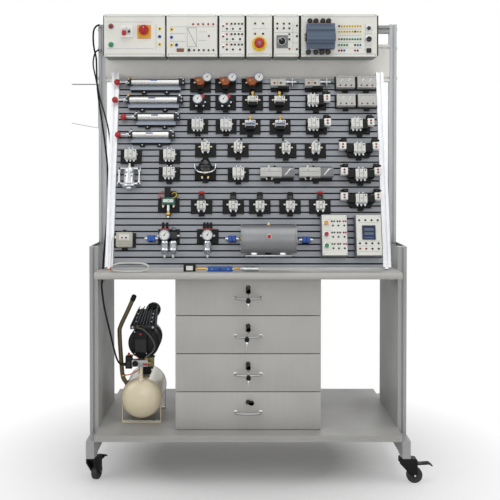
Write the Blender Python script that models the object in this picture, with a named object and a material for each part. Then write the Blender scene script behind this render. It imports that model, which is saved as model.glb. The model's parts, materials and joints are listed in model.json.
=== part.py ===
"""Pneumatic training workbench: a wheeled bench with drawers, a leaning slotted panel of pneumatic
components, a rack of control modules and a small compressor.

Metres, +Z up. X runs to the right, Y from the front to the back. Every piece is drawn with the floor at
zero, the bench's middle plane at X zero and the table's front edge at Y zero. The last step moves the
whole bench so that the bottom centre of its bounding box is the origin.
"""

import math

import bmesh
import bpy
from mathutils import Matrix, Vector

# Clearances
seat_gap = 0.0003
running_gap = 0.0004
bite = 0.001
cut_overrun = 0.002

# Bench frame
clear_width = 1.146
leg_width = 0.033
leg_depth = 0.400
leg_top = 0.890
leg_setback = 0.091
leg_post_depth = 0.030
leg_sheet = 0.0015
beam_width = 0.030
beam_height = 0.066
beam_length = 0.650
beam_underside = 0.107
shelf_thickness = 0.024
shelf_sink = 0.003
table_height = 0.800
table_thickness = 0.025
table_depth = 0.600
table_round = 0.010
gusset_leg = 0.045
gusset_thickness = 0.004
gusset_setback = 0.075
slot_mouth = 0.008
slot_depth = 0.006

# Uprights, rails and sign board
upright_top = 1.772
rail_height = 0.030
rail_1_height = 1.753
rail_2_height = 1.676
rail_3_height = 1.556
bolt_head_radius = 0.006
bolt_head_height = 0.004
sign_thickness = 0.002

# Slotted panel
lean_angle = math.radians(13.4)
panel_setback = 0.085
post_spacing = 1.062
post_width = 0.030
post_depth = 0.025
post_length = 0.7855
foot_pad_radius = 0.010
foot_pad_height = 0.006
slot_pitch = 0.025
panel_slot = 0.006
first_slat_height = 0.0105
slat_recess = 0.005
slat_depth = 0.014
slat_flange = 0.003
slat_stem = 0.007

# Drawer cabinet
cabinet_width = 0.5525
cabinet_setback = 0.067
cabinet_depth = 0.450
board = 0.016
drawer_gap = 0.003
drawer_count = 4
runner_height = 0.035
runner_width = 0.0127
drawer_board = 0.012
drawer_box_height = 0.100
drawer_box_depth = 0.400
drawer_floor = 0.006
pull_span = 0.096
pull_reach = 0.028
pull_thickness = 0.009
pull_drop = 0.076
lock_drop = 0.037
lock_radius = 0.009
lock_reach = 0.006
key_stem_reach = 0.010
key_bow_radius = 0.011
key_thickness = 0.0025

# Casters
caster_plate_thickness = 0.003
caster_plate_width = 0.030
caster_plate_length = 0.060
caster_setback = 0.050
caster_neck_radius = 0.013
caster_neck_height = 0.006
fork_top_thickness = 0.008
fork_width = 0.036
fork_slot = 0.024
wheel_radius = 0.030
wheel_width = 0.022
wheel_trail = 0.039
axle_radius = 0.004
pedal_length = 0.057
pedal_thickness = 0.004
pedal_width = 0.030
pedal_height = 0.072

# Component plates on the panel
plate_width = 0.083
plate_height = 0.056
plate_thickness = 0.010
plate_tab_width = 0.022
plate_tab_height = 0.010
fitting_radius = 0.006
fitting_length = 0.010

# Cylinders
barrel_radius = 0.011
bore_radius = 0.009
barrel_stand_off = 0.020
long_barrel = 0.188
short_barrel = 0.141
front_head = 0.014
rear_head = 0.024
head_wall = 0.008
piston_length = 0.008
rod_radius = 0.004
rod_show = 0.032
ball_radius = 0.0125
cylinder_strip_height = 0.030
cylinder_strip_thickness = 0.003

# Push buttons
button_travel = 0.004
stop_travel = 0.005
mushroom_radius = 0.0135
mushroom_height = 0.010
stem_radius = 0.0045
neck_radius = 0.0095
neck_height = 0.026
neck_floor = 0.006

# Rack of control modules
rack_front = 0.1755
rack_bottom = 1.6255
rack_height = 0.1645
rack_left = -0.5655
rack_width = 1.0755
rack_bar_recess = 0.004
controller_width = 0.110
controller_height = 0.100
controller_depth = 0.045
terminal_height = 0.020
terminal_depth = 0.020
stop_disc_radius = 0.029
stop_head_radius = 0.020
stop_head_height = 0.014
disc_thickness = 0.003
switch_plate = 0.053
switch_knob_radius = 0.017
switch_knob_height = 0.020
breaker_width = 0.045
breaker_height = 0.045
breaker_depth = 0.018
lamp_radius = 0.011
lamp_height = 0.009
speed_knob_radius = 0.013

# Electric modules on the panel
module_width = 0.098
module_height = 0.158
module_depth = 0.055
button_cap_radius = 0.0080
button_ring_radius = 0.0095
button_ring_height = 0.006
button_cap_stand = 0.004

# Air reservoir and bowls
reservoir_radius = 0.055
reservoir_length = 0.211
reservoir_cap = 0.008
bowl_radius = 0.012
bowl_height = 0.050
gauge_radius = 0.020
gauge_thickness = 0.014

# Compressor
tank_x = -0.4156
tank_axis_height = 0.0983
tank_radius = 0.0785
tank_front = 0.120
tank_length = 0.285
tank_dome = 0.035
foot_bar = 0.003
foot_bar_width = 0.020
foot_half_width = 0.0765
motor_radius = 0.061
motor_height = 0.309
motor_front = 0.168
motor_length = 0.165
cover_thickness = 0.010
head_depth = 0.070
head_base = 0.016
head_fin_height = 0.064
head_fin_count = 5
head_fin_thickness = 0.003
filter_radius = 0.029
filter_length = 0.035
manifold_length = 0.063
manifold_height = 0.026
manifold_depth = 0.032
switch_box_width = 0.0245
switch_box_height = 0.0485
pipe_radius = 0.0075
exhaust_radius = 0.004
handle_radius = 0.0085
tap_radius = 0.009
tap_length = 0.012

# Cables
power_cable_radius = 0.0035
rack_cable_radius = 0.003
sensor_cable_radius = 0.0018
gland_radius = 0.0075
gland_length = 0.010
cable_hole_radius = 0.009
bundle_loops = 5
bundle_length = 0.140
bundle_height = 0.034
bundle_step = 0.0052
bundle_end_power = 0.55
bundle_tilt = math.radians(25)
bundle_x = -0.4435
bundle_back = 0.052

# Loose fittings on the table
loose_height = 0.018
loose_setback = 0.042

# Lead rack
lead_rack_reach = 0.110
lead_rack_top = 1.532
lead_rack_height = 0.180
lead_rack_lift = 0.020
lead_rack_sheet = 0.002
lead_rack_width = 0.026
lead_rack_inset = 0.002

# Places that follow from the sizes above
leg_inner = clear_width / 2
leg_centre = leg_inner + leg_width / 2
leg_outer = leg_inner + leg_width
beam_top = beam_underside + beam_height
shelf_top = beam_top - shelf_sink + shelf_thickness
leg_bottom = beam_top + seat_gap
table_underside = table_height - table_thickness
upright_width = leg_width - 2 * leg_sheet - 2 * seat_gap
rail_3_top = rail_3_height + rail_height / 2
lean_back = math.tan(lean_angle)
upright_front = (
    panel_setback + (rail_3_top - table_height) * lean_back + post_depth / math.cos(lean_angle) + seat_gap
)
pad_start = (seat_gap + (post_depth / 2 + foot_pad_radius) * math.sin(lean_angle)) / math.cos(lean_angle)
post_start = pad_start + foot_pad_height + seat_gap
panel_width = post_spacing - post_width
slat_length = panel_width + 2 * bite
plate_back = slat_recess - seat_gap
body_back = plate_back - plate_thickness + bite
tank_z = shelf_top + tank_axis_height
motor_z = shelf_top + motor_height
drawer_front_height = (table_underside - shelf_top - 2 * seat_gap) / drawer_count - drawer_gap

flat = Matrix.Identity(4)
on_panel = Matrix.Translation((0, panel_setback, table_height)) @ Matrix.Rotation(-lean_angle, 4, "X")
along_x = Matrix.Rotation(math.pi / 2, 4, "Y") @ Matrix.Rotation(math.pi / 2, 4, "Z")
to_front = Matrix.Rotation(math.pi / 2, 4, "X")
to_back = Matrix.Rotation(-math.pi / 2, 4, "X")
to_left = Matrix.Rotation(-math.pi / 2, 4, "Y")
to_right = Matrix.Rotation(math.pi / 2, 4, "Y")

colours = {
    "frame_grey": ((0.36, 0.36, 0.35), 0.5, 0.0),
    "profile_silver": ((0.62, 0.63, 0.65), 0.35, 0.8),
    "panel_silver": ((0.42, 0.45, 0.50), 0.4, 0.8),
    "drawer_grey": ((0.45, 0.44, 0.42), 0.5, 0.0),
    "handle_steel": ((0.35, 0.35, 0.36), 0.3, 0.9),
    "black_plastic": ((0.03, 0.03, 0.03), 0.5, 0.0),
    "white_plastic": ((0.75, 0.75, 0.70), 0.5, 0.0),
    "slate_plastic": ((0.20, 0.23, 0.27), 0.5, 0.0),
    "red_plastic": ((0.65, 0.03, 0.03), 0.4, 0.0),
    "green_plastic": ((0.05, 0.40, 0.12), 0.4, 0.0),
    "yellow_plastic": ((0.75, 0.60, 0.05), 0.4, 0.0),
    "tank_cream": ((0.68, 0.62, 0.44), 0.35, 0.0),
    "handle_olive": ((0.20, 0.16, 0.08), 0.5, 0.2),
    "rubber_black": ((0.02, 0.02, 0.02), 0.8, 0.0),
}


def clear_scene():
    """Removes whatever the scene holds."""
    for item in list(bpy.data.objects):
        bpy.data.objects.remove(item, do_unlink=True)


def material_for(colour):
    """One Principled material for each named colour."""
    found = bpy.data.materials.get(colour)
    if found:
        return found
    made = bpy.data.materials.new(colour)
    made.use_nodes = True
    shader = made.node_tree.nodes["Principled BSDF"]
    base, roughness, metallic = colours[colour]
    shader.inputs["Base Color"].default_value = (*base, 1.0)
    shader.inputs["Roughness"].default_value = roughness
    shader.inputs["Metallic"].default_value = metallic
    return made


def move(x=0.0, y=0.0, z=0.0):
    return Matrix.Translation((x, y, z))


def add_prism(shape, outline, length, place=flat):
    """Extrudes a counter-clockwise outline in local XY by a length along local Z."""
    low = [shape.verts.new(place @ Vector((x, y, 0))) for x, y in outline]
    high = [shape.verts.new(place @ Vector((x, y, length))) for x, y in outline]
    shape.faces.new(list(reversed(low)))
    shape.faces.new(high)
    for index in range(len(outline)):
        after = (index + 1) % len(outline)
        shape.faces.new((low[index], low[after], high[after], high[index]))


def add_box(shape, low, high, place=flat):
    """A box between two corners."""
    outline = [(low[0], low[1]), (high[0], low[1]), (high[0], high[1]), (low[0], high[1])]
    add_prism(shape, outline, high[2] - low[2], place @ move(z=low[2]))


def ring_of(radius, sides):
    """Corner points of a polygon that lies flat on its lowest side."""
    turns = [2 * math.pi * (index + 0.5) / sides for index in range(sides)]
    return [(radius * math.sin(turn), -radius * math.cos(turn)) for turn in turns]


def add_disc(shape, radius, length, place=flat, sides=12):
    """A round bar along local Z."""
    add_prism(shape, ring_of(radius, sides), length, place)


def add_turned(shape, profile, place=flat, sides=12, closed=False):
    """Turns a profile of (radius, height) points about local Z, up the outer side first."""
    rows = []
    for radius, height in profile:
        if radius == 0:
            rows.append([shape.verts.new(place @ Vector((0, 0, height)))] * sides)
        else:
            points = ring_of(radius, sides)
            rows.append([shape.verts.new(place @ Vector((x, y, height))) for x, y in points])
    pairs = list(zip(rows, rows[1:]))
    if closed:
        pairs.append((rows[-1], rows[0]))
    for lower, upper in pairs:
        for index in range(sides):
            after = (index + 1) % sides
            corners = []
            for corner in (lower[index], lower[after], upper[after], upper[index]):
                if corner not in corners:
                    corners.append(corner)
            if len(corners) > 2:
                shape.faces.new(corners)


def smooth_route(points, steps):
    """Points of a smooth curve through the chosen ones, with a number of steps between neighbours."""
    chosen = [Vector(point) for point in points]
    padded = [2 * chosen[0] - chosen[1], *chosen, 2 * chosen[-1] - chosen[-2]]
    route = []
    for index in range(1, len(padded) - 2):
        before, start, end, after = padded[index - 1 : index + 3]
        for step in range(steps):
            share = step / steps
            leave = (end - before) / 2
            arrive = (after - start) / 2
            a_share = 2 * share**3 - 3 * share**2 + 1
            b_share = share**3 - 2 * share**2 + share
            c_share = 3 * share**2 - 2 * share**3
            d_share = share**3 - share**2
            route.append(start * a_share + leave * b_share + end * c_share + arrive * d_share)
    route.append(chosen[-1])
    return route


def add_tube(shape, route, radius, sides=8):
    """Sweeps a round section along a route and closes both ends."""
    points = [Vector(point) for point in route]
    ahead = (points[1] - points[0]).normalized()
    side = ahead.orthogonal().normalized()
    rows = []
    for index, point in enumerate(points):
        before = points[max(index - 1, 0)]
        after = points[min(index + 1, len(points) - 1)]
        now = (after - before).normalized()
        side = (ahead.rotation_difference(now) @ side).normalized()
        ahead = now
        across = now.cross(side)
        row = []
        for turn in range(sides):
            angle = 2 * math.pi * turn / sides
            row.append(shape.verts.new(point + radius * (math.cos(angle) * side + math.sin(angle) * across)))
        rows.append(row)
    for lower, upper in zip(rows, rows[1:]):
        for index in range(sides):
            after = (index + 1) % sides
            shape.faces.new((lower[index], lower[after], upper[after], upper[index]))
    shape.faces.new(list(reversed(rows[0])))
    shape.faces.new(rows[-1])


def finish(shape, name, colour, origin=(0, 0, 0), joined=False):
    """Makes the object, with its own origin where it turns or slides; overlapping parts are joined."""
    bmesh.ops.recalc_face_normals(shape, faces=shape.faces)
    shape.transform(Matrix.Translation(-Vector(origin)))
    mesh = bpy.data.meshes.new(name)
    shape.to_mesh(mesh)
    shape.free()
    made = bpy.data.objects.new(name, mesh)
    made.location = origin
    mesh.materials.append(material_for(colour))
    mesh.shade_smooth()
    mesh.set_sharp_from_angle(angle=math.radians(35))
    bpy.context.scene.collection.objects.link(made)
    if joined:
        join_parts(made)
    return made


def join_parts(made):
    """Unites a piece's overlapping parts; the second mesh that a union needs is a small cube inside one."""
    face = made.data.polygons[0]
    spot = made.location + face.center - face.normal * bite / 2
    core = bmesh.new()
    bmesh.ops.create_cube(core, size=bite / 10, matrix=Matrix.Translation(spot))
    helper = finish(core, f"{made.name}_core", "rubber_black")
    helper.hide_render = True
    helper.display_type = "WIRE"
    join = made.modifiers.new("join", "BOOLEAN")
    join.operation = "UNION"
    join.solver = "EXACT"
    join.use_self = True
    join.object = helper


def cut(target, cutter):
    """Cuts a hidden cutter out of a piece."""
    cutter.hide_render = True
    cutter.display_type = "WIRE"
    modifier = target.modifiers.new("cut", "BOOLEAN")
    modifier.operation = "DIFFERENCE"
    modifier.solver = "EXACT"
    modifier.object = cutter


def slotted_outline(width, depth, mouth, groove):
    """Section of a slotted profile: a rectangle with a groove in the middle of each side."""
    half_w = width / 2
    half_d = depth / 2
    half_m = mouth / 2
    return [
        (-half_w, -half_d), (-half_m, -half_d), (-half_m, groove - half_d), (half_m, groove - half_d),
        (half_m, -half_d), (half_w, -half_d), (half_w, -half_m), (half_w - groove, -half_m),
        (half_w - groove, half_m), (half_w, half_m), (half_w, half_d), (half_m, half_d),
        (half_m, half_d - groove), (-half_m, half_d - groove), (-half_m, half_d), (-half_w, half_d),
        (-half_w, half_m), (groove - half_w, half_m), (groove - half_w, -half_m), (-half_w, -half_m),
    ]


def gland_profile(cable_radius):
    """A round gland that stands on its seat and narrows towards the cable."""
    return [
        (0, -bite), (gland_radius, -bite), (gland_radius, gland_length / 2),
        (cable_radius * 1.6, gland_length), (0, gland_length),
    ]


def leg_post_outline():
    """Section of a leg's post, with a groove in its front and one in its back."""
    half_w = leg_width / 2
    half_d = leg_post_depth / 2
    half_m = slot_mouth / 2
    groove = half_d - slot_depth
    return [
        (-half_w, -half_d), (-half_m, -half_d), (-half_m, -groove), (half_m, -groove), (half_m, -half_d),
        (half_w, -half_d), (half_w, half_d), (half_m, half_d), (half_m, groove), (-half_m, groove),
        (-half_m, half_d), (-half_w, half_d),
    ]


def make_side_frame(name, side):
    """Foot beam with the casters' plates, the slotted leg on it and the gussets under the table."""
    shape = bmesh.new()
    low = (side * leg_centre - beam_width / 2, 0, beam_underside)
    add_box(shape, low, (side * leg_centre + beam_width / 2, beam_length, beam_top))
    leg_low = beam_top - bite
    for start in (leg_setback, leg_setback + leg_depth - leg_post_depth):
        place = move(side * leg_centre, start + leg_post_depth / 2, leg_low)
        add_prism(shape, leg_post_outline(), leg_top - leg_low, place)
    sheet_front = leg_setback + leg_post_depth - bite
    sheet_back = leg_setback + leg_depth - leg_post_depth + bite
    for offset in (-leg_width / 2, leg_width / 2 - leg_sheet):
        left = side * leg_centre + offset
        add_box(shape, (left, sheet_front, leg_low), (left + leg_sheet, sheet_back, leg_top))
    add_gussets(shape, side)
    add_caster_plates(shape, side)
    if side < 0:
        place = move(-leg_inner, rack_cable_end[1], rack_cable_end[2]) @ to_right
        add_turned(shape, gland_profile(rack_cable_radius), place, 8)
    finish(shape, name, "frame_grey", joined=True)


def add_gussets(shape, side):
    """Two triangular brackets on the leg's inner face, under the table."""
    inner = side * (leg_inner + bite)
    top = table_underside - seat_gap
    for place_y in (leg_setback + gusset_setback, leg_setback + leg_depth - gusset_setback):
        outline = [(0, 0), (-gusset_leg, 0), (0, -gusset_leg)]
        if side < 0:
            outline = [(0, 0), (0, -gusset_leg), (gusset_leg, 0)]
        add_prism(shape, outline, gusset_thickness, move(inner, place_y, top) @ to_front)


def add_caster_plates(shape, side):
    """A flat plate and a round neck for each caster, under the ends of the beam."""
    half_w = caster_plate_width / 2
    half_l = caster_plate_length / 2
    for x, y, _ in caster_places():
        if x * side < 0:
            continue
        low = (x - half_w, y - half_l, beam_underside - caster_plate_thickness)
        add_box(shape, low, (x + half_w, y + half_l, beam_underside + bite))
        neck_low = low[2] - caster_neck_height
        add_disc(shape, caster_neck_radius, caster_neck_height + bite, move(x, y, neck_low), 12)


def make_upright(name, side):
    """Slotted upright with the rails' bolt heads; the left one holds the glands of two cables."""
    shape = bmesh.new()
    centre_y = upright_front + upright_width / 2
    outline = slotted_outline(upright_width, upright_width, slot_mouth, slot_depth)
    add_prism(shape, outline, upright_top - leg_bottom, move(side * leg_centre, centre_y, leg_bottom))
    outer = side * (leg_centre + upright_width / 2 - slot_depth - bite)
    turn = to_right if side > 0 else to_left
    for height in (rail_1_height, rail_2_height, rail_3_height):
        place = move(outer, centre_y, height) @ turn
        add_disc(shape, bolt_head_radius, slot_depth + bite + bolt_head_height, place, 6)
    if side < 0:
        for start, cable_radius in ((power_cable_start, power_cable_radius), (rack_cable_start, rack_cable_radius)):
            place = move(start[0], upright_front, start[2]) @ to_front
            add_turned(shape, gland_profile(cable_radius), place, 8)
    finish(shape, name, "profile_silver", joined=True)


def add_rail(shape, height):
    length = 2 * (leg_centre - upright_width / 2 - seat_gap)
    outline = slotted_outline(upright_width, rail_height, slot_mouth, slot_depth)
    place = move(-length / 2, upright_front + upright_width / 2, height) @ along_x
    add_prism(shape, outline, length, place)


def make_rails():
    """The top rail, and the two lower rails with the bare sign board between them."""
    top = bmesh.new()
    add_rail(top, rail_1_height)
    finish(top, "top_rail", "profile_silver")
    sign = bmesh.new()
    add_rail(sign, rail_2_height)
    add_rail(sign, rail_3_height)
    half = leg_centre - upright_width / 2 - 2 * seat_gap
    front = upright_front + seat_gap
    low = (-half, front, rail_3_top - bite)
    add_box(sign, low, (half, front + sign_thickness, rail_2_height - rail_height / 2 + bite))
    finish(sign, "sign_frame", "white_plastic", joined=True)


def slat_outline(height):
    """Section of a slat: a front flange on a stem, so that the slot behind two flanges widens."""
    middle = height / 2
    front = slat_recess
    return [
        (front, 0), (front + slat_flange, 0), (front + slat_flange, middle - slat_stem / 2),
        (front + slat_depth, middle - slat_stem / 2), (front + slat_depth, middle + slat_stem / 2),
        (front + slat_flange, middle + slat_stem / 2), (front + slat_flange, height), (front, height),
    ]


def post_outline():
    """Section of a side post, with a groove in its front."""
    half_w = post_width / 2
    half_m = slot_mouth / 2
    return [
        (-half_w, 0), (-half_m, 0), (-half_m, slot_depth), (half_m, slot_depth), (half_m, 0), (half_w, 0),
        (half_w, post_depth), (-half_w, post_depth),
    ]


def make_slotted_panel():
    """Slats side by side, with an open slot between neighbours, held between two posts on round feet."""
    shape = bmesh.new()
    for side in (-1, 1):
        x = side * post_spacing / 2
        foot = on_panel @ move(x, post_depth / 2, pad_start)
        add_disc(shape, foot_pad_radius, foot_pad_height + bite, foot, 10)
        add_prism(shape, post_outline(), post_length, on_panel @ move(x, 0, post_start))
    bottom = post_start
    height = first_slat_height
    while bottom + height <= post_start + post_length:
        place = on_panel @ move(-slat_length / 2, 0, bottom) @ along_x
        add_prism(shape, slat_outline(height), slat_length, place)
        bottom += height + panel_slot
        height = slot_pitch - panel_slot
    finish(shape, "slotted_panel", "panel_silver", joined=True)


def make_table_top():
    """A board with a rounded front edge and a notch for the cable in its left end."""
    shape = bmesh.new()
    corner = table_round
    outline = [(table_depth, 0), (table_depth, table_thickness)]
    for start, centre in ((math.pi / 2, table_thickness - corner), (math.pi, corner)):
        for index in range(4):
            turn = start + math.pi / 6 * index
            outline.append((corner + corner * math.cos(turn), centre + corner * math.sin(turn)))
    length = clear_width - 2 * seat_gap
    add_prism(shape, outline, length, move(-length / 2, 0, table_underside) @ along_x)
    top = finish(shape, "table_top", "frame_grey")
    cutter = bmesh.new()
    low = (-leg_centre, cable_notch[1] - cable_hole_radius, table_underside - cut_overrun)
    high = (cable_notch[0] + cable_hole_radius, cable_notch[1] + cable_hole_radius, table_height + cut_overrun)
    add_box(cutter, low, high)
    cut(top, finish(cutter, "cable_notch_cutter", "rubber_black"))


def make_shelf():
    shape = bmesh.new()
    half = leg_inner - seat_gap
    low = (-half, 0, shelf_top - shelf_thickness)
    add_box(shape, low, (half, beam_length, shelf_top))
    finish(shape, "lower_shelf", "frame_grey")


def make_lead_rack():
    """A bent sheet bracket on the outside of the left upright, open to the left."""
    shape = bmesh.new()
    root = -(leg_centre + upright_width / 2) - seat_gap
    tip = root - lead_rack_reach
    top = lead_rack_top
    low = lead_rack_top - lead_rack_height
    sheet = lead_rack_sheet
    outline = [
        (tip, -top), (root, -top), (root, -low), (tip, -low - lead_rack_lift),
        (tip, -low - lead_rack_lift - sheet), (root - sheet, -low - sheet), (root - sheet, sheet - top),
        (tip, sheet - top),
    ]
    add_prism(shape, outline, lead_rack_width, move(y=upright_front + lead_rack_inset) @ to_back)
    finish(shape, "lead_rack", "profile_silver")


def make_cabinet():
    """Five carcass panels and the runners' outer members."""
    shape = bmesh.new()
    half = cabinet_width / 2
    front = cabinet_setback + board + seat_gap
    back = cabinet_setback + cabinet_depth
    low = shelf_top + seat_gap
    high = table_underside - seat_gap
    for side in (-1, 1):
        left = side * (half - board / 2) - board / 2
        add_box(shape, (left, front, low), (left + board, back, high))
    inner = half - board + bite
    add_box(shape, (-inner, front, low), (inner, back, low + board / 2))
    add_box(shape, (-inner, front, high - board / 2), (inner, back, high))
    add_box(shape, (-inner, back - board, low), (inner, back, high))
    for row in range(drawer_count):
        middle = drawer_box_bottom(row) + drawer_box_height / 2
        for side in (-1, 1):
            centre = side * (inner - (runner_width + bite) / 2)
            thick = runner_width + bite
            add_box(
                shape,
                (centre - thick / 2, front + cut_overrun, middle - runner_height / 2),
                (centre + thick / 2, front + drawer_box_depth, middle + runner_height / 2),
            )
    finish(shape, "cabinet_carcass", "drawer_grey", joined=True)


def drawer_top(row):
    """Upper edge of a drawer front, counted from the top of the cabinet."""
    return table_underside - seat_gap - row * (drawer_front_height + drawer_gap) - drawer_gap / 2


def drawer_box_bottom(row):
    return drawer_top(row) - drawer_front_height + board


# Arch of a bar pull: share of the span across, and share of the reach forward
pull_arch_shares = [(-0.50, 0.0), (-0.47, 0.55), (-0.27, 0.92), (0.0, 1.0), (0.27, 0.92), (0.47, 0.55), (0.50, 0.0)]


def pull_route(middle_z):
    """A flat arch from one foot to the other, each foot let into the drawer's front."""
    start = cabinet_setback + bite
    route = []
    for across, reach in pull_arch_shares:
        route.append((across * pull_span, start - reach * pull_reach, middle_z))
    return route


def make_drawer(row):
    """Front, box and bar pull, ready to slide forward."""
    shape = bmesh.new()
    top = drawer_top(row)
    low = top - drawer_front_height
    half = cabinet_width / 2
    add_box(shape, (-half, cabinet_setback, low), (half, cabinet_setback + board, top))
    start = cabinet_setback + board - bite
    end = start + drawer_box_depth
    box_half = half - board - runner_width - running_gap
    floor = drawer_box_bottom(row)
    for side in (-1, 1):
        left = side * (box_half - drawer_board / 2) - drawer_board / 2
        add_box(shape, (left, start, floor), (left + drawer_board, end, floor + drawer_box_height))
    inner = box_half - drawer_board + bite
    add_box(shape, (-inner, end - drawer_board, floor), (inner, end, floor + drawer_box_height))
    add_box(shape, (-inner, start, floor), (inner, end, floor + drawer_floor))
    add_tube(shape, pull_route(top - pull_drop), pull_thickness / 2, 8)
    finish(shape, f"drawer_{row + 1}", "drawer_grey", joined=True)


def make_lock(row):
    """Cam lock with its key, whose bow hangs down or, on the last drawer, points to the right."""
    shape = bmesh.new()
    centre = Vector((0, cabinet_setback - seat_gap, drawer_top(row) - lock_drop))
    place = Matrix.Translation(centre) @ to_front
    add_disc(shape, lock_radius, lock_reach, place, 12)
    turn = Matrix.Rotation(math.pi / 2, 4, "Z") if row == drawer_count - 1 else flat
    outline = [
        (-key_thickness, key_thickness), (-key_thickness, -key_bow_radius), (-key_bow_radius, -1.5 * key_bow_radius),
        (0, -2.2 * key_bow_radius), (key_bow_radius, -1.5 * key_bow_radius), (key_thickness, -key_bow_radius),
        (key_thickness, key_thickness),
    ]
    half = key_thickness / 2
    low = (-half, -half, lock_reach - bite)
    add_box(shape, low, (half, half, lock_reach + key_stem_reach), place @ turn)
    bow = move(z=lock_reach + key_stem_reach - key_thickness / 2)
    add_prism(shape, outline, key_thickness, place @ turn @ bow)
    finish(shape, f"drawer_lock_{row + 1}", "handle_steel", centre, joined=True)


def caster_places():
    """Stem position and trail direction of the four casters: front left, front right, rear left, rear right."""
    back_y = beam_length - caster_setback
    return [
        (-leg_centre, caster_setback, math.radians(75)),
        (leg_centre, caster_setback, 0.0),
        (-leg_centre, back_y, math.radians(110)),
        (leg_centre, back_y, math.radians(40)),
    ]


def fork_top():
    return beam_underside - seat_gap - caster_plate_thickness - caster_neck_height


def fork_mesh():
    """Side outline of housing and arm, extruded to the full width and slotted for the wheel."""
    top = fork_top()
    half = fork_width / 2
    radius = caster_neck_radius + fork_top_thickness
    arm = axle_radius * 2.4
    outline = [
        (-radius, top - 2 * fork_top_thickness), (wheel_trail - arm, wheel_radius - arm / 2),
        (wheel_trail, wheel_radius - arm), (wheel_trail + arm, wheel_radius),
        (wheel_trail + arm, wheel_radius + arm), (wheel_trail + arm, top - fork_top_thickness / 2),
        (radius, top), (-radius, top),
    ]
    shape = bmesh.new()
    add_prism(shape, outline, fork_width, move(y=half) @ to_front)
    fork = finish(shape, "fork_master", "black_plastic")
    slot = fork_slot / 2
    slot_shape = bmesh.new()
    low = (-radius - cut_overrun, -slot, -cut_overrun)
    add_box(slot_shape, low, (wheel_trail + 2 * radius, slot, top - fork_top_thickness))
    slot_cutter = finish(slot_shape, "fork_slot_cutter", "rubber_black")
    cut(fork, slot_cutter)
    shaft = bmesh.new()
    place = move(wheel_trail, fork_width, wheel_radius) @ to_front
    add_disc(shaft, axle_radius + seat_gap, fork_width * 2, place, 12)
    shaft_cutter = finish(shaft, "axle_cutter", "rubber_black")
    cut(fork, shaft_cutter)
    graph = bpy.context.evaluated_depsgraph_get()
    mesh = bpy.data.meshes.new_from_object(fork.evaluated_get(graph))
    for spare in (fork, slot_cutter, shaft_cutter):
        bpy.data.objects.remove(spare, do_unlink=True)
    return mesh


def wheel_mesh():
    """Tyre and hub as one turned body with its axle, turned about the wheel's own middle."""
    shape = bmesh.new()
    half = wheel_width / 2
    end = fork_width / 2
    shoulder = wheel_radius * 0.93
    profile = [
        (0, -end), (axle_radius, -end), (axle_radius, -half), (shoulder, -half), (wheel_radius, -half * 0.6),
        (wheel_radius, half * 0.6), (shoulder, half), (axle_radius, half), (axle_radius, end), (0, end),
    ]
    add_turned(shape, profile, to_front, 18)
    wheel = finish(shape, "wheel_master", "rubber_black")
    mesh = wheel.data
    bpy.data.objects.remove(wheel, do_unlink=True)
    return mesh


def pedal_mesh():
    """Brake pedal: a plate over the wheel with a turned-up tip, drawn about its hinge."""
    shape = bmesh.new()
    rise = pedal_thickness
    tip = pedal_length
    outline = [
        (0, 0), (tip * 0.75, 0), (tip * 0.9, -rise), (tip, rise), (tip * 0.93, rise * 2.2),
        (tip * 0.75, rise), (0, rise),
    ]
    add_prism(shape, outline, pedal_width, move(y=pedal_width / 2) @ to_front)
    pedal = finish(shape, "pedal_master", "black_plastic")
    mesh = pedal.data
    bpy.data.objects.remove(pedal, do_unlink=True)
    return mesh


def place_copy(mesh, name, location, turn=0.0):
    """One more object for a repeated piece, with its mesh shared."""
    made = bpy.data.objects.new(name, mesh)
    made.location = location
    made.rotation_euler = (0, 0, turn)
    bpy.context.scene.collection.objects.link(made)
    return made


def make_casters():
    """Forks on their stems, wheels on their axles and pedals on the two front forks."""
    fork = fork_mesh()
    wheel = wheel_mesh()
    pedal = pedal_mesh()
    pedal_start = wheel_trail + axle_radius * 2.4 + running_gap
    for index, (x, y, turn) in enumerate(caster_places()):
        place_copy(fork, f"caster_fork_{index + 1}", (x, y, 0), turn)
        reach = Vector((math.cos(turn), math.sin(turn), 0))
        axle = Vector((x, y, wheel_radius)) + wheel_trail * reach
        place_copy(wheel, f"caster_wheel_{index + 1}", axle, turn)
        if index < 2:
            hinge = Vector((x, y, pedal_height)) + pedal_start * reach
            place_copy(pedal, f"caster_brake_{index + 1}", hinge, turn)


def panel_x(across_share):
    return across_share * panel_width


def panel_v(up_share):
    return post_start + up_share * post_length


def panel_box(shape, x, v, width, height, back, depth):
    """A box on a plane of the leaning panel; returns the plane just under its front, for what stands on it."""
    low = (x - width / 2, back - depth, v - height / 2)
    add_box(shape, low, (x + width / 2, back, v + height / 2), on_panel)
    return back - depth + bite


def panel_disc(shape, x, v, radius, back, depth, sides=12):
    """A round piece that points at the viewer from a plane of the panel."""
    add_disc(shape, radius, depth, on_panel @ move(x, back, v) @ to_front, sides)
    return back - depth + bite


def add_plate(shape, x, v, width=plate_width):
    """A base plate with its clip tab below."""
    half_w = width / 2
    half_t = plate_tab_width / 2
    half_h = plate_height / 2
    low = -half_h - plate_tab_height
    outline = [
        (-half_w, -half_h), (-half_t, -half_h), (-half_t, low), (half_t, low), (half_t, -half_h),
        (half_w, -half_h), (half_w, half_h), (-half_w, half_h),
    ]
    add_prism(shape, outline, plate_thickness, on_panel @ move(x, plate_back, v) @ to_front)


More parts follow.
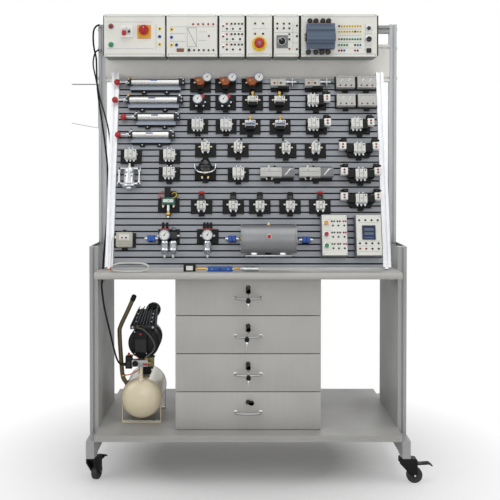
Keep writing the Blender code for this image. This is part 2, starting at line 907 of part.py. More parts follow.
# Each component: its kind and its place as shares of the panel's clear width and height, row by row
component_row_shares = [
    (29, [
        ("regulator", -0.183, 0.929), ("regulator", -0.086, 0.929), ("regulator", 0.017, 0.929),
        ("sensor", 0.127, 0.931), ("sensor", 0.259, 0.931), ("terminals", 0.3775, 0.937), ("terminals", 0.4588, 0.937),
    ]),
    (26, [
        ("gauge", -0.184, 0.8345), ("gauge", -0.085, 0.8345), ("knob", 0.019, 0.833), ("knob", 0.122, 0.833),
        ("solenoid", 0.263, 0.833), ("terminals", 0.3775, 0.841), ("terminals", 0.4588, 0.841),
    ]),
    (22, [
        ("spool", -0.192, 0.710), ("spool", -0.083, 0.710), ("knob", 0.009, 0.7065), ("knob", 0.124, 0.7065),
        ("solenoid", 0.263, 0.7065), ("solenoid", 0.428, 0.7065),
    ]),
    (17, [
        ("spool", -0.444, 0.5534), ("spool", -0.2975, 0.5534), ("roller", -0.161, 0.5876),
        ("roller", -0.037, 0.5876), ("roller", 0.145, 0.583), ("roller", 0.2575, 0.583), ("double", 0.422, 0.583),
    ]),
    (14, [
        ("rotary", -0.447, 0.4367), ("spool", -0.2975, 0.4634), ("dome", -0.161, 0.468), ("spool", -0.036, 0.461),
        ("long", 0.111, 0.465), ("long", 0.257, 0.465), ("double", 0.425, 0.453),
    ]),
    (9, [
        ("proportional", -0.2975, 0.3055), ("push", -0.174, 0.299), ("push", -0.055, 0.299),
        ("push", 0.0445, 0.299), ("push", 0.158, 0.299), ("push", 0.270, 0.299), ("double", 0.4225, 0.327),
    ]),
    (4, [("pressure", -0.458, 0.131)]),
]

# Body width, height and depth of each kind as shares of the base plate's width
component_body_shares = {
    "regulator": (0.50, 0.42, 0.40), "sensor": (0.46, 0.36, 0.36), "terminals": (0.88, 0.58, 0.30),
    "gauge": (0.46, 0.40, 0.36), "knob": (0.52, 0.42, 0.40), "solenoid": (0.56, 0.42, 0.40),
    "spool": (0.54, 0.44, 0.38), "roller": (0.46, 0.42, 0.36), "double": (0.52, 0.46, 0.42),
    "rotary": (0.60, 0.60, 0.30), "dome": (0.46, 0.40, 0.40), "long": (1.60, 0.44, 0.40),
    "proportional": (0.50, 0.70, 0.34), "push": (0.46, 0.40, 0.38), "pressure": (0.66, 0.62, 0.30),
}
mushroom_shares = (-0.174, 0.270)


def slot_line(number):
    """Height of a slot's middle line, counted from the lowest slot."""
    return post_start + first_slat_height + panel_slot / 2 + number * slot_pitch


def add_clip_strip(shape, number, left, right):
    """The clips' bar in a slot, which the base plates of one row hang on."""
    half = panel_slot / 2 - running_gap
    v = slot_line(number)
    low = (left, plate_back - bite, v - half)
    add_box(shape, low, (right, slat_recess + slat_flange, v + half), on_panel)


def component_centre(kind):
    """Distance of a body's own middle line from the panel's reference plane."""
    return body_back - component_body_shares[kind][2] * plate_width / 2


def add_ports(shape, x, v, width, height, middle):
    """Two round ports below a body."""
    for share in (-0.30, 0.30):
        place = on_panel @ move(x + share * width, middle, v - height / 2 - fitting_length)
        add_disc(shape, fitting_radius, fitting_length + bite, place, 6)


def add_component(shape, kind, across_share, up_share):
    """One component on its base plate."""
    x = panel_x(across_share)
    v = panel_v(up_share)
    width, height, depth = (share * plate_width for share in component_body_shares[kind])
    add_plate(shape, x, v, width * 0.96 if kind == "long" else plate_width)
    front = panel_box(shape, x, v, width, height, body_back, depth)
    middle = component_centre(kind)
    top = on_panel @ move(x, middle, v + height / 2 - bite)
    if kind in ("spool", "roller", "push", "solenoid"):
        add_ports(shape, x, v, width, height, middle)
    if kind == "regulator":
        add_disc(shape, gauge_radius * 0.55, height * 0.45, top, 8)
        panel_disc(shape, x, v, gauge_radius, front, gauge_thickness, 12)
    elif kind == "gauge":
        for share in (-0.26, 0.26):
            add_disc(shape, gauge_radius * 0.42, height * 0.4, top @ move(share * width), 8)
        panel_disc(shape, x, v, gauge_radius, front, gauge_thickness, 12)
    elif kind == "sensor":
        probe = on_panel @ move(x + width / 2 - bite, middle, v) @ to_right
        add_disc(shape, fitting_radius, fitting_length * 1.6, probe, 6)
    elif kind == "knob":
        add_disc(shape, fitting_radius, fitting_length * 1.6, top, 6)
    elif kind == "solenoid":
        panel_box(shape, x, v + height * 0.8, width * 0.6, height * 0.64, body_back - bite, depth - 3 * bite)
        panel_box(shape, x + width * 0.64, v, width * 0.3, height * 0.8, body_back - bite, depth * 0.8)
    elif kind == "double":
        for side in (-1, 1):
            coil_x = x + side * width * 0.8
            panel_box(shape, coil_x, v, width * 0.64, height * 0.8, body_back - bite, depth - 3 * bite)
    elif kind == "roller":
        lever = top @ move(-width / 3) @ Matrix.Rotation(math.radians(20), 4, "Y")
        half = fitting_radius / 2
        add_box(shape, (-half, -half, -bite), (half, half, height / 2), lever)
    elif kind == "dome":
        profile = [
            (0, 0), (gauge_radius, 0), (gauge_radius * 1.3, gauge_radius), (gauge_radius, gauge_radius * 1.8),
            (gauge_radius * 0.5, gauge_radius * 2.1), (0, gauge_radius * 2.2),
        ]
        add_turned(shape, profile, top, 12)
    elif kind == "rotary":
        panel_disc(shape, x, v, width * 0.42, front, depth, 12)
    elif kind == "proportional":
        panel_box(shape, x, v + height * 0.6, width * 0.8, height * 0.3, body_back - bite, depth * 0.9)
        panel_disc(shape, x, v, width * 0.25, front, fitting_length, 8)
    elif kind == "push":
        add_push_neck(shape, top, across_share in mushroom_shares)
    elif kind == "pressure":
        place = on_panel @ move(x - width / 2, middle, v + height * 0.2) @ to_left
        add_turned(shape, gland_profile(sensor_cable_radius), place, 8)


def add_push_neck(shape, top, has_mushroom):
    """Neck of a push-button valve: a bored collar for a mushroom, or one with its short plunger on it."""
    if has_mushroom:
        bore = stem_radius + running_gap
        profile = [
            (0, 0), (neck_radius, 0), (neck_radius, neck_height), (bore, neck_height), (bore, neck_floor),
            (0, neck_floor),
        ]
    else:
        profile = [
            (0, 0), (neck_radius, 0), (neck_radius, neck_height), (neck_radius * 1.2, neck_height),
            (neck_radius * 1.2, neck_height * 1.4), (0, neck_height * 1.4),
        ]
    add_turned(shape, profile, top, 10)


# Filter sets: place shares, then the side shift of each bowl in bowl radii
filter_place_shares = [((-0.2945, 0.150), (-1.15, 1.15)), ((-0.150, 0.150), (0.0,))]
tee_place_shares = [(-0.3585, 0.1375), (-0.059, 0.136), (0.215, 0.131)]
reservoir_place_share = (0.075, 0.1286)
module_place_shares = [(0.3173, 0.1477), (0.443, 0.1477)]

# Panel buttons: across and up from the module's middle, as shares of its width and height
button_place_shares = [(-0.316, 0.294), (-0.316, 0.019), (-0.316, -0.256)]
button_colours = ["yellow_plastic", "red_plastic", "green_plastic"]


def add_filters_and_tees(shape):
    """Filter, regulator and lubricator sets with their bowls and gauges, and the small tees."""
    for (across_share, up_share), bowls in filter_place_shares:
        x = panel_x(across_share)
        v = panel_v(up_share)
        add_plate(shape, x, v)
        depth = bowl_radius * 2.6
        width = bowl_radius * (2.4 * len(bowls) + 0.6)
        front = panel_box(shape, x, v, width, bowl_radius * 2, body_back, depth)
        panel_disc(shape, x - width / 4, v, gauge_radius * 0.9, front, gauge_thickness, 12)
        middle = body_back - depth / 2
        for shift in bowls:
            bowl = on_panel @ move(x + shift * bowl_radius, middle, v - bowl_radius + bite - bowl_height)
            profile = [
                (0, 0), (bowl_radius * 0.5, 0), (bowl_radius, bowl_radius), (bowl_radius, bowl_height),
                (0, bowl_height),
            ]
            add_turned(shape, profile, bowl, 10)
            knob = on_panel @ move(x + shift * bowl_radius, middle, v + bowl_radius - bite)
            add_disc(shape, bowl_radius * 0.9, bowl_radius * 2, knob, 8)
    for across_share, up_share in tee_place_shares:
        x = panel_x(across_share)
        v = panel_v(up_share)
        seat = panel_box(shape, x, v, fitting_radius * 3, fitting_radius * 4, plate_back, plate_thickness)
        panel_box(shape, x, v, fitting_radius * 5, fitting_radius * 3.4, seat, fitting_radius * 3)


def add_reservoir(shape):
    """Air reservoir with end caps on a foot plate, a port on top and one in front."""
    x = panel_x(reservoir_place_share[0])
    v = panel_v(reservoir_place_share[1])
    foot = cylinder_strip_thickness
    axis_y = plate_back - foot + bite - reservoir_radius
    shell = reservoir_radius * 0.96
    cap_end = reservoir_length - reservoir_cap
    profile = [
        (0, 0), (reservoir_radius, 0), (reservoir_radius, reservoir_cap), (shell, reservoir_cap), (shell, cap_end),
        (reservoir_radius, cap_end), (reservoir_radius, reservoir_length), (0, reservoir_length),
    ]
    add_turned(shape, profile, on_panel @ move(x - reservoir_length / 2, axis_y, v) @ to_right, 16)
    panel_box(shape, x, v, reservoir_length * 0.96, reservoir_radius * 2.1, plate_back, foot)
    rib = reservoir_length * 0.1
    panel_box(shape, x, v, rib, reservoir_radius, plate_back - bite, reservoir_radius / 2)
    port = on_panel @ move(x, axis_y, v + shell * 0.97)
    add_disc(shape, fitting_radius, fitting_length * 1.2, port, 8)
    panel_disc(shape, x, v, fitting_radius, axis_y - shell * 0.97, fitting_length, 8)


def module_face():
    return plate_back - module_depth


def add_modules(shape):
    """Two housings, and the rings that the push buttons slide in."""
    for across_share, up_share in module_place_shares:
        x = panel_x(across_share)
        v = panel_v(up_share)
        panel_box(shape, x, v, module_width, module_height, plate_back, module_depth)
    inner = button_cap_radius + running_gap
    ring = [
        (inner, -bite), (button_ring_radius, -bite), (button_ring_radius, button_ring_height),
        (inner, button_ring_height),
    ]
    for place in button_places():
        add_turned(shape, ring, place, 12, closed=True)


def button_places():
    """Frames on the first module's face, one for each push button, with Z pointing out of it."""
    x = panel_x(module_place_shares[0][0])
    v = panel_v(module_place_shares[0][1])
    places = []
    for across, up in button_place_shares:
        spot = move(x + across * module_width, module_face(), v + up * module_height)
        places.append(on_panel @ spot @ to_front)
    return places


def make_component_rows():
    """Seven rows from top to bottom, each with everything that hangs on one slot."""
    for index, (number, components) in enumerate(component_row_shares):
        shape = bmesh.new()
        for kind, across_share, up_share in components:
            add_component(shape, kind, across_share, up_share)
        left = panel_x(components[0][1])
        right = panel_x(components[-1][1])
        if index == len(component_row_shares) - 1:
            add_filters_and_tees(shape)
            add_reservoir(shape)
            add_modules(shape)
            right = panel_x(module_place_shares[-1][0])
        add_clip_strip(shape, number, left, right)
        finish(shape, f"component_row_{index + 1}", "white_plastic", joined=True)


def make_panel_buttons():
    for index, place in enumerate(button_places()):
        button = bmesh.new()
        low = button_travel - running_gap
        high = button_ring_height + button_cap_stand
        profile = [(0, low), (button_cap_radius, low), (button_cap_radius, high), (0, high)]
        add_turned(button, profile, place, 12)
        finish(button, f"panel_button_{index + 1}", button_colours[index], place.translation)


def make_mushrooms():
    """The two red mushroom buttons of the push-button valves; each slides into its neck."""
    height = component_body_shares["push"][1] * plate_width
    for index, across_share in enumerate(mushroom_shares):
        shape = bmesh.new()
        low = neck_floor + button_travel + seat_gap
        under = neck_height + button_travel + seat_gap
        profile = [
            (0, low), (stem_radius, low), (stem_radius, under), (mushroom_radius, under + mushroom_height * 0.35),
            (mushroom_radius, under + mushroom_height * 0.6), (mushroom_radius * 0.6, under + mushroom_height),
            (0, under + mushroom_height),
        ]
        v = panel_v(component_row_shares[5][1][1][2])
        place = on_panel @ move(panel_x(across_share), component_centre("push"), v + height / 2 - bite)
        add_turned(shape, profile, place, 12)
        finish(shape, f"mushroom_button_{index + 1}", "red_plastic", place.translation)


# Cylinders: left end of the barrel and height, as shares of the panel, and the barrel's length
cylinder_place_shares = [
    ((-0.448, 0.938), long_barrel), ((-0.4535, 0.844), long_barrel),
    ((-0.4195, 0.7537), short_barrel), ((-0.438, 0.6607), short_barrel),
]


def make_cylinders():
    """Cylinder bodies on their strips, each with a bore, and the rods with piston and ball knob."""
    hole = rod_radius + running_gap
    head = barrel_radius * 1.18
    axis_y = plate_back - cylinder_strip_thickness - barrel_stand_off
    for index, ((across_share, up_share), length) in enumerate(cylinder_place_shares):
        left = panel_x(across_share)
        v = panel_v(up_share)
        place = on_panel @ move(left - front_head, axis_y, v) @ to_right
        inside_end = front_head + length
        total = inside_end + rear_head
        profile = [
            (0, inside_end), (bore_radius, inside_end), (bore_radius, head_wall), (hole, head_wall), (hole, 0),
            (head, 0), (head, front_head), (barrel_radius, front_head), (barrel_radius, inside_end),
            (head, inside_end), (head, total), (0, total),
        ]
        body = bmesh.new()
        add_turned(body, profile, place, 10)
        add_cylinder_mount(body, left, length, v, axis_y)
        finish(body, f"cylinder_{index + 1}", "profile_silver", joined=True)
        rod = bmesh.new()
        start = -rod_show
        piston_start = head_wall + stroke_of(length) + seat_gap
        piston = bore_radius - running_gap
        profile = [
            (0, start - 2 * ball_radius), (ball_radius * 0.6, start - 1.8 * ball_radius),
            (ball_radius, start - ball_radius), (ball_radius * 0.6, start - 0.2 * ball_radius),
            (rod_radius, start), (rod_radius, piston_start), (piston, piston_start),
            (piston, piston_start + piston_length), (0, piston_start + piston_length),
        ]
        add_turned(rod, profile, place, 10)
        finish(rod, f"piston_rod_{index + 1}", "red_plastic", place.translation)


def stroke_of(length):
    """The stroke leaves room for the piston and a cushion inside the barrel."""
    return length - 2 * piston_length - rear_head


def add_cylinder_mount(shape, left, length, v, axis_y):
    """A steel strip under the cylinder, and a block under each head."""
    strip_v = v - cylinder_strip_height * 0.7
    middle = left + length / 2
    strip = length + front_head
    height = cylinder_strip_height * 1.2
    seat = panel_box(shape, middle, strip_v, strip, height, plate_back, cylinder_strip_thickness)
    lift = seat - axis_y - barrel_radius * 0.9
    for end in (left - front_head / 2, left + length + rear_head / 2):
        panel_box(shape, end, v - bite, front_head * 0.7, barrel_radius * 1.5, seat, lift)


# Modules of the rack: left end and width as shares of the rack's width
rack_module_shares = [
    (0.0036, 0.2211), (0.2309, 0.1839), (0.4225, 0.0907), (0.5209, 0.0922), (0.6204, 0.0899), (0.7195, 0.2750),
]

# Places on the rack's face, as shares of its width and height
stop_share = (0.5671, 0.300)
mains_share = (0.1483, 0.625)
breaker_share = (0.0854, 0.610)
lamp_shares = [(0.0279, 0.748), (0.0279, 0.315)]
speed_share = (0.6498, 0.396)
controller_share = (0.7855, 0.470)


def rack_x(across_share):
    return rack_left + across_share * rack_width


def rack_z(up_share):
    return rack_bottom + up_share * rack_height


def face_disc(shape, x, z, radius, back, depth, sides=12):
    add_disc(shape, radius, depth, move(x, back, z) @ to_front, sides)
    return back - depth + bite


def face_box(shape, x, z, width, height, back, depth):
    add_box(shape, (x - width / 2, back - depth, z - height / 2), (x + width / 2, back, z + height / 2))
    return back - depth + bite


def make_rack():
    """Module housings, the dark bars between them, and what is fixed to their faces."""
    shape = bmesh.new()
    back = upright_front - seat_gap
    high = rack_bottom + rack_height
    edges = [rack_left]
    for left_share, width_share in rack_module_shares:
        left = rack_x(left_share)
        right = left + width_share * rack_width
        add_box(shape, (left, rack_front, rack_bottom), (right, back, high))
        edges += [left + bite, right - bite]
    edges.append(rack_left + rack_width)
    recess = rack_bar_recess
    for left, right in zip(edges[0::2], edges[1::2]):
        add_box(shape, (left, rack_front + recess, rack_bottom + recess), (right, back - recess, high - recess))
    seat = rack_front + bite
    x, z = rack_x(mains_share[0]), rack_z(mains_share[1])
    face_box(shape, x, z, switch_plate, switch_plate, seat, disc_thickness + bite)
    x, z = rack_x(breaker_share[0]), rack_z(breaker_share[1])
    front = face_box(shape, x, z, breaker_width, breaker_height, seat, breaker_depth)
    face_box(shape, x, z, breaker_width * 0.5, breaker_height * 0.35, front, breaker_depth * 0.4)
    for across, up in lamp_shares:
        face_disc(shape, rack_x(across), rack_z(up), lamp_radius, seat, lamp_height)
    x, z = rack_x(speed_share[0]), rack_z(speed_share[1])
    front = face_box(shape, x, z, breaker_width, breaker_width * 1.1, seat, disc_thickness + bite)
    face_disc(shape, x, z, speed_knob_radius, front, switch_knob_height * 0.7)
    inner = stem_radius * 1.6 + running_gap
    collar = stop_travel * 2.4
    ring = [
        (inner, -bite), (stop_disc_radius, -bite), (stop_disc_radius, disc_thickness),
        (inner * 1.5, disc_thickness), (inner * 1.5, collar), (inner, collar),
    ]
    x, z = rack_x(stop_share[0]), rack_z(stop_share[1])
    add_turned(shape, ring, move(x, rack_front, z) @ to_front, 16, closed=True)
    add_controller(shape, seat)
    finish(shape, "rack_modules", "white_plastic", joined=True)


def add_controller(shape, seat):
    """Programmable controller with a raised middle block, between two terminal strips."""
    x, z = rack_x(controller_share[0]), rack_z(controller_share[1])
    depth = controller_depth * 0.7
    high = controller_height / 2
    step = controller_height * 0.2
    outline = [
        (0, -high), (0, high), (-depth, high), (-depth, high - step), (-controller_depth, high - step * 1.3),
        (-controller_depth, step * 1.3 - high), (-depth, step - high), (-depth, -high),
    ]
    place = move(x - controller_width / 2, seat, z) @ along_x
    add_prism(shape, outline, controller_width, place)
    offset = high + terminal_height / 2 - bite
    for side in (-1, 1):
        face_box(shape, x, z + side * offset, controller_width * 0.94, terminal_height, seat, terminal_depth)


def make_rack_controls():
    """The emergency stop, which slides in, and the mains switch, which turns."""
    x, z = rack_x(stop_share[0]), rack_z(stop_share[1])
    place = move(x, rack_front, z) @ to_front
    low = stop_travel + seat_gap
    under = stop_travel * 2.4 + stop_travel + seat_gap
    radius = stem_radius * 1.6
    profile = [
        (0, low), (radius, low), (radius, under), (stop_head_radius, under + stop_head_height * 0.3),
        (stop_head_radius, under + stop_head_height * 0.6), (stop_head_radius * 0.75, under + stop_head_height),
        (0, under + stop_head_height),
    ]
    button = bmesh.new()
    add_turned(button, profile, place, 16)
    finish(button, "stop_button", "red_plastic", place.translation)
    x, z = rack_x(mains_share[0]), rack_z(mains_share[1])
    knob = bmesh.new()
    place = move(x, rack_front - disc_thickness - seat_gap, z) @ to_front
    radius = switch_knob_radius
    base = switch_knob_height * 0.4
    add_disc(knob, radius, base, place, 16)
    low = (-radius * 0.22, -radius * 0.9, base - bite)
    add_box(knob, low, (radius * 0.22, radius * 0.9, switch_knob_height), place)
    finish(knob, "mains_switch_knob", "red_plastic", place.translation, joined=True)


# Bent handle: across and up from the tank's axis, in tank radii, after its seat in the tank
handle_path_shares = [(-0.99, 1.02), (-1.07, 1.90), (-1.14, 3.10), (-1.09, 3.50), (-0.72, 4.30), (-0.40, 5.02)]


def make_tank():
    """Tank with domed ends, two bent bar feet, its outlet pipe and the carrying handle."""
    shape = bmesh.new()
    radius = tank_radius
    dome = []
    for index in range(1, 4):
        turn = math.pi / 2 * index / 3
        dome.append((radius * math.sin(turn), tank_dome * (1 - math.cos(turn))))
    far_dome = [(across, tank_length - depth) for across, depth in reversed(dome)]
    profile = [(0, 0)] + dome + far_dome + [(0, tank_length)]
    add_turned(shape, profile, move(tank_x, tank_front, tank_z) @ to_back, 20)
    outer = foot_half_width
    inner = foot_half_width - foot_bar
    outline = [
        (-outer, seat_gap), (outer, seat_gap), (outer, tank_axis_height), (inner, tank_axis_height),
        (inner, foot_bar), (-inner, foot_bar), (-inner, tank_axis_height), (-outer, tank_axis_height),
    ]
    for place_y in (tank_front + tank_dome, tank_front + tank_length - tank_dome - foot_bar_width):
        add_prism(shape, outline, foot_bar_width, move(tank_x, place_y + foot_bar_width, shelf_top) @ to_front)
    pipe_low = tank_z + tank_radius * 0.8
    pipe_length = manifold_low() - seat_gap - pipe_low
    add_disc(shape, pipe_radius, pipe_length, move(tank_x, manifold_y(), pipe_low), 12)
    seat_angle = math.radians(40)
    out = Vector((-math.cos(seat_angle), 0, math.sin(seat_angle)))
    axis = Vector((tank_x, tank_front + tank_dome + foot_bar_width * 1.5, tank_z))
    route = [axis + out * (tank_radius - 3 * bite), axis + out * (tank_radius + handle_radius)]
    for across, up in handle_path_shares:
        route.append(axis + Vector((across * tank_radius, 0, up * tank_radius)))
    add_tube(shape, smooth_route(route, 2), handle_radius, 8)
    finish(shape, "compressor_tank", "tank_cream", joined=True)


def manifold_low():
    return motor_z - motor_radius - manifold_height * 0.84


def manifold_y():
    return motor_front - cover_thickness - 2 * seat_gap - manifold_depth / 2


# Exhaust pipe between the pump head and the manifold: across and up from the motor's axis in motor radii
exhaust_path_shares = [(0.05, 0.92), (0.48, 0.49), (0.76, -0.07), (0.60, -0.50)]


def make_pump():
    """Motor with its end cover, finned head, air filter, exhaust pipe, manifold and pressure switch."""
    shape = bmesh.new()
    radius = motor_radius
    profile = [
        (0, 0), (radius * 0.9, 0), (radius, radius * 0.1), (radius, motor_length * 0.5),
        (radius * 0.94, motor_length * 0.5), (radius * 0.94, motor_length * 0.62), (radius, motor_length * 0.62),
        (radius, motor_length - radius * 0.1), (radius * 0.9, motor_length), (0, motor_length),
    ]
    add_turned(shape, profile, move(motor_x, motor_front, motor_z) @ to_back, 16)
    low = (motor_x - radius * 0.62, motor_front - cover_thickness, motor_z - radius * 0.7)
    add_box(shape, low, (motor_x + radius * 0.28, motor_front + bite, motor_z + radius * 0.84))
    add_pump_head(shape)
    add_pump_pipework(shape)
    for share in (0.25, 0.75):
        place_y = motor_front + share * motor_length
        low = (motor_x - radius * 0.4, place_y, tank_z + tank_radius + seat_gap)
        add_box(shape, low, (motor_x + radius * 0.4, place_y + foot_bar_width, motor_z - radius * 0.9))
    finish(shape, "compressor_pump", "black_plastic", joined=True)


def add_pump_head(shape):
    """Flange on the motor, leaning fins on it, and the air filter behind them on its neck."""
    radius = motor_radius
    base_z = motor_z + radius * 0.9
    left = -radius * 0.86
    right = radius * 0.77
    outline = [(left, 0), (right, 0), (right, head_base), (left, head_base)]
    head_y = motor_front + head_depth
    place = move(motor_x, head_y, base_z) @ to_front
    add_prism(shape, outline, head_depth, place)
    lean = radius * 0.5
    low = head_base - bite
    high = head_base + head_fin_height
    for index in range(head_fin_count):
        share = index / (head_fin_count - 1)
        start = left + share * (right - left - head_fin_thickness)
        end = start + head_fin_thickness
        shift = lean * (1 - share * 0.8)
        fin = [(start, low), (end, low), (end + shift, high), (start + shift, high)]
        add_prism(shape, fin, head_depth - 2 * bite, place @ move(z=bite))
    filter_x = motor_x + filter_radius
    filter_y = head_y + 2 * bite
    filter_z = base_z + head_base + head_fin_height * 0.7
    add_disc(shape, filter_radius, filter_length, move(filter_x, filter_y, filter_z) @ to_back, 12)
    neck_low = motor_z + radius * 0.8
    neck_top = filter_z - filter_radius * 0.8
    add_disc(shape, pipe_radius, neck_top - neck_low, move(filter_x, filter_y + filter_length / 2, neck_low), 8)


motor_x = tank_x + 0.0065


def add_pump_pipework(shape):
    """Manifold over the tank's pipe, pressure switch with its gland, and the exhaust pipe."""
    low = manifold_low()
    middle_y = manifold_y()
    left = tank_x - manifold_length * 0.55
    right = left + manifold_length
    front = middle_y - manifold_depth / 2
    add_box(shape, (left, front, low), (right, front + manifold_depth, low + manifold_height))
    box_low = low - manifold_height * 0.3
    box_left = left - switch_box_width
    add_box(shape, (box_left, front + bite, box_low), (left + bite, front + manifold_depth - bite, box_low + switch_box_height))
    add_turned(shape, gland_profile(power_cable_radius), move(box_left, power_cable_end[1], power_cable_end[2]) @ to_left, 8)
    pipe_y = motor_front - cover_thickness - exhaust_radius * 2
    start = (motor_x - motor_radius * 0.36, motor_front + 2 * bite, motor_z + motor_radius * 0.95 + head_base / 2)
    route = [start, (start[0], pipe_y, start[2])]
    for across, up in exhaust_path_shares:
        route.append((motor_x + across * motor_radius, pipe_y, motor_z + up * motor_radius))
    end_x = right - exhaust_radius * 2
    end_z = low + manifold_height
    route += [(end_x, middle_y, end_z + 2 * exhaust_radius), (end_x, middle_y, end_z - 2 * bite)]
    add_tube(shape, smooth_route(route, 2), exhaust_radius, 6)


def make_tap():
    """Outlet tap with a bar grip; it turns on the manifold's front."""
    shape = bmesh.new()
    x = tank_x + manifold_length * 0.3
    z = manifold_low() + manifold_height / 2
    place = move(x, manifold_y() - manifold_depth / 2 - seat_gap, z) @ to_front
    add_disc(shape, tap_radius * 0.6, tap_length, place, 10)
    low = (-tap_radius, -tap_radius * 0.35, tap_length - bite)
    add_box(shape, low, (tap_radius, tap_radius * 0.35, tap_length * 1.5), place)
    finish(shape, "outlet_tap", "red_plastic", place.translation, joined=True)


# Fittings lying on the table: left end and length as shares of the panel's clear width
block_share = (-0.236, 0.044)
bar_share = (-0.148, 0.091)
muffler_share = (-0.030, 0.068)


def make_bench_fittings():
    """Connector block, distribution bar and muffler, joined in line by a thin brass pipe."""
    shape = bmesh.new()
    low = table_height + seat_gap
    back = loose_setback + loose_height
    for share, high in ((block_share, 1.5), (bar_share, 1.0)):
        left = panel_x(share[0])
        right = left + share[1] * panel_width
        add_box(shape, (left, loose_setback, low), (right, back, low + loose_height * high))
    left = panel_x(muffler_share[0])
    length = muffler_share[1] * panel_width
    radius = loose_height / 2
    lift = radius * math.cos(math.pi / 12)
    profile = [(0, 0), (radius * 0.6, 0), (radius, length * 0.2), (radius, length), (0, length)]
    add_turned(shape, profile, move(left, loose_setback + radius, low + lift) @ to_right, 12)
    start = panel_x(block_share[0] + block_share[1] / 2)
    pipe = panel_x(muffler_share[0] + muffler_share[1] / 2) - start
    add_disc(shape, exhaust_radius, pipe, move(start, loose_setback + radius, low + lift) @ to_right, 8)
    finish(shape, "bench_fittings", "profile_silver", joined=True)


# Cable ends that meet their glands
power_cable_start = (-0.5985, upright_front - gland_length - seat_gap, 1.7645)
power_cable_end = (
    tank_x - manifold_length * 0.55 - switch_box_width - gland_length - seat_gap,
    manifold_y(),
    manifold_low() + manifold_height * 0.25,
)
rack_cable_start = (-0.5985, upright_front - gland_length - seat_gap, 1.665)
rack_cable_end = (gland_length + seat_gap - leg_inner, 0.235, 0.850)
cable_notch = (-0.561, 0.135)


def square_end(end, outward, radius):
    """Three points in line, so that a cable meets its gland squarely."""
    way = Vector(outward)
    return [Vector(end) + way * radius * 2, Vector(end) + way * radius, Vector(end)]


# Routes of the two black cables, chosen point by point
power_cable_route = [
    *reversed(square_end(power_cable_start, (0, -1, 0), power_cable_radius)), (-0.610, 0.265, 1.757), (-0.619, 0.267, 1.738),
    (-0.6205, 0.270, 1.700), (-0.617, 0.275, 1.665), (-0.610, 0.278, 1.630), (-0.6085, 0.279, 1.560),
    (-0.606, 0.280, 1.510), (-0.598, 0.280, 1.4425), (-0.586, 0.281, 1.360), (-0.575, 0.279, 1.280),
    (-0.566, 0.275, 1.200), (-0.561, 0.258, 1.080), (-0.560, 0.215, 0.965), (-0.5605, 0.165, 0.880),
    (-0.561, 0.137, 0.815), (-0.562, 0.131, 0.770), (-0.5645, 0.124, 0.728), (-0.5545, 0.122, 0.652),
    (-0.535, 0.126, 0.561), (-0.515, 0.134, 0.470), (-0.503, 0.138, 0.437),
    *square_end(power_cable_end, (-1, 0, 0), power_cable_radius),
]
rack_cable_route = [
    *reversed(square_end(rack_cable_start, (0, -1, 0), rack_cable_radius)), (-0.609, 0.264, 1.657), (-0.617, 0.262, 1.636),
    (-0.6195, 0.262, 1.602), (-0.610, 0.262, 1.553), (-0.5917, 0.262, 1.466), (-0.571, 0.263, 1.395),
    (-0.556, 0.263, 1.320), (-0.549, 0.256, 1.200), (-0.546, 0.246, 1.060), (-0.5455, 0.238, 0.940),
    (-0.548, 0.235, 0.885),
    *square_end(rack_cable_end, (1, 0, 0), rack_cable_radius),
]


def make_cable(name, route, radius, steps, colour):
    """A round cable along a smooth curve through its chosen points."""
    points = smooth_route(route, steps)
    data = bpy.data.curves.new(name, "CURVE")
    data.dimensions = "3D"
    data.bevel_depth = radius
    data.bevel_resolution = 2
    data.use_fill_caps = True
    spline = data.splines.new("POLY")
    spline.points.add(len(points) - 1)
    for point, place in zip(spline.points, points):
        point.co = (*place, 1.0)
    made = bpy.data.objects.new(name, data)
    data.materials.append(material_for(colour))
    bpy.context.scene.collection.objects.link(made)
    return made


def bundle_point(turn_share):
    """One point of the flat loops: a rounded oblong that steps towards the viewer as it winds."""
    angle = 2 * math.pi * turn_share
    across = math.cos(angle)
    up = math.sin(angle)
    straight = math.copysign(abs(across) ** bundle_end_power, across) * bundle_length / 2
    rise = up * bundle_height / 2
    lowest = table_height + seat_gap + sensor_cable_radius * 1.2
    middle = Vector((bundle_x, bundle_back, lowest + bundle_height / 2 * math.cos(bundle_tilt)))
    upward = Vector((0, math.sin(bundle_tilt), math.cos(bundle_tilt)))
    return middle + Vector((straight, -bundle_step * turn_share, 0)) + upward * rise


def make_sensor_cable():
    """White sensor lead: the free stretch from the sensor, and the flat bundle of loops on the table."""
    steps = 16
    start_share = 0.5
    loops = [bundle_point(start_share + index / steps) for index in range(bundle_loops * steps + 1)]
    bundle = make_cable("sensor_cable_bundle", loops, sensor_cable_radius, 1, "white_plastic")
    bundle.data.bevel_resolution = 1
    width, height, _ = (share * plate_width for share in component_body_shares["pressure"])
    kind, across_share, up_share = component_row_shares[-1][1][0]
    x = panel_x(across_share) - width / 2 - gland_length - seat_gap
    outlet = on_panel @ Vector((x, component_centre(kind), panel_v(up_share) + height * 0.2))
    ahead = (loops[0] - loops[1]).normalized()
    end = loops[0] + ahead * seat_gap
    route = [
        outlet, outlet + Vector((-0.004, 0, 0)), outlet + Vector((-0.008, -0.002, -0.006)),
        outlet + Vector((-0.012, -0.006, -0.026)), outlet + Vector((-0.010, -0.010, -0.050)),
        end + ahead * 0.012, end + ahead * 0.004, end,
    ]
    make_cable("sensor_cable_lead", route, sensor_cable_radius, 3, "white_plastic")


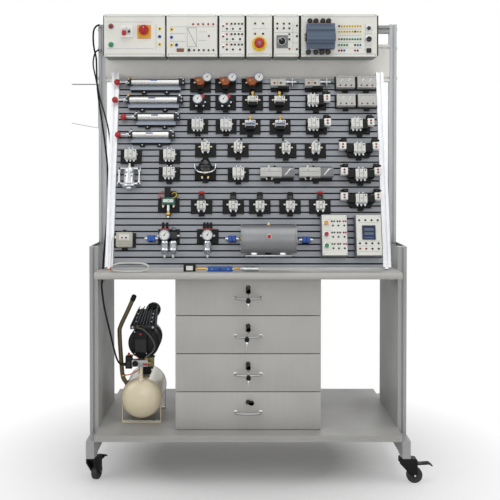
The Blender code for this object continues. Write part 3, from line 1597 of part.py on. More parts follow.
def stand_on_origin():
    """Moves the whole bench so that the bottom centre of its bounding box is the origin."""
    bpy.context.view_layer.update()
    graph = bpy.context.evaluated_depsgraph_get()
    lows = []
    highs = []
    for item in bpy.data.objects:
        if item.hide_render:
            continue
        solid = item.evaluated_get(graph)
        corners = [item.matrix_world @ vertex.co for vertex in solid.to_mesh().vertices]
        lows.append([min(corner[axis] for corner in corners) for axis in range(3)])
        highs.append([max(corner[axis] for corner in corners) for axis in range(3)])
        solid.to_mesh_clear()
    low = Vector([min(values) for values in zip(*lows)])
    high = Vector([max(values) for values in zip(*highs)])
    shift = Vector(((low.x + high.x) / 2, (low.y + high.y) / 2, low.z))
    for item in bpy.data.objects:
        item.location = item.location - shift


def main():
    clear_scene()
    make_side_frame("left_side_frame", -1)
    make_side_frame("right_side_frame", 1)
    make_upright("left_upright", -1)
    make_upright("right_upright", 1)
    make_rails()
    make_slotted_panel()
    make_table_top()
    make_shelf()
    make_lead_rack()
    make_cabinet()
    for row in range(drawer_count):
        make_drawer(row)
        make_lock(row)
    make_casters()
    make_component_rows()
    make_panel_buttons()
    make_mushrooms()
    make_cylinders()
    make_rack()
    make_rack_controls()
    make_tank()
    make_pump()
    make_tap()
    make_bench_fittings()
    make_cable("power_cable", power_cable_route, power_cable_radius, 3, "rubber_black")
    make_cable("rack_cable", rack_cable_route, rack_cable_radius, 4, "rubber_black")
    make_sensor_cable()
    stand_on_origin()


main()
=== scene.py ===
"""Dresses the pneumatic training workbench: every piece, its finish, the stage and the camera."""

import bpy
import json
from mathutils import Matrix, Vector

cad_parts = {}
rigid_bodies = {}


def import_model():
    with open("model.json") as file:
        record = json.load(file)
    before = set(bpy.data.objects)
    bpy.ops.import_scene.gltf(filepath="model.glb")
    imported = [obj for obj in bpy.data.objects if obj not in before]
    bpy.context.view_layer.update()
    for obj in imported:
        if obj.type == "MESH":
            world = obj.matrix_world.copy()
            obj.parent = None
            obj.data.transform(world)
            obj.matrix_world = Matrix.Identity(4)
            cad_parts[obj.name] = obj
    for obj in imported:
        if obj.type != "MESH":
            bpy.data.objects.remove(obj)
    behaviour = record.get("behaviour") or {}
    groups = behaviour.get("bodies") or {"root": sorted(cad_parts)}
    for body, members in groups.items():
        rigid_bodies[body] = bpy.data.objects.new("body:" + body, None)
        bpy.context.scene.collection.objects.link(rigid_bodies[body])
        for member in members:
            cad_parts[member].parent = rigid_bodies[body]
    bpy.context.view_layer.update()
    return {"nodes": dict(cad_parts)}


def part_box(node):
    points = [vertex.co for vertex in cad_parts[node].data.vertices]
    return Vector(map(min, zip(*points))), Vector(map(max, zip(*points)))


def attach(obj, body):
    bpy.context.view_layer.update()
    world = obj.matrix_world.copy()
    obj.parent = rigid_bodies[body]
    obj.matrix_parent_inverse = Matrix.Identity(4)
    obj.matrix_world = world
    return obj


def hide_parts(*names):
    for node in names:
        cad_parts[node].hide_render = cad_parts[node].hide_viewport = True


bl_info = {
    "name": "Pneumatic training workbench",
    "version": (1, 0, 0),
    "blender": (4, 5, 0),
    "location": "View3D > Sidebar > Workbench",
    "description": "Models the workbench's pieces and finishes over its solid frame",
    "category": "Object",
}

import json
import math

import bmesh
import bpy
from mathutils import Matrix, Vector

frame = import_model()

# The bench's own plain coordinates: x from its middle, y back from the table's front, z up.
TABLE_HEIGHT = 0.800
TABLE_LOW, TABLE_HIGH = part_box("table_top")
SHIFT = Vector(((TABLE_LOW.x + TABLE_HIGH.x) / 2, TABLE_LOW.y, TABLE_HIGH.z - TABLE_HEIGHT))
ON_BENCH = Matrix.Translation(SHIFT)

# The slotted panel leans back: x to the right, y into it, z up its slope.
PANEL_FOOT_DEPTH = 0.085
PANEL_LEAN = math.radians(13.4)
PANEL_FOOT = Vector((0.0, PANEL_FOOT_DEPTH, TABLE_HEIGHT))
ON_PANEL = ON_BENCH @ Matrix.Translation(PANEL_FOOT) @ Matrix.Rotation(-PANEL_LEAN, 4, "X")
PANEL_WIDTH = 1.032
POST_START = 0.011969
POST_LENGTH = 0.7855
PLATE_BACK = 0.0047
BODY_BACK = -0.0043
UNIT = 0.083

SMALL_EDGE = 0.0006
HEX_SIDES = 6
SCREW_SIDES = 10
SMALL_SIDES = 12
ROUND_SIDES = 24
LARGE_SIDES = 32
SMOOTH_ANGLE = math.radians(35)
MERGE_DISTANCE = 0.000002
MM = 0.001
FACING = 0.9
WIDEST_BEVEL = 0.45
BALL_CUT = 0.12

LEFT = Vector((-1, 0, 0))
RIGHT = Vector((1, 0, 0))
FORWARD = Vector((0, -1, 0))
BACK = Vector((0, 1, 0))
UP = Vector((0, 0, 1))
DOWN = Vector((0, 0, -1))

WHITE = (1, 1, 1, 1)
FINISHES = {}


def rows(*lengths):
    """Rows of (along, radius) in metres, from a plain list of millimetres."""
    return [(along * MM, radius * MM) for along, radius in zip(lengths[::2], lengths[1::2])]


def at_depth(depth, *places):
    """Points of an outline whose corners (x, z) all lie at one depth."""
    return [(x, depth, z) for x, z in places]


def panel_x(share):
    """A place across the slotted panel, from its middle."""
    return share * PANEL_WIDTH


def panel_v(share):
    """A height up the slotted panel's slope."""
    return POST_START + share * POST_LENGTH


def linear(red, green, blue):
    """A screen colour from 0 to 255 as the shader's linear colour."""
    values = []
    for channel in (red, green, blue):
        level = channel / 255
        low = level / 12.92
        high = ((level + 0.055) / 1.055) ** 2.4
        values.append(low if level <= 0.04045 else high)
    return (*values, 1.0)


def leave_edit_mode():
    """Goes back to object mode with nothing selected."""
    if bpy.context.mode != "OBJECT":
        bpy.ops.object.mode_set(mode="OBJECT")
    bpy.ops.object.select_all(action="DESELECT")


def pick(piece):
    """Makes this the only selected object and the active one."""
    leave_edit_mode()
    piece.select_set(True)
    bpy.context.view_layer.objects.active = piece


class Shape:
    """One object being modelled in edit mode, part by part, in plain coordinates."""

    def __init__(self, name):
        leave_edit_mode()
        bpy.ops.mesh.primitive_cube_add(size=SMALL_EDGE)
        self.piece = bpy.context.object
        self.piece.name = name
        self.piece.data.name = name
        bpy.ops.object.mode_set(mode="EDIT")
        bpy.context.tool_settings.mesh_select_mode = (False, False, True)
        bpy.ops.mesh.select_all(action="SELECT")
        bpy.ops.mesh.delete(type="VERT")
        self.finishes = []
        self.tubes = []

    def paint(self, finish):
        """Gives the selected faces a finish."""
        if finish not in self.finishes:
            self.finishes.append(finish)
            self.piece.data.materials.append(FINISHES[finish])
        self.piece.active_material_index = self.finishes.index(finish)
        bpy.ops.object.material_slot_assign()

    def keep(self, test):
        """Leaves only those of the selected faces selected that the test takes."""
        mesh = bmesh.from_edit_mesh(self.piece.data)
        chosen = [face for face in mesh.faces if face.select and test(face)]
        for face in mesh.faces:
            face.select_set(False)
        for face in chosen:
            face.select_set(True)
        bmesh.update_edit_mesh(self.piece.data, destructive=False)

    def block(self, low, high, finish, rounding=SMALL_EDGE, steps=1):
        """A block between two corners, its edges rounded."""
        size = [abs(b - a) for a, b in zip(low, high)]
        middle = [(a + b) / 2 for a, b in zip(low, high)]
        bpy.ops.mesh.primitive_cube_add(size=1.0, location=middle, scale=size)
        self.paint(finish)
        if rounding:
            widest = WIDEST_BEVEL * min(size)
            bpy.ops.mesh.bevel(offset=min(rounding, widest), segments=steps, affect="EDGES")

    def recessed(self, low, high, finish, direction, border, depth, inner=None):
        """A block with one face inset and pushed in, or out where depth is below zero."""
        self.block(low, high, finish, rounding=0)
        self.keep(lambda face: face.normal.dot(direction) > FACING)
        bpy.ops.mesh.inset(thickness=border, depth=0)
        move = -direction * depth
        bpy.ops.mesh.extrude_region_move(TRANSFORM_OT_translate={"value": move})
        if inner:
            self.paint(inner)

    def tapered(self, low, high, finish, direction, share, rounding=0):
        """A block whose face on one side is smaller."""
        self.block(low, high, finish, rounding=0)
        middle = Vector([(a + b) / 2 for a, b in zip(low, high)])
        self.keep(lambda face: face.normal.dot(direction) > FACING)
        scale = [1 if abs(part) > 0.5 else share for part in direction]
        bpy.ops.transform.resize(value=scale, center_override=middle)
        if rounding:
            bpy.ops.mesh.select_linked()
            bpy.ops.mesh.bevel(offset=rounding, segments=1, affect="EDGES")

    def turned(self, profile, finish, centre, direction, sides=ROUND_SIDES):
        """A round part: rows of (along, radius) from one closed end to the other."""
        centre = Vector(centre)
        turn = direction.to_track_quat("Z", "Y").to_euler()
        last_along, last_radius = profile[0]
        start = centre + direction * last_along
        bpy.ops.mesh.primitive_circle_add(
            vertices=sides, radius=last_radius, fill_type="NGON", location=start, rotation=turn
        )
        self.paint(finish)
        for along, radius in profile[1:]:
            move = direction * (along - last_along)
            bpy.ops.mesh.extrude_region_move(TRANSFORM_OT_translate={"value": move})
            if abs(radius - last_radius) > MERGE_DISTANCE:
                share = radius / last_radius
                middle = centre + direction * along
                bpy.ops.transform.resize(value=(share, share, share), center_override=middle)
            last_along, last_radius = along, radius
            self.paint(finish)

    def rod(self, start, end, radius, finish, sides=ROUND_SIDES, edge=0.08):
        """A plain round bar with its end edges eased."""
        start, end = Vector(start), Vector(end)
        way = (end - start).normalized()
        length = (end - start).length
        ease = min(edge * radius, length / 4)
        profile = [(0, radius - ease), (ease, radius), (length - ease, radius), (length, radius - ease)]
        self.turned(profile, finish, start, way, sides)

    def ball(self, centre, radius, finish, sides=ROUND_SIDES, flat=1.0):
        """A ball turned ring by ring, lower along z where flat is below one."""
        rings = sides // 2
        profile = []
        for step in range(rings + 1):
            angle = math.pi * (step + BALL_CUT) / (rings + 2 * BALL_CUT)
            profile.append((-math.cos(angle) * radius * flat, math.sin(angle) * radius))
        self.turned(profile, finish, centre, UP, sides)

    def outline(self, points, move, finish, rounding=0):
        """A flat outline of points, pushed along a move into a solid."""
        middle = Vector()
        for point in points:
            middle += Vector(point) / len(points)
        bpy.ops.mesh.primitive_circle_add(
            vertices=len(points), radius=UNIT, fill_type="NGON", location=middle
        )
        mesh = bmesh.from_edit_mesh(self.piece.data)
        corners = [vertex for vertex in mesh.verts if vertex.select]
        for corner, point in zip(corners, points):
            corner.co = Vector(point)
        mesh.normal_update()
        bmesh.update_edit_mesh(self.piece.data)
        self.paint(finish)
        bpy.ops.mesh.extrude_region_move(TRANSFORM_OT_translate={"value": Vector(move)})
        self.paint(finish)
        if rounding:
            bpy.ops.mesh.select_linked()
            bpy.ops.mesh.bevel(offset=rounding, segments=2, affect="EDGES")

    def tube(self, points, radius, finish, smooth=True, sides=2, steps=5):
        """A bent tube through points, made when the piece is finished."""
        self.tubes.append((points, radius, finish, smooth, sides, steps))

    def done(self, place=None):
        """Closes the modelling, joins the tubes on, turns all faces outwards and places it."""
        bpy.ops.mesh.select_all(action="SELECT")
        bpy.ops.mesh.normals_make_consistent(inside=False)
        leave_edit_mode()
        parts = [bent_tube(*tube) for tube in self.tubes]
        piece = joined(self.piece.name, [self.piece, *parts])
        if place is not None:
            piece.data.transform(place)
        return piece


def bent_tube(points, radius, finish, smooth, sides, steps):
    """A tube along points: a curve given its thickness and then made a mesh."""
    leave_edit_mode()
    bpy.ops.curve.primitive_bezier_curve_add()
    piece = bpy.context.object
    curve = piece.data
    spline = curve.splines[0]
    spline.bezier_points.add(len(points) - len(spline.bezier_points))
    kind = "AUTO" if smooth else "VECTOR"
    for knot, point in zip(spline.bezier_points, points):
        knot.co = Vector(point)
        knot.handle_left_type = kind
        knot.handle_right_type = kind
    curve.dimensions = "3D"
    curve.resolution_u = steps
    curve.bevel_depth = radius
    curve.bevel_resolution = sides
    curve.use_fill_caps = True
    curve.materials.append(FINISHES[finish])
    bpy.ops.object.convert(target="MESH")
    piece = bpy.context.object
    bpy.ops.object.mode_set(mode="EDIT")
    bpy.ops.mesh.select_all(action="SELECT")
    bpy.ops.mesh.remove_doubles(threshold=MERGE_DISTANCE)
    bpy.ops.mesh.normals_make_consistent(inside=False)
    leave_edit_mode()
    return piece


def joined(name, parts):
    """One object made of several."""
    pick(parts[0])
    for part in parts[1:]:
        part.select_set(True)
    if len(parts) > 1:
        bpy.ops.object.join()
    piece = bpy.context.object
    piece.name = name
    piece.data.name = name
    return piece


def stamped(source, place):
    """A copy of a modelled object with its own mesh, put in place."""
    twin = source.copy()
    twin.data = source.data.copy()
    bpy.context.scene.collection.objects.link(twin)
    twin.data.transform(place)
    return twin


def discard(*pieces):
    """Removes the models that copies were taken from."""
    for piece in pieces:
        bpy.data.objects.remove(piece)


def hand_over(piece, body, nodes, slot_name):
    """Smooths a finished piece and lets it ride on its body in the CAD nodes' stead."""
    pick(piece)
    bpy.ops.object.shade_smooth_by_angle(angle=SMOOTH_ANGLE)
    leave_edit_mode()
    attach(piece, body)
    if nodes:
        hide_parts(*nodes)
    return piece


# Each finish: its colour, the second tone in it, how rough, how much the roughness
# wanders, how metallic, how the pattern is stretched, how fine it is, how deep it is.
EVEN = (1, 1, 1)
ALONG_X = (0.03, 1, 1)
ALONG_Y = (1, 0.03, 1)
ALONG_Z = (1, 1, 0.03)
FINISH_TABLE = {
    "frame_paint": ((176, 177, 176), (163, 165, 165), 0.42, 0.10, 0, EVEN, 260, 0.05),
    "upright_steel": ((196, 198, 199), (176, 179, 181), 0.40, 0.12, 0.35, ALONG_Z, 300, 0.06),
    "sign_board": ((246, 244, 238), (238, 236, 230), 0.50, 0.08, 0, EVEN, 180, 0.04),
    "table_laminate": ((196, 194, 190), (184, 182, 178), 0.45, 0.12, 0, EVEN, 320, 0.05),
    "shelf_laminate": ((176, 175, 172), (166, 165, 162), 0.50, 0.12, 0, EVEN, 320, 0.05),
    "drawer_laminate": ((192, 190, 186), (184, 182, 178), 0.46, 0.10, 0, ALONG_Z, 260, 0.06),
    "drawer_board": ((160, 158, 154), (148, 146, 142), 0.60, 0.10, 0, ALONG_Y, 220, 0.06),
    "polished_steel": ((205, 206, 208), (182, 184, 187), 0.20, 0.10, 1, ALONG_X, 260, 0.04),
    "brushed_alloy": ((198, 200, 203), (172, 175, 179), 0.34, 0.12, 1, ALONG_X, 420, 0.10),
    "turned_alloy": ((206, 208, 210), (176, 179, 183), 0.28, 0.10, 1, ALONG_Z, 420, 0.08),
    # Darker than bare aluminium: a painted dark reflection on the reservoir's shell and bands.
    "alloy_painted_dark_reflection": ((146, 147, 149), (124, 126, 129), 0.46, 0.12, 0.6, ALONG_Z, 420, 0.10),
    "barrel_alloy": ((216, 216, 213), (190, 190, 188), 0.26, 0.10, 0.9, ALONG_X, 420, 0.06),
    "strip_alloy": ((150, 158, 170), (132, 140, 152), 0.42, 0.10, 0.6, ALONG_X, 420, 0.08),
    "cast_alloy": ((168, 170, 172), (142, 145, 148), 0.48, 0.12, 0.85, EVEN, 500, 0.25),
    "brass": ((201, 168, 92), (170, 134, 62), 0.30, 0.12, 1, EVEN, 380, 0.08),
    "copper": ((190, 122, 84), (152, 92, 62), 0.32, 0.12, 1, EVEN, 300, 0.08),
    "chrome": ((222, 223, 226), (196, 198, 202), 0.12, 0.06, 1, EVEN, 300, 0.03),
    "module_face": ((240, 240, 232), (231, 231, 223), 0.45, 0.08, 0, EVEN, 260, 0.04),
    "module_side": ((128, 132, 136), (112, 116, 121), 0.48, 0.10, 0.2, EVEN, 260, 0.06),
    "module_line": ((150, 153, 156), (132, 135, 139), 0.60, 0.08, 0, EVEN, 200, 0.04),
    "black_moulding": ((17, 17, 19), (25, 25, 27), 0.48, 0.14, 0, EVEN, 620, 0.12),
    "black_gloss": ((17, 17, 19), (27, 27, 30), 0.24, 0.10, 0, EVEN, 300, 0.05),
    "black_rubber": ((30, 30, 31), (43, 42, 42), 0.72, 0.12, 0, EVEN, 520, 0.25),
    "black_iron": ((42, 43, 45), (30, 31, 33), 0.55, 0.14, 0.3, EVEN, 420, 0.35),
    "plate_black": ((16, 16, 18), (23, 23, 25), 0.50, 0.12, 0, EVEN, 480, 0.12),
    "grey_moulding": ((128, 130, 132), (112, 114, 117), 0.50, 0.12, 0, EVEN, 520, 0.12),
    # Painted shade: the dark tone of the panel's grooves and of the clip bars in them.
    "painted_slot_shade": ((44, 46, 50), (34, 36, 40), 0.70, 0.10, 0, ALONG_X, 300, 0.06),
    "dark_grey": ((58, 60, 64), (46, 48, 52), 0.48, 0.14, 0.15, EVEN, 480, 0.15),
    "pale_moulding": ((232, 232, 228), (219, 219, 215), 0.44, 0.10, 0, EVEN, 420, 0.06),
    "box_grey": ((204, 204, 200), (190, 190, 187), 0.46, 0.10, 0, EVEN, 420, 0.06),
    "white_moulding": ((246, 245, 240), (236, 235, 230), 0.42, 0.10, 0, EVEN, 420, 0.06),
    "white_cable": ((226, 225, 219), (207, 206, 201), 0.50, 0.12, 0, EVEN, 520, 0.10),
    "black_cable": ((24, 24, 26), (37, 37, 39), 0.52, 0.14, 0, EVEN, 520, 0.15),
    "blue_moulding": ((40, 92, 178), (30, 74, 152), 0.38, 0.10, 0, EVEN, 380, 0.06),
    "blue_label": ((52, 104, 176), (42, 88, 156), 0.50, 0.08, 0, EVEN, 300, 0.03),
    "navy_glass": ((22, 30, 62), (31, 41, 80), 0.16, 0.08, 0, EVEN, 120, 0.02),
    "red_moulding": ((186, 34, 32), (158, 26, 26), 0.38, 0.10, 0, EVEN, 380, 0.06),
    "dark_red": ((138, 24, 26), (108, 18, 20), 0.28, 0.10, 0, EVEN, 300, 0.04),
    "yellow_moulding": ((244, 212, 40), (230, 192, 30), 0.40, 0.10, 0, EVEN, 380, 0.06),
    "amber_lens": ((236, 168, 28), (216, 138, 18), 0.22, 0.08, 0, EVEN, 260, 0.04),
    "green_moulding": ((40, 142, 84), (30, 116, 66), 0.36, 0.10, 0, EVEN, 380, 0.06),
    "orange_moulding": ((158, 82, 34), (128, 62, 28), 0.42, 0.12, 0, EVEN, 420, 0.10),
    "teal_moulding": ((38, 104, 96), (28, 84, 78), 0.42, 0.12, 0, EVEN, 380, 0.08),
    "slate_moulding": ((92, 108, 128), (76, 92, 112), 0.46, 0.10, 0, EVEN, 420, 0.08),
    "slate_band": ((62, 74, 92), (50, 62, 80), 0.50, 0.10, 0, EVEN, 420, 0.08),
    "olive_metal": ((128, 122, 92), (108, 102, 74), 0.42, 0.12, 0.5, EVEN, 320, 0.08),
    "handle_paint": ((110, 96, 68), (92, 80, 54), 0.40, 0.12, 0.3, EVEN, 300, 0.06),
    "tank_enamel": ((244, 231, 200), (240, 226, 193), 0.20, 0.06, 0, EVEN, 60, 0.02),
    "dial_white": ((238, 238, 234), (226, 226, 222), 0.40, 0.06, 0, EVEN, 260, 0.02),
    "sensor_cream": ((196, 194, 178), (182, 180, 164), 0.42, 0.10, 0, EVEN, 320, 0.05),
    "fin_alloy": ((96, 98, 100), (66, 68, 70), 0.50, 0.12, 0.3, EVEN, 300, 0.20),
    "braid_grey": ((92, 92, 90), (58, 58, 57), 0.45, 0.12, 0.3, EVEN, 700, 0.30),
    "gauge_rim": ((126, 140, 162), (100, 114, 136), 0.32, 0.08, 0.6, EVEN, 300, 0.04),
    "pull_alloy": ((176, 177, 177), (150, 151, 152), 0.34, 0.10, 0.8, ALONG_X, 260, 0.04),
    "tyre_grey": ((54, 54, 55), (40, 40, 41), 0.66, 0.14, 0, EVEN, 520, 0.22),
}
DULL_FINISHES = (
    "plate_black", "black_moulding", "black_rubber", "black_iron", "painted_slot_shade", "black_cable", "dark_grey"
)
DULL_SPECULAR = 0.2
FINE_SHARE = 3.7
BUMP_DEPTH = 0.0004
WEAR_SCALE = 7.0
WEAR_LOW = 0.42
WEAR_HIGH = 0.72
WEAR_STRENGTH = 0.5
WORN_SHARE = 0.88
LEAST_ROUGH = 0.04
GRAIN_DETAIL = 6
WEAR_DETAIL = 4
FINE_DETAIL = 3
POST_EDGE = 0.516
POST_GRAIN = 60
POST_DETAIL = 5
SLAT_TONE = (148, 151, 156)
SLAT_DARK = (130, 133, 139)
POST_TONE = (244, 245, 247)
POST_DARK = (234, 236, 239)
BOWL_TRANSMISSION = 0.85
BOWL_IOR = 1.45


def noise_node(nodes, links, source, scale, detail):
    """A noise over the object's own coordinates."""
    noise = nodes.new("ShaderNodeTexNoise")
    noise.inputs["Scale"].default_value = scale
    noise.inputs["Detail"].default_value = detail
    links.new(source, noise.inputs["Vector"])
    return noise


def math_node(nodes, links, operation, first, second=None):
    """The result of an operation on one or two values; a plain number stays on its socket."""
    node = nodes.new("ShaderNodeMath")
    node.operation = operation
    links.new(first, node.inputs[0])
    if isinstance(second, float):
        node.inputs[1].default_value = second
    elif second is not None:
        links.new(second, node.inputs[1])
    return node.outputs["Value"]


def two_tone(nodes, links, factor, first, second, low=0.3, high=0.7):
    """A ramp from one tone to the other over a noise."""
    ramp = nodes.new("ShaderNodeValToRGB")
    ramp.color_ramp.elements[0].position = low
    ramp.color_ramp.elements[0].color = first
    ramp.color_ramp.elements[1].position = high
    ramp.color_ramp.elements[1].color = second
    links.new(factor, ramp.inputs["Fac"])
    return ramp


def shader_of(material):
    """The main shader of a finish."""
    return material.node_tree.nodes["Principled BSDF"]


def make_finish(name, tones, wander, metallic, stretch, scale, bump):
    """A material whose tone, roughness and relief come from noises over the piece."""
    first, second, rough = tones
    material = bpy.data.materials.new(name)
    material.use_nodes = True
    nodes, links = material.node_tree.nodes, material.node_tree.links
    shader = shader_of(material)
    shader.inputs["Metallic"].default_value = metallic
    place = nodes.new("ShaderNodeTexCoord").outputs["Object"]
    mapping = nodes.new("ShaderNodeMapping")
    mapping.inputs["Scale"].default_value = stretch
    links.new(place, mapping.inputs["Vector"])
    grain = noise_node(nodes, links, mapping.outputs["Vector"], scale, GRAIN_DETAIL)
    broad = noise_node(nodes, links, place, WEAR_SCALE, WEAR_DETAIL)
    tone = two_tone(nodes, links, grain.outputs["Fac"], first, second)
    darker = [channel * WORN_SHARE for channel in first[:3]]
    worn = two_tone(nodes, links, broad.outputs["Fac"], first, (*darker, 1.0), WEAR_LOW, WEAR_HIGH)
    mix = nodes.new("ShaderNodeMix")
    mix.data_type = "RGBA"
    mix.inputs["Factor"].default_value = WEAR_STRENGTH
    links.new(tone.outputs["Color"], mix.inputs["A"])
    links.new(worn.outputs["Color"], mix.inputs["B"])
    links.new(mix.outputs["Result"], shader.inputs["Base Color"])
    level = nodes.new("ShaderNodeMapRange")
    level.inputs["To Min"].default_value = max(LEAST_ROUGH, rough - wander)
    level.inputs["To Max"].default_value = min(1.0, rough + wander)
    links.new(broad.outputs["Fac"], level.inputs["Value"])
    links.new(level.outputs["Result"], shader.inputs["Roughness"])
    fine = noise_node(nodes, links, mapping.outputs["Vector"], scale * FINE_SHARE, FINE_DETAIL)
    relief = nodes.new("ShaderNodeBump")
    relief.inputs["Strength"].default_value = bump
    relief.inputs["Distance"].default_value = BUMP_DEPTH
    links.new(fine.outputs["Fac"], relief.inputs["Height"])
    links.new(relief.outputs["Normal"], shader.inputs["Normal"])
    return material


def make_panel_finish(look):
    """The slotted panel: bright posts at its sides, blue-grey slats between them."""
    material = make_finish(
        "panel_alloy", (linear(*SLAT_TONE), linear(*SLAT_DARK), 0.42), 0.1, 0.55, ALONG_X, 420, 0.1
    )
    nodes, links = material.node_tree.nodes, material.node_tree.links
    shader = shader_of(material)
    old = shader.inputs["Base Color"].links[0].from_socket
    place = nodes.new("ShaderNodeTexCoord").outputs["Object"]
    split = nodes.new("ShaderNodeSeparateXYZ")
    links.new(place, split.inputs["Vector"])
    from_middle = math_node(nodes, links, "SUBTRACT", split.outputs["X"], SHIFT.x)
    distance = math_node(nodes, links, "ABSOLUTE", from_middle)
    edge = math_node(nodes, links, "GREATER_THAN", distance, POST_EDGE)
    grain = noise_node(nodes, links, place, POST_GRAIN, POST_DETAIL)
    bright = two_tone(nodes, links, grain.outputs["Fac"], look.post_colour, linear(*POST_DARK))
    mix = nodes.new("ShaderNodeMix")
    mix.data_type = "RGBA"
    links.new(edge, mix.inputs["Factor"])
    links.new(old, mix.inputs["A"])
    links.new(bright.outputs["Color"], mix.inputs["B"])
    links.new(mix.outputs["Result"], shader.inputs["Base Color"])
    return material


def make_clear():
    """The see-through bowl plastic, with faint smears in its roughness."""
    material = make_finish(
        "clear_bowl", (linear(225, 230, 232), linear(205, 214, 220), 0.1), 0.06, 0, EVEN, 120, 0.03
    )
    shader = shader_of(material)
    shader.inputs["Transmission Weight"].default_value = BOWL_TRANSMISSION
    shader.inputs["IOR"].default_value = BOWL_IOR
    return material


def make_all_finishes(look):
    """Makes every finish once; the settings' colours take the place of the table's."""
    chosen = {
        "frame_paint": look.frame_colour,
        "drawer_laminate": look.drawer_colour,
        "table_laminate": look.table_colour,
        "tank_enamel": look.tank_colour,
        "module_face": look.module_colour,
    }
    for name, row in FINISH_TABLE.items():
        tone, second, rough, wander, metallic, stretch, scale, bump = row
        first = tuple(chosen[name]) if name in chosen else linear(*tone)
        FINISHES[name] = make_finish(
            name, (first, linear(*second), rough), wander, metallic, stretch, scale, bump
        )
    FINISHES["panel_alloy"] = make_panel_finish(look)
    FINISHES["clear_bowl"] = make_clear()
    for name in DULL_FINISHES:
        shader_of(FINISHES[name]).inputs["Specular IOR Level"].default_value = DULL_SPECULAR
    shader_of(FINISHES["tank_enamel"]).inputs["Coat Weight"].default_value = look.tank_gloss


# Stage: camera, floor, background and lamps.
CAMERA_PLACE = Vector((-0.0347, -3.0, 1.179))
CAMERA_PITCH = math.radians(1.0)
CAMERA_LENS = 58.39
CAMERA_SHIFT = (0.022, -0.13)
CAMERA_SENSOR = 36.0
FLOOR_ROUGH = 0.8
FLOOR_GRAIN = 30
FLOOR_PALE = (0.97, 0.97, 0.97, 1)
FLOOR_DARK = (0.94, 0.94, 0.94, 1)
FLOOR_RADIUS = 9.0
FLOOR_THICKNESS = 0.02
FLOOR_SIDES = 96
FADE_START = 0.04
FADE_END = 0.13
# Each lamp: its name, where it hangs, what it points at, how wide it is and its watts.
LAMPS = [
    ("top_softbox", (0.3, -0.9, 3.4), (0.0, 0.25, 0.9), 2.6, 30.0),
    ("left_softbox", (-2.9, -2.3, 2.2), (0.0, 0.2, 0.9), 1.9, 20.0),
    ("right_softbox", (3.0, -1.7, 1.8), (0.0, 0.2, 0.8), 1.9, 13.0),
    ("front_fill", (0.1, -3.9, 1.1), (0.0, 0.2, 0.7), 1.8, 13.0),
    ("rear_softbox", (0.4, 3.6, 2.4), (0.0, 0.2, 1.0), 2.4, 16.0),
]


def make_world(strength):
    """White behind the object for the camera, soft grey light for everything else."""
    world = bpy.data.worlds.new("studio_light")
    bpy.context.scene.world = world
    world.use_nodes = True
    nodes, links = world.node_tree.nodes, world.node_tree.links
    soft = nodes["Background"]
    soft.inputs["Color"].default_value = WHITE
    soft.inputs["Strength"].default_value = strength
    white = nodes.new("ShaderNodeBackground")
    white.inputs["Color"].default_value = WHITE
    white.inputs["Strength"].default_value = 1.0
    path = nodes.new("ShaderNodeLightPath")
    rays = path.outputs
    seen = math_node(nodes, links, "MAXIMUM", rays["Is Camera Ray"], rays["Is Transmission Ray"])
    bright = math_node(nodes, links, "MAXIMUM", seen, rays["Is Glossy Ray"])
    mix = nodes.new("ShaderNodeMixShader")
    links.new(bright, mix.inputs["Fac"])
    links.new(soft.outputs["Background"], mix.inputs[1])
    links.new(white.outputs["Background"], mix.inputs[2])
    links.new(mix.outputs["Shader"], nodes["World Output"].inputs["Surface"])


def make_floor_finish():
    """A pale floor that keeps the shadow near the bench and fades to white far from it."""
    material = bpy.data.materials.new("studio_floor")
    material.use_nodes = True
    nodes, links = material.node_tree.nodes, material.node_tree.links
    shader = shader_of(material)
    shader.inputs["Roughness"].default_value = FLOOR_ROUGH
    place = nodes.new("ShaderNodeTexCoord").outputs["Object"]
    grain = noise_node(nodes, links, place, FLOOR_GRAIN, FINE_DETAIL)
    tone = two_tone(nodes, links, grain.outputs["Fac"], FLOOR_PALE, FLOOR_DARK)
    links.new(tone.outputs["Color"], shader.inputs["Base Color"])
    scaled = nodes.new("ShaderNodeMapping")
    scaled.inputs["Scale"].default_value = (1 / FLOOR_RADIUS,) * 3
    links.new(place, scaled.inputs["Vector"])
    away = nodes.new("ShaderNodeVectorMath")
    away.operation = "LENGTH"
    links.new(scaled.outputs["Vector"], away.inputs[0])
    fade = nodes.new("ShaderNodeMapRange")
    fade.inputs["From Min"].default_value = FADE_START
    fade.inputs["From Max"].default_value = FADE_END
    links.new(away.outputs["Value"], fade.inputs["Value"])
    white = nodes.new("ShaderNodeEmission")
    white.inputs["Color"].default_value = WHITE
    white.inputs["Strength"].default_value = 1.0
    mix = nodes.new("ShaderNodeMixShader")
    path = nodes.new("ShaderNodeLightPath")
    seen = math_node(nodes, links, "MULTIPLY", path.outputs["Is Camera Ray"], fade.outputs["Result"])
    links.new(seen, mix.inputs["Fac"])
    links.new(shader.outputs["BSDF"], mix.inputs[1])
    links.new(white.outputs["Emission"], mix.inputs[2])
    links.new(mix.outputs["Shader"], nodes["Material Output"].inputs["Surface"])
    return material


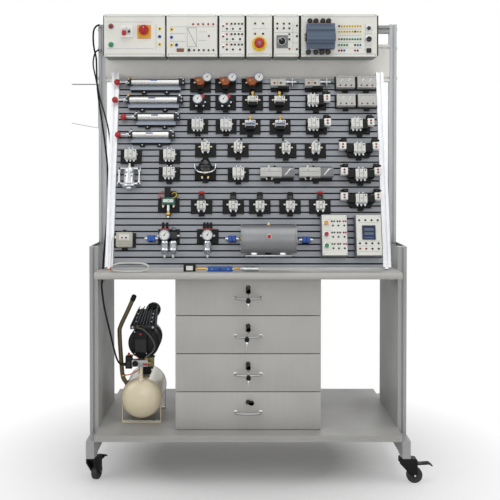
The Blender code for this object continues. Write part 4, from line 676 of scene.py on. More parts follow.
class WORKBENCH_OT_stage(bpy.types.Operator):
    """Adds the floor, the soft lamps and the camera at the photo's view"""

    bl_idname = "workbench.stage"
    bl_label = "Stage, lamps and camera"

    def execute(self, context):
        look = context.scene.workbench_look
        leave_edit_mode()
        make_world(look.world_strength)
        floor_z = min(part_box(f"caster_wheel_{number}")[0].z for number in (1, 2, 3, 4))
        bpy.ops.mesh.primitive_cylinder_add(
            vertices=FLOOR_SIDES, radius=FLOOR_RADIUS, depth=FLOOR_THICKNESS,
            location=(0, 0, floor_z - FLOOR_THICKNESS / 2),
        )
        floor = context.object
        floor.name = "studio_floor"
        bpy.ops.object.transform_apply(location=True, rotation=True, scale=True)
        floor.data.materials.append(make_floor_finish())
        for name, place, aim, size, power in LAMPS:
            way = Vector(aim) - Vector(place)
            turn = way.to_track_quat("-Z", "Y").to_euler()
            bpy.ops.object.light_add(type="AREA", radius=size, location=place, rotation=turn)
            lamp = context.object
            lamp.name = name
            lamp.data.energy = power * look.lamp_strength
        bpy.ops.object.camera_add(
            location=CAMERA_PLACE + SHIFT, rotation=(math.radians(90) - CAMERA_PITCH, 0, 0)
        )
        camera = context.object
        camera.name = "photo_camera"
        camera.data.sensor_width = CAMERA_SENSOR
        camera.data.lens = CAMERA_LENS
        camera.data.shift_x, camera.data.shift_y = CAMERA_SHIFT
        context.scene.camera = camera
        context.scene.view_settings.view_transform = "Standard"
        return {"FINISHED"}


def smooth_route(points, steps):
    """Points of a smooth curve through the chosen ones, with a number of steps between neighbours."""
    chosen = [Vector(point) for point in points]
    padded = [2 * chosen[0] - chosen[1], *chosen, 2 * chosen[-1] - chosen[-2]]
    route = []
    for index in range(1, len(padded) - 2):
        before, start, end, after = padded[index - 1 : index + 3]
        for step in range(steps):
            share = step / steps
            leave = (end - before) / 2
            arrive = (after - start) / 2
            a_share = 2 * share**3 - 3 * share**2 + 1
            b_share = share**3 - 2 * share**2 + share
            c_share = 3 * share**2 - 2 * share**3
            d_share = share**3 - share**2
            route.append(start * a_share + leave * b_share + end * c_share + arrive * d_share)
    route.append(chosen[-1])
    return route


def square_end(end, outward, radius):
    """Three points in line, so that a cable meets its gland squarely."""
    way = Vector(outward)
    return [Vector(end) + way * radius * 2, Vector(end) + way * radius, Vector(end)]


# Cables: their ends, and the route points that the solids also follow.
UPRIGHT_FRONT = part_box("left_upright")[0].y - SHIFT.y
GLAND_LENGTH = 0.010
GLAND_RADIUS = 0.0075
SEAT_GAP = 0.0003
CABLE_REACH = GLAND_LENGTH + SEAT_GAP
LEG_INNER = 0.573
POWER_RADIUS = 0.0035
RACK_CABLE_RADIUS = 0.003
SENSOR_RADIUS = 0.0018
MANIFOLD_Y = 0.1414
MANIFOLD_LOW = 0.4202
POWER_START = (-0.5985, UPRIGHT_FRONT - CABLE_REACH, 1.7645)
POWER_END = (-0.47475 - CABLE_REACH, MANIFOLD_Y, MANIFOLD_LOW + 0.0065)
POWER_POINTS = [
    (-0.610, 0.265, 1.757), (-0.619, 0.267, 1.738), (-0.6205, 0.270, 1.700), (-0.617, 0.275, 1.665),
    (-0.610, 0.278, 1.630), (-0.6085, 0.279, 1.560), (-0.606, 0.280, 1.510), (-0.598, 0.280, 1.4425),
    (-0.586, 0.281, 1.360), (-0.575, 0.279, 1.280), (-0.566, 0.275, 1.200), (-0.561, 0.258, 1.080),
    (-0.560, 0.215, 0.965), (-0.5605, 0.165, 0.880), (-0.561, 0.137, 0.815), (-0.562, 0.131, 0.770),
    (-0.5645, 0.124, 0.728), (-0.5545, 0.122, 0.652), (-0.535, 0.126, 0.561), (-0.515, 0.134, 0.470),
    (-0.503, 0.138, 0.437),
]
RACK_START = (-0.5985, UPRIGHT_FRONT - CABLE_REACH, 1.665)
RACK_END = (CABLE_REACH - LEG_INNER, 0.235, 0.850)
RACK_POINTS = [
    (-0.609, 0.264, 1.657), (-0.617, 0.262, 1.636), (-0.6195, 0.262, 1.602), (-0.610, 0.262, 1.553),
    (-0.5917, 0.262, 1.466), (-0.571, 0.263, 1.395), (-0.556, 0.263, 1.320), (-0.549, 0.256, 1.200),
    (-0.546, 0.246, 1.060), (-0.5455, 0.238, 0.940), (-0.548, 0.235, 0.885),
]
BUNDLE_X = -0.4435
BUNDLE_BACK = 0.052
BUNDLE_STEP = 0.0052
BUNDLE_LENGTH = 0.140
BUNDLE_HEIGHT = 0.034
BUNDLE_TILT = math.radians(25)
BUNDLE_END_POWER = 0.55
BUNDLE_LOOPS = 5
BUNDLE_STEPS = 16
SENSOR_HEIGHT = 0.62 * UNIT
SENSOR_WIDTH = 0.66 * UNIT
SENSOR_DEPTH = 0.30 * UNIT


def bundle_point(turn_share):
    """One point of the flat loops: a rounded oblong that steps towards the viewer as it winds."""
    angle = 2 * math.pi * turn_share
    across, up = math.cos(angle), math.sin(angle)
    straight = math.copysign(abs(across) ** BUNDLE_END_POWER, across) * BUNDLE_LENGTH / 2
    lowest = TABLE_HEIGHT + SEAT_GAP + SENSOR_RADIUS * 1.2
    middle_z = lowest + BUNDLE_HEIGHT / 2 * math.cos(BUNDLE_TILT)
    middle = Vector((BUNDLE_X, BUNDLE_BACK - BUNDLE_STEP * turn_share, middle_z))
    upward = Vector((0, math.sin(BUNDLE_TILT), math.cos(BUNDLE_TILT)))
    return middle + RIGHT * straight + upward * up * BUNDLE_HEIGHT / 2


def sensor_route():
    """The white sensor cable: from its outlet on the panel, down to the table and round its loops."""
    start_share = 0.5
    count = BUNDLE_LOOPS * BUNDLE_STEPS + 1
    loops = [bundle_point(start_share + index / BUNDLE_STEPS) for index in range(count)]
    from_panel = ON_BENCH.inverted() @ ON_PANEL
    x = panel_x(-0.458) - SENSOR_WIDTH / 2 - CABLE_REACH
    v = panel_v(0.131) + SENSOR_HEIGHT * 0.2
    outlet = from_panel @ Vector((x, BODY_BACK - SENSOR_DEPTH / 2, v))
    ahead = (loops[0] - loops[1]).normalized()
    free = [
        outlet, outlet + Vector((-0.004, 0, 0)), outlet + Vector((-0.008, -0.002, -0.006)),
        outlet + Vector((-0.012, -0.006, -0.026)), outlet + Vector((-0.010, -0.010, -0.050)),
        loops[0] + ahead * 0.012, loops[0] + ahead * 0.004, loops[0] + ahead * SEAT_GAP,
    ]
    return smooth_route(free, 3)[:-1] + loops


def make_cable(name, points, radius, finish):
    """A round cable that stays a curve, drawn through its route's points."""
    leave_edit_mode()
    bpy.ops.curve.primitive_nurbs_path_add()
    piece = bpy.context.object
    piece.name = name
    curve = piece.data
    curve.name = name
    curve.splines.clear()
    spline = curve.splines.new("POLY")
    spline.points.add(len(points) - 1)
    for knot, point in zip(spline.points, points):
        knot.co = (*(ON_BENCH @ Vector(point)), 1.0)
    curve.bevel_depth = radius
    curve.bevel_resolution = 3
    curve.use_fill_caps = True
    curve.materials.append(FINISHES[finish])
    leave_edit_mode()
    return piece


def route_length(points):
    """The length of a route, step by step."""
    return sum((b - a).length for a, b in zip(points, points[1:]))


def lay_cable(name, points, radius, finish, node_names):
    cable = make_cable(name, points, radius, finish)
    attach(cable, "bench")
    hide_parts(*node_names)
    route_length(points)
    return cable


class WORKBENCH_OT_cables(bpy.types.Operator):
    """Lays the power cable, the rack cable and the white sensor cable"""

    bl_idname = "workbench.cables"
    bl_label = "Cables"

    def execute(self, context):
        ends = square_end(POWER_START, FORWARD, POWER_RADIUS)
        points = [*reversed(ends), *POWER_POINTS, *square_end(POWER_END, LEFT, POWER_RADIUS)]
        lay_cable(
            "power_cable_run", smooth_route(points, 3), POWER_RADIUS, "black_cable",
            ["power_cable"],
        )
        ends = square_end(RACK_START, FORWARD, RACK_CABLE_RADIUS)
        points = [*reversed(ends), *RACK_POINTS, *square_end(RACK_END, RIGHT, RACK_CABLE_RADIUS)]
        lay_cable(
            "rack_cable_run", smooth_route(points, 4), RACK_CABLE_RADIUS, "black_cable",
            ["rack_cable"],
        )
        route = sensor_route()
        shape = Shape("sensor_cable_plug")
        end, before = route[-1], route[-2]
        way = (end - before).normalized()
        profile = rows(0.4, 2.1, 1, 2.6, 9, 2.6, 10, 2.1)
        shape.turned(profile, "red_moulding", end, way, 16)
        profile = rows(9.5, 1.9, 10, 2.3, 16, 2.3, 16.6, 1.9)
        shape.turned(profile, "yellow_moulding", end, way, 16)
        plug = hand_over(shape.done(ON_BENCH), "bench", [], "cable_white")
        lay_cable(
            "sensor_cable_run", route, SENSOR_RADIUS, "white_cable",
            ["sensor_cable_lead", "sensor_cable_bundle"],
        )
        return {"FINISHED"}


NODE_FINISHES = {
    "left_side_frame": "frame_paint",
    "right_side_frame": "frame_paint",
    "left_upright": "upright_steel",
    "right_upright": "upright_steel",
    "top_rail": "frame_paint",
    "sign_frame": "sign_board",
    "slotted_panel": "panel_alloy",
    "table_top": "table_laminate",
    "lower_shelf": "shelf_laminate",
    "cabinet_carcass": "drawer_laminate",
    "lead_rack": "frame_paint",
}


class WORKBENCH_OT_frame(bpy.types.Operator):
    """Gives the bench's frame, boards and slotted panel their finishes"""

    bl_idname = "workbench.frame"
    bl_label = "Frame and boards"

    def execute(self, context):
        leave_edit_mode()
        for name, finish in NODE_FINISHES.items():
            node = frame["nodes"][name]
            node.data.materials.clear()
            node.data.materials.append(FINISHES[finish])
        return {"FINISHED"}


# Drawers with their pulls, locks and keys.
CABINET_HALF = 0.27625
CABINET_FRONT = 0.067
BOARD = 0.016
DRAWER_GAP = 0.003
FRONT_HEIGHT = 0.1421
TABLE_UNDERSIDE = 0.775
RUNNER = 0.0127
RUNNING_GAP = 0.0004
BOX_DEPTH = 0.400
BOX_HEIGHT = 0.100
BOX_BOARD = 0.012
BOX_FLOOR = 0.006
PULL_DROP = 0.076
PULL_SPAN = 0.096
PULL_REACH = 0.028
PULL_RADIUS = 0.0045
PULL_ARCH = [(-0.50, 0.0), (-0.47, 0.55), (-0.27, 0.92), (0.0, 1.0), (0.27, 0.92), (0.47, 0.55), (0.50, 0.0)]
LOCK_DROP = 0.037
LOCK_RADIUS = 0.009
LOCK_REACH = 0.006
KEY_STEM = 0.010
KEY_BOW = 0.011
KEY_THICKNESS = 0.0025
SPARE_DEPTH = CABINET_FRONT - PULL_REACH - PULL_RADIUS - 0.006
SPARE_SHIFTS = (0.0, -0.005, 0.001)


def drawer_top(row):
    """The height of a drawer front's upper edge."""
    return TABLE_UNDERSIDE - SEAT_GAP - row * (FRONT_HEIGHT + DRAWER_GAP) - DRAWER_GAP / 2


def make_drawer(row):
    """Front board with its eased edges, box and the arched pull with its feet."""
    shape = Shape(f"drawer_{row + 1}_dressed")
    top = drawer_top(row)
    low = top - FRONT_HEIGHT
    front = CABINET_FRONT
    shape.block((-CABINET_HALF, front, low), (CABINET_HALF, front + BOARD, top), "drawer_laminate", 0.0012, 2)
    start = front + BOARD - SEAT_GAP
    end = start + BOX_DEPTH
    half = CABINET_HALF - BOARD - RUNNER - RUNNING_GAP
    floor = low + BOARD
    for side in (-1, 1):
        inner, outer = side * (half - BOX_BOARD), side * half
        shape.block(
            (min(inner, outer), start, floor), (max(inner, outer), end, floor + BOX_HEIGHT), "drawer_board"
        )
    inner = half - BOX_BOARD + SEAT_GAP
    shape.block((-inner, end - BOX_BOARD, floor), (inner, end, floor + BOX_HEIGHT), "drawer_board")
    shape.block((-inner, start, floor), (inner, end, floor + BOX_FLOOR), "drawer_board", 0)
    pull_z = top - PULL_DROP
    arch = [(across * PULL_SPAN, front + 0.001 - reach * PULL_REACH, pull_z) for across, reach in PULL_ARCH]
    shape.tube(arch, PULL_RADIUS, "pull_alloy", sides=5, steps=8)
    for side in (-1, 1):
        foot = rows(0.5, 7.2, 2.2, 7.2, 3.2, 5.8, 4.6, 4.8)
        shape.turned(foot, "chrome", (side * PULL_SPAN / 2, front + 0.0012, pull_z), FORWARD)
    return shape.done(ON_BENCH)


def key_outline(centre, depth, down, across):
    """The bow of a key as an outline: narrow at its stem and rounded at its far end."""
    points = []
    for step in range(18):
        angle = 2 * math.pi * step / 18
        swell = 0.80 + 0.20 * math.cos(angle)
        point = centre + down * (KEY_BOW * 1.05 * (1 + math.cos(angle)))
        point += across * (KEY_BOW * math.sin(angle) * swell)
        points.append(point + BACK * depth)
    return points


def add_spare_key(shape, centre, row):
    """The second key that hangs in front of the pull on a ring through the first one's bow."""
    shift = RIGHT * SPARE_SHIFTS[row]
    top = centre + DOWN * 0.022 + FORWARD * (LOCK_REACH + KEY_STEM - 0.001)
    hang = Vector((centre.x, SPARE_DEPTH, centre.z - 0.034)) + shift
    ring = [
        top + UP * 0.004, top + FORWARD * 0.006 + DOWN * 0.001, hang + UP * 0.004 + FORWARD * 0.003,
        hang + DOWN * 0.001, hang + UP * 0.002 + BACK * 0.004, top + BACK * 0.003 + DOWN * 0.004,
        top + UP * 0.003 + BACK * 0.002
    ]
    shape.tube(ring, 0.0009, "polished_steel", sides=1, steps=3)
    bow = key_outline(hang + UP * 0.002, 0, DOWN, RIGHT)
    shape.outline(bow, BACK * KEY_THICKNESS, "black_moulding", 0.0005)
    low, high = hang.z - 0.043, hang.z - 0.018
    blade = [
        (hang.x - 0.0032, low + 0.003), (hang.x - 0.0008, low), (hang.x + 0.0020, low + 0.002),
        (hang.x + 0.0020, low + 0.008), (hang.x + 0.0032, low + 0.011), (hang.x + 0.0032, high),
        (hang.x - 0.0032, high)
    ]
    shape.outline([(x, hang.y + 0.0005, z) for x, z in blade], BACK * 0.0015, "polished_steel", 0.0002)


def make_lock(row):
    """Cam lock barrel with its key, and the spare key hanging on its ring."""
    shape = Shape(f"drawer_lock_{row + 1}_dressed")
    centre = Vector((0, CABINET_FRONT - SEAT_GAP, drawer_top(row) - LOCK_DROP))
    barrel = [(0, LOCK_RADIUS), (0.0035, LOCK_RADIUS), (0.0048, LOCK_RADIUS * 0.9),
              (LOCK_REACH - 0.0006, LOCK_RADIUS * 0.72), (LOCK_REACH - 0.0006, LOCK_RADIUS * 0.5),
              (LOCK_REACH - 0.0016, LOCK_RADIUS * 0.46)]
    shape.turned(barrel, "black_gloss", centre, FORWARD)
    down, across = (RIGHT, DOWN) if row == 3 else (DOWN, RIGHT)
    half = KEY_THICKNESS / 2
    stem = centre + FORWARD * (LOCK_REACH - 0.002)
    tip = centre + FORWARD * (LOCK_REACH + KEY_STEM)
    shape.block(
        (stem.x - half, tip.y, stem.z - half), (stem.x + half, stem.y, stem.z + half), "polished_steel",
        0.0003
    )
    bow_start = tip + FORWARD * -KEY_THICKNESS
    outline = key_outline(bow_start - down * 0.001, -KEY_THICKNESS, down, across)
    shape.outline(outline, BACK * KEY_THICKNESS, "black_moulding", 0.0005)
    if row < 3:
        add_spare_key(shape, centre, row)
    return shape.done(ON_BENCH)


class WORKBENCH_OT_drawers(bpy.types.Operator):
    """Models the four drawers with their pulls, and their locks with keys"""

    bl_idname = "workbench.drawers"
    bl_label = "Drawers and locks"

    def execute(self, context):
        for row in range(4):
            number = row + 1
            hand_over(make_drawer(row), f"drawer_{number}", [f"drawer_{number}"], "drawer_grey")
            hand_over(make_lock(row), f"drawer_lock_{number}", [f"drawer_lock_{number}"], "handle_steel")
        return {"FINISHED"}


# Casters.
WHEEL_RADIUS = 0.030
WHEEL_WIDTH = 0.022
TRAIL = 0.039
AXLE_RADIUS = 0.004
FORK_WIDTH = 0.036
FORK_SLOT = 0.024
BEAM_UNDERSIDE = 0.107
FORK_TOP = BEAM_UNDERSIDE - SEAT_GAP - 0.003 - 0.006
CASTER_PLACES = [
    (-0.5895, 0.05, math.radians(75)), (0.5895, 0.05, 0.0),
    (-0.5895, 0.60, math.radians(110)), (0.5895, 0.60, math.radians(40)),
]
PEDAL_Z = 0.072
PEDAL_START = TRAIL + 0.0096 + RUNNING_GAP
PEDAL_LENGTH = 0.057
PEDAL_WIDTH = 0.030


def make_wheel():
    """Tyre with a crowned tread, grooved hub and axle bore cover, its axle along y."""
    shape = Shape("wheel_model")
    half = WHEEL_WIDTH / 2
    r = WHEEL_RADIUS
    tread = [
        (-half, AXLE_RADIUS * 1.05), (-half, r * 0.52), (-half + 0.0012, r * 0.56),
        (-half + 0.0012, r * 0.70), (-half, r * 0.74), (-half, r * 0.90), (-half + 0.0018, r * 0.975),
        (-half * 0.5, r), (half * 0.5, r), (half - 0.0018, r * 0.975), (half, r * 0.90), (half, r * 0.74),
        (half - 0.0012, r * 0.70), (half - 0.0012, r * 0.56), (half, r * 0.52), (half, AXLE_RADIUS * 1.05)
    ]
    shape.turned(tread, "tyre_grey", (0, 0, 0), BACK, 48)
    return shape.done()


def make_fork():
    """Swivel neck, domed housing and two arms that hold the axle."""
    shape = Shape("fork_model")
    neck = rows(0, 13.5, 3, 16.5, 6.5, 16.5, 9, 15)
    shape.turned(neck, "polished_steel", (0, 0, FORK_TOP - 0.0005), UP)
    low = FORK_TOP - 0.020
    arm = AXLE_RADIUS * 2.4
    slot, half = FORK_SLOT / 2, FORK_WIDTH / 2
    for side in (-1, 1):
        y = side * slot if side > 0 else -half
        outline = at_depth(
            y, (-0.0185, low), (-0.0185, FORK_TOP - 0.002), (-0.014, FORK_TOP), (0.018, FORK_TOP),
            (TRAIL + arm * 0.6, FORK_TOP - 0.004), (TRAIL + arm, FORK_TOP - 0.010),
            (TRAIL + arm, WHEEL_RADIUS + arm * 0.4), (TRAIL + arm * 0.7, WHEEL_RADIUS - arm * 0.6),
            (TRAIL, WHEEL_RADIUS - arm), (TRAIL - arm, WHEEL_RADIUS - arm * 0.5)
        )
        shape.outline(outline, BACK * (half - slot), "black_moulding", 0.0008)
    top = at_depth(
        -slot - 0.001, (-0.0185, FORK_TOP - 0.0068), (0.030, FORK_TOP - 0.0068),
        (TRAIL + arm * 0.5, FORK_TOP - 0.0090), (TRAIL + arm * 0.6, FORK_TOP - 0.004),
        (0.018, FORK_TOP - 0.0002), (-0.014, FORK_TOP - 0.0002)
    )
    shape.outline(top, BACK * (FORK_SLOT + 0.002), "black_moulding", 0)
    for side in (FORWARD, BACK):
        start = Vector((TRAIL, 0, WHEEL_RADIUS)) + side * (slot - 0.001)
        cap = [(0, AXLE_RADIUS * 1.0), (half - slot + 0.001, AXLE_RADIUS * 1.0),
               (half - slot + 0.0014, AXLE_RADIUS * 0.8)]
        shape.turned(cap, "polished_steel", start, side, 16)
    shape.rod(
        (TRAIL, -slot, WHEEL_RADIUS), (TRAIL, slot, WHEEL_RADIUS), AXLE_RADIUS * 0.95, "polished_steel", 16
    )
    return shape.done()


def make_pedal():
    """Brake pedal: a ribbed plate with a turned-down lip."""
    shape = Shape("pedal_model")
    half = PEDAL_WIDTH / 2
    start, end = PEDAL_START, PEDAL_START + PEDAL_LENGTH
    outline = at_depth(
        -half, (start, PEDAL_Z - 0.002), (start, PEDAL_Z + 0.002), (end - 0.012, PEDAL_Z + 0.0045),
        (end, PEDAL_Z - 0.004), (end - 0.002, PEDAL_Z - 0.007), (end - 0.014, PEDAL_Z + 0.0005)
    )
    shape.outline(outline, BACK * PEDAL_WIDTH, "black_moulding", 0.0005)
    for step in range(5):
        x = start + 0.018 + step * 0.0052
        z = PEDAL_Z + 0.0030 + step * 0.0003
        shape.block((x, -half * 0.8, z - 0.001), (x + 0.0022, half * 0.8, z + 0.0012), "black_rubber", 0.0004)
    return shape.done()


class WORKBENCH_OT_casters(bpy.types.Operator):
    """Models one caster and puts its copies under the four ends of the beams"""

    bl_idname = "workbench.casters"
    bl_label = "Casters"

    def execute(self, context):
        wheel, fork, pedal = make_wheel(), make_fork(), make_pedal()
        for index, (x, y, angle) in enumerate(CASTER_PLACES):
            number = index + 1
            turn = ON_BENCH @ Matrix.Translation((x, y, 0)) @ Matrix.Rotation(angle, 4, "Z")
            rolled = turn @ Matrix.Translation((TRAIL, 0, WHEEL_RADIUS))
            made = [
                (wheel, "caster_wheel", rolled, "tyre_black"), (fork, "caster_fork", turn, "caster_black")
            ]
            if number < 3:
                made.append((pedal, "caster_brake", turn, "caster_black"))
            for model, name, place, slot_name in made:
                twin = stamped(model, place)
                twin.name = f"{name}_{number}_dressed"
                hand_over(twin, f"{name}_{number}", [f"{name}_{number}"], slot_name)
        discard(wheel, fork, pedal)
        return {"FINISHED"}


# Components: parts that many of them share, then each kind in its own coordinates.
PLATE_HEIGHT = 0.056
PLATE_FRONT = PLATE_BACK - 0.010
TAB_HALF = 0.011
TAB_DROP = 0.010
FITTING_RADIUS = 0.006
FITTING_LENGTH = 0.010
GAUGE_RADIUS = 0.020
GAUGE_THICKNESS = 0.014
SCALE_MARKS = 11
DIAL_FIRST = -130
DIAL_STEP = 26
STEM_RADIUS = 0.0045
NECK_RADIUS = 0.0095
NECK_HEIGHT = 0.026
PRESSURE_FACE = (0.063, 0.058)
BODY_SHARES = {
    "regulator": (0.50, 0.42, 0.40), "sensor": (0.46, 0.36, 0.36), "terminals": (0.88, 0.58, 0.30),
    "gauge": (0.46, 0.40, 0.36), "knob": (0.52, 0.42, 0.40), "solenoid": (0.56, 0.42, 0.40),
    "spool": (0.54, 0.44, 0.38), "roller": (0.46, 0.42, 0.36), "double": (0.52, 0.46, 0.42),
    "rotary": (0.60, 0.60, 0.30), "dome": (0.46, 0.40, 0.40), "long": (1.60, 0.44, 0.40),
    "proportional": (0.50, 0.70, 0.34), "push": (0.46, 0.40, 0.38), "pressure": (0.66, 0.62, 0.30),
}


def body_size(kind):
    """Width, height and depth of a kind's body."""
    return [share * UNIT for share in BODY_SHARES[kind]]


def body_frame(kind):
    """Width and height of a kind's body, and how deep its face and its middle lie."""
    width, height, depth = body_size(kind)
    return width, height, BODY_BACK - depth, BODY_BACK - depth / 2


def add_plate(s, width=UNIT):
    """The clip-on base plate: chamfered board, clip tab below, screws in its corners."""
    half, high = width / 2, PLATE_HEIGHT / 2
    points = at_depth(
        PLATE_BACK, (-half, -high), (-TAB_HALF, -high), (-TAB_HALF, -high - TAB_DROP),
        (TAB_HALF, -high - TAB_DROP), (TAB_HALF, -high), (half, -high), (half, high), (-half, high)
    )
    s.outline(points, FORWARD * (PLATE_BACK - PLATE_FRONT), "plate_black", 0.001)
    for side in (-1, 1):
        for up in (-1, 1):
            place = (side * (half - 0.006), PLATE_FRONT + 0.0004, up * (high - 0.006))
            s.turned(rows(0, 2.4, 1.2, 2.4, 1.6, 1.9, 0.8, 1.2), "dark_grey", place, FORWARD, SCREW_SIDES)


def add_fitting(s, place, way, base="brass", ring="turned_alloy"):
    """A push-in fitting: hexagonal base, collar and release ring with its bore."""
    r, length = FITTING_RADIUS * 0.8, FITTING_LENGTH
    s.turned([(-0.0006, r), (length * 0.42, r), (length * 0.5, r * 0.86)], base, place, way, HEX_SIDES)
    ring_profile = [
        (length * 0.44, r * 0.8), (length * 0.9, r * 0.8), (length, r * 0.68), (length, r * 0.42),
        (length * 0.7, r * 0.40)
    ]
    s.turned(ring_profile, ring, place, way, SMALL_SIDES)


def add_ray(s, centre, degrees, inner, outer, half, thickness, finish, way=FORWARD):
    """A short bar that points away from a centre: a scale mark, a disc's mark, or painted shade standing for
    a vent opening.
    """
    out = Vector((math.sin(math.radians(degrees)), 0, math.cos(math.radians(degrees))))
    side = Vector((out.z, 0, -out.x)) * half
    near, far = centre + out * inner, centre + out * outer
    s.outline([near - side, near + side, far + side, far - side], way * thickness, finish)


def add_gauge(s, place, radius=GAUGE_RADIUS, rim="gauge_rim", height=GAUGE_THICKNESS):
    """A round gauge that faces the viewer: case, rim, recessed dial, scale marks and needle."""
    place = Vector(place)
    case = [
        (-0.0006, radius * 0.80), (height * 0.35, radius * 0.94), (height * 0.55, radius),
        (height * 0.9, radius), (height, radius * 0.95), (height, radius * 0.86),
        (height - 0.0012, radius * 0.84)
    ]
    s.turned(case, rim, place, FORWARD, LARGE_SIDES)
    s.paint("dial_white")
    face = place + FORWARD * (height - 0.0012)
    for step in range(SCALE_MARKS):
        add_ray(
            s, face, DIAL_FIRST + DIAL_STEP * step, radius * 0.62, radius * 0.78, radius * 0.02, 0.0003,
            "black_gloss"
        )
    way = Vector((0.55, 0, 0.835))
    side = Vector((way.z, 0, -way.x)) * radius * 0.05
    tail, tip = face - way * radius * 0.2, face + way * radius * 0.62
    s.outline([tail - side, tail + side, tip + side * 0.3, tip - side * 0.3], FORWARD * 0.0006, "black_gloss")
    s.turned(
        [(0, radius * 0.11), (0.0011, radius * 0.11), (0.0014, radius * 0.07)], "black_gloss", face, FORWARD,
        SMALL_SIDES
    )


def add_socket(s, place, finish, radius=0.0042, way=FORWARD, proud=0.0016):
    """A 4 mm safety socket: coloured collar with a dark bore, its shallow floor painted black as shade in the
    hole.
    """
    ring = [
        (-0.0004, radius), (proud * 0.8, radius), (proud, radius * 0.88), (proud, radius * 0.52),
        (proud - 0.0014, radius * 0.5)
    ]
    s.turned(ring, finish, place, way, SMALL_SIDES)
    # Painted shade: the bore's floor is black to stand for the dark, deep hole.
    s.paint("black_gloss")


def add_knurled(s, place, way, radius, height, finish, ribs=18):
    """A knob whose grip is ribbed: a toothed outline pushed up, with a rounded cap."""
    place = Vector(place)
    side = way.orthogonal().normalized()
    across = way.cross(side)
    points = []
    for step in range(ribs * 2):
        angle = math.pi * step / ribs
        reach = radius * (1.0 if step % 2 else 0.90)
        points.append(place + side * reach * math.cos(angle) + across * reach * math.sin(angle))
    s.outline(points, way * height * 0.85, finish)
    cap = [
        (height * 0.84, radius * 0.90), (height * 0.95, radius * 0.84), (height, radius * 0.70),
        (height - 0.0006, radius * 0.3)
    ]
    s.turned(cap, finish, place, way, ribs)


def add_marks(s, x, y, z, size, finish="black_gloss"):
    """Three short slashes that stand for a marking on a face."""
    for step in range(3):
        left = x + (step - 1) * size * 0.9
        points = at_depth(
            y, (left, z - size), (left + size * 0.35, z - size), (left + size * 0.95, z + size),
            (left + size * 0.6, z + size)
        )
        s.outline(points, FORWARD * 0.0003, finish)


def valve_body(s, left, right, low, high, front, finish="white_moulding", edge=0.0035):
    """A valve body: rounded block with a recessed, marked face."""
    s.block((left, front, low), (right, BODY_BACK, high), finish, 0.0016, 2)
    s.recessed((left + edge, front - 0.001, low + edge), (right - edge, front + 0.001, high - edge),
               "pale_moulding", FORWARD, 0.001, 0.0005)
    middle = (left + right) / 2
    add_marks(s, middle, front - 0.0005, (low + high) / 2, 0.0024, "dark_grey")
    s.block(
        (left + 0.002, front - 0.0006, low + 0.0015), (right - 0.002, front + 0.001, low + edge * 0.8),
        "grey_moulding", 0
    )
    for share in (0.32, 0.68):
        x = left + (right - left) * share
        s.block((x - 0.0005, front - 0.0014, low + edge), (x + 0.0005, front, high - 0.001), "dark_grey", 0)
    s.block(
        (right - edge * 2.4, front - 0.0014, high - edge * 2.4), (right - edge, front, high - edge),
        "dark_grey", 0.0002
    )


def add_fittings(s, places, y, z, way, base="turned_alloy", ring="turned_alloy"):
    """A row of push-in fittings that point the same way."""
    for x in places:
        add_fitting(s, (x, y, z), way, base, ring)


def add_coil(s, left, right, low, high, front, ribs=4):
    """A black coil housing with its ribs, upright or lying."""
    s.block((left, front + 0.0012, low), (right, BODY_BACK, high), "black_moulding", 0.002, 2)
    upright = high - low > right - left
    for step in range(ribs):
        share = (step + 0.5) / ribs
        if upright:
            z = low + (high - low) * share
            s.block(
                (left - 0.0004, front, z - 0.0010), (right + 0.0004, BODY_BACK, z + 0.0010), "black_gloss",
                0.0003
            )
        else:
            x = left + (right - left) * share
            s.block(
                (x - 0.0010, front, low - 0.0004), (x + 0.0010, BODY_BACK, high + 0.0004), "black_gloss",
                0.0003
            )


def add_coil_plug(s, side, near, far, front):
    """The white terminal box beside a coil, with a black cable plug over it."""
    left, right = sorted((side * near, side * far))
    add_end_box(s, left, right, -0.0005, 0.0275, front)
    x = (left + right) / 2 - side * 0.005
    s.block((x - 0.011, front + 0.003, 0.0285), (x + 0.011, BODY_BACK, 0.0435), "black_moulding", 0.0024, 3)
    s.turned(rows(0, 4.8, 4, 4.8, 5, 3.6), "black_gloss", (x, front + 0.0036, 0.036), FORWARD, 14)
    s.turned(
        rows(0, 4.6, 6, 3.8, 10, 2.6), "black_rubber", (x + side * 0.010, front + 0.014, 0.037), RIGHT * side,
        SMALL_SIDES
    )


def model_regulator(s):
    """Pressure regulator: tapering body, knob below, gauge at its shoulder."""
    front = BODY_BACK - 0.033
    middle = BODY_BACK - 0.0166
    points = at_depth(
        front, (-0.0230, 0.022), (0.0220, 0.022), (0.0225, 0.014), (0.0090, -0.010), (-0.0090, -0.010),
        (-0.0230, 0.012)
    )
    s.outline(points, BACK * 0.033, "orange_moulding", 0.0018)
    s.turned(rows(-1, 10.5, 3, 11, 3.6, 9.4), "black_moulding", (0, middle, 0.022), UP)
    add_knurled(s, (0, middle, -0.011), DOWN, 0.0110, 0.0150, "black_moulding")
    add_fitting(s, (-0.016, middle, 0.004), LEFT)
    s.turned(rows(0, 5, 10, 5), "brass", (0.014, middle, 0.010), RIGHT, HEX_SIDES)
    s.turned(rows(0, 3, 2, 3, 2.6, 2.2), "brass", (-0.008, front - 0.0002, 0.008), FORWARD, SCREW_SIDES)
    add_gauge(s, (0.0275, front + 0.012, 0.0225), GAUGE_RADIUS * 0.97)
    s.block((0.020, front + 0.012, 0.008), (0.030, BODY_BACK, 0.020), "dark_grey", 0.001)


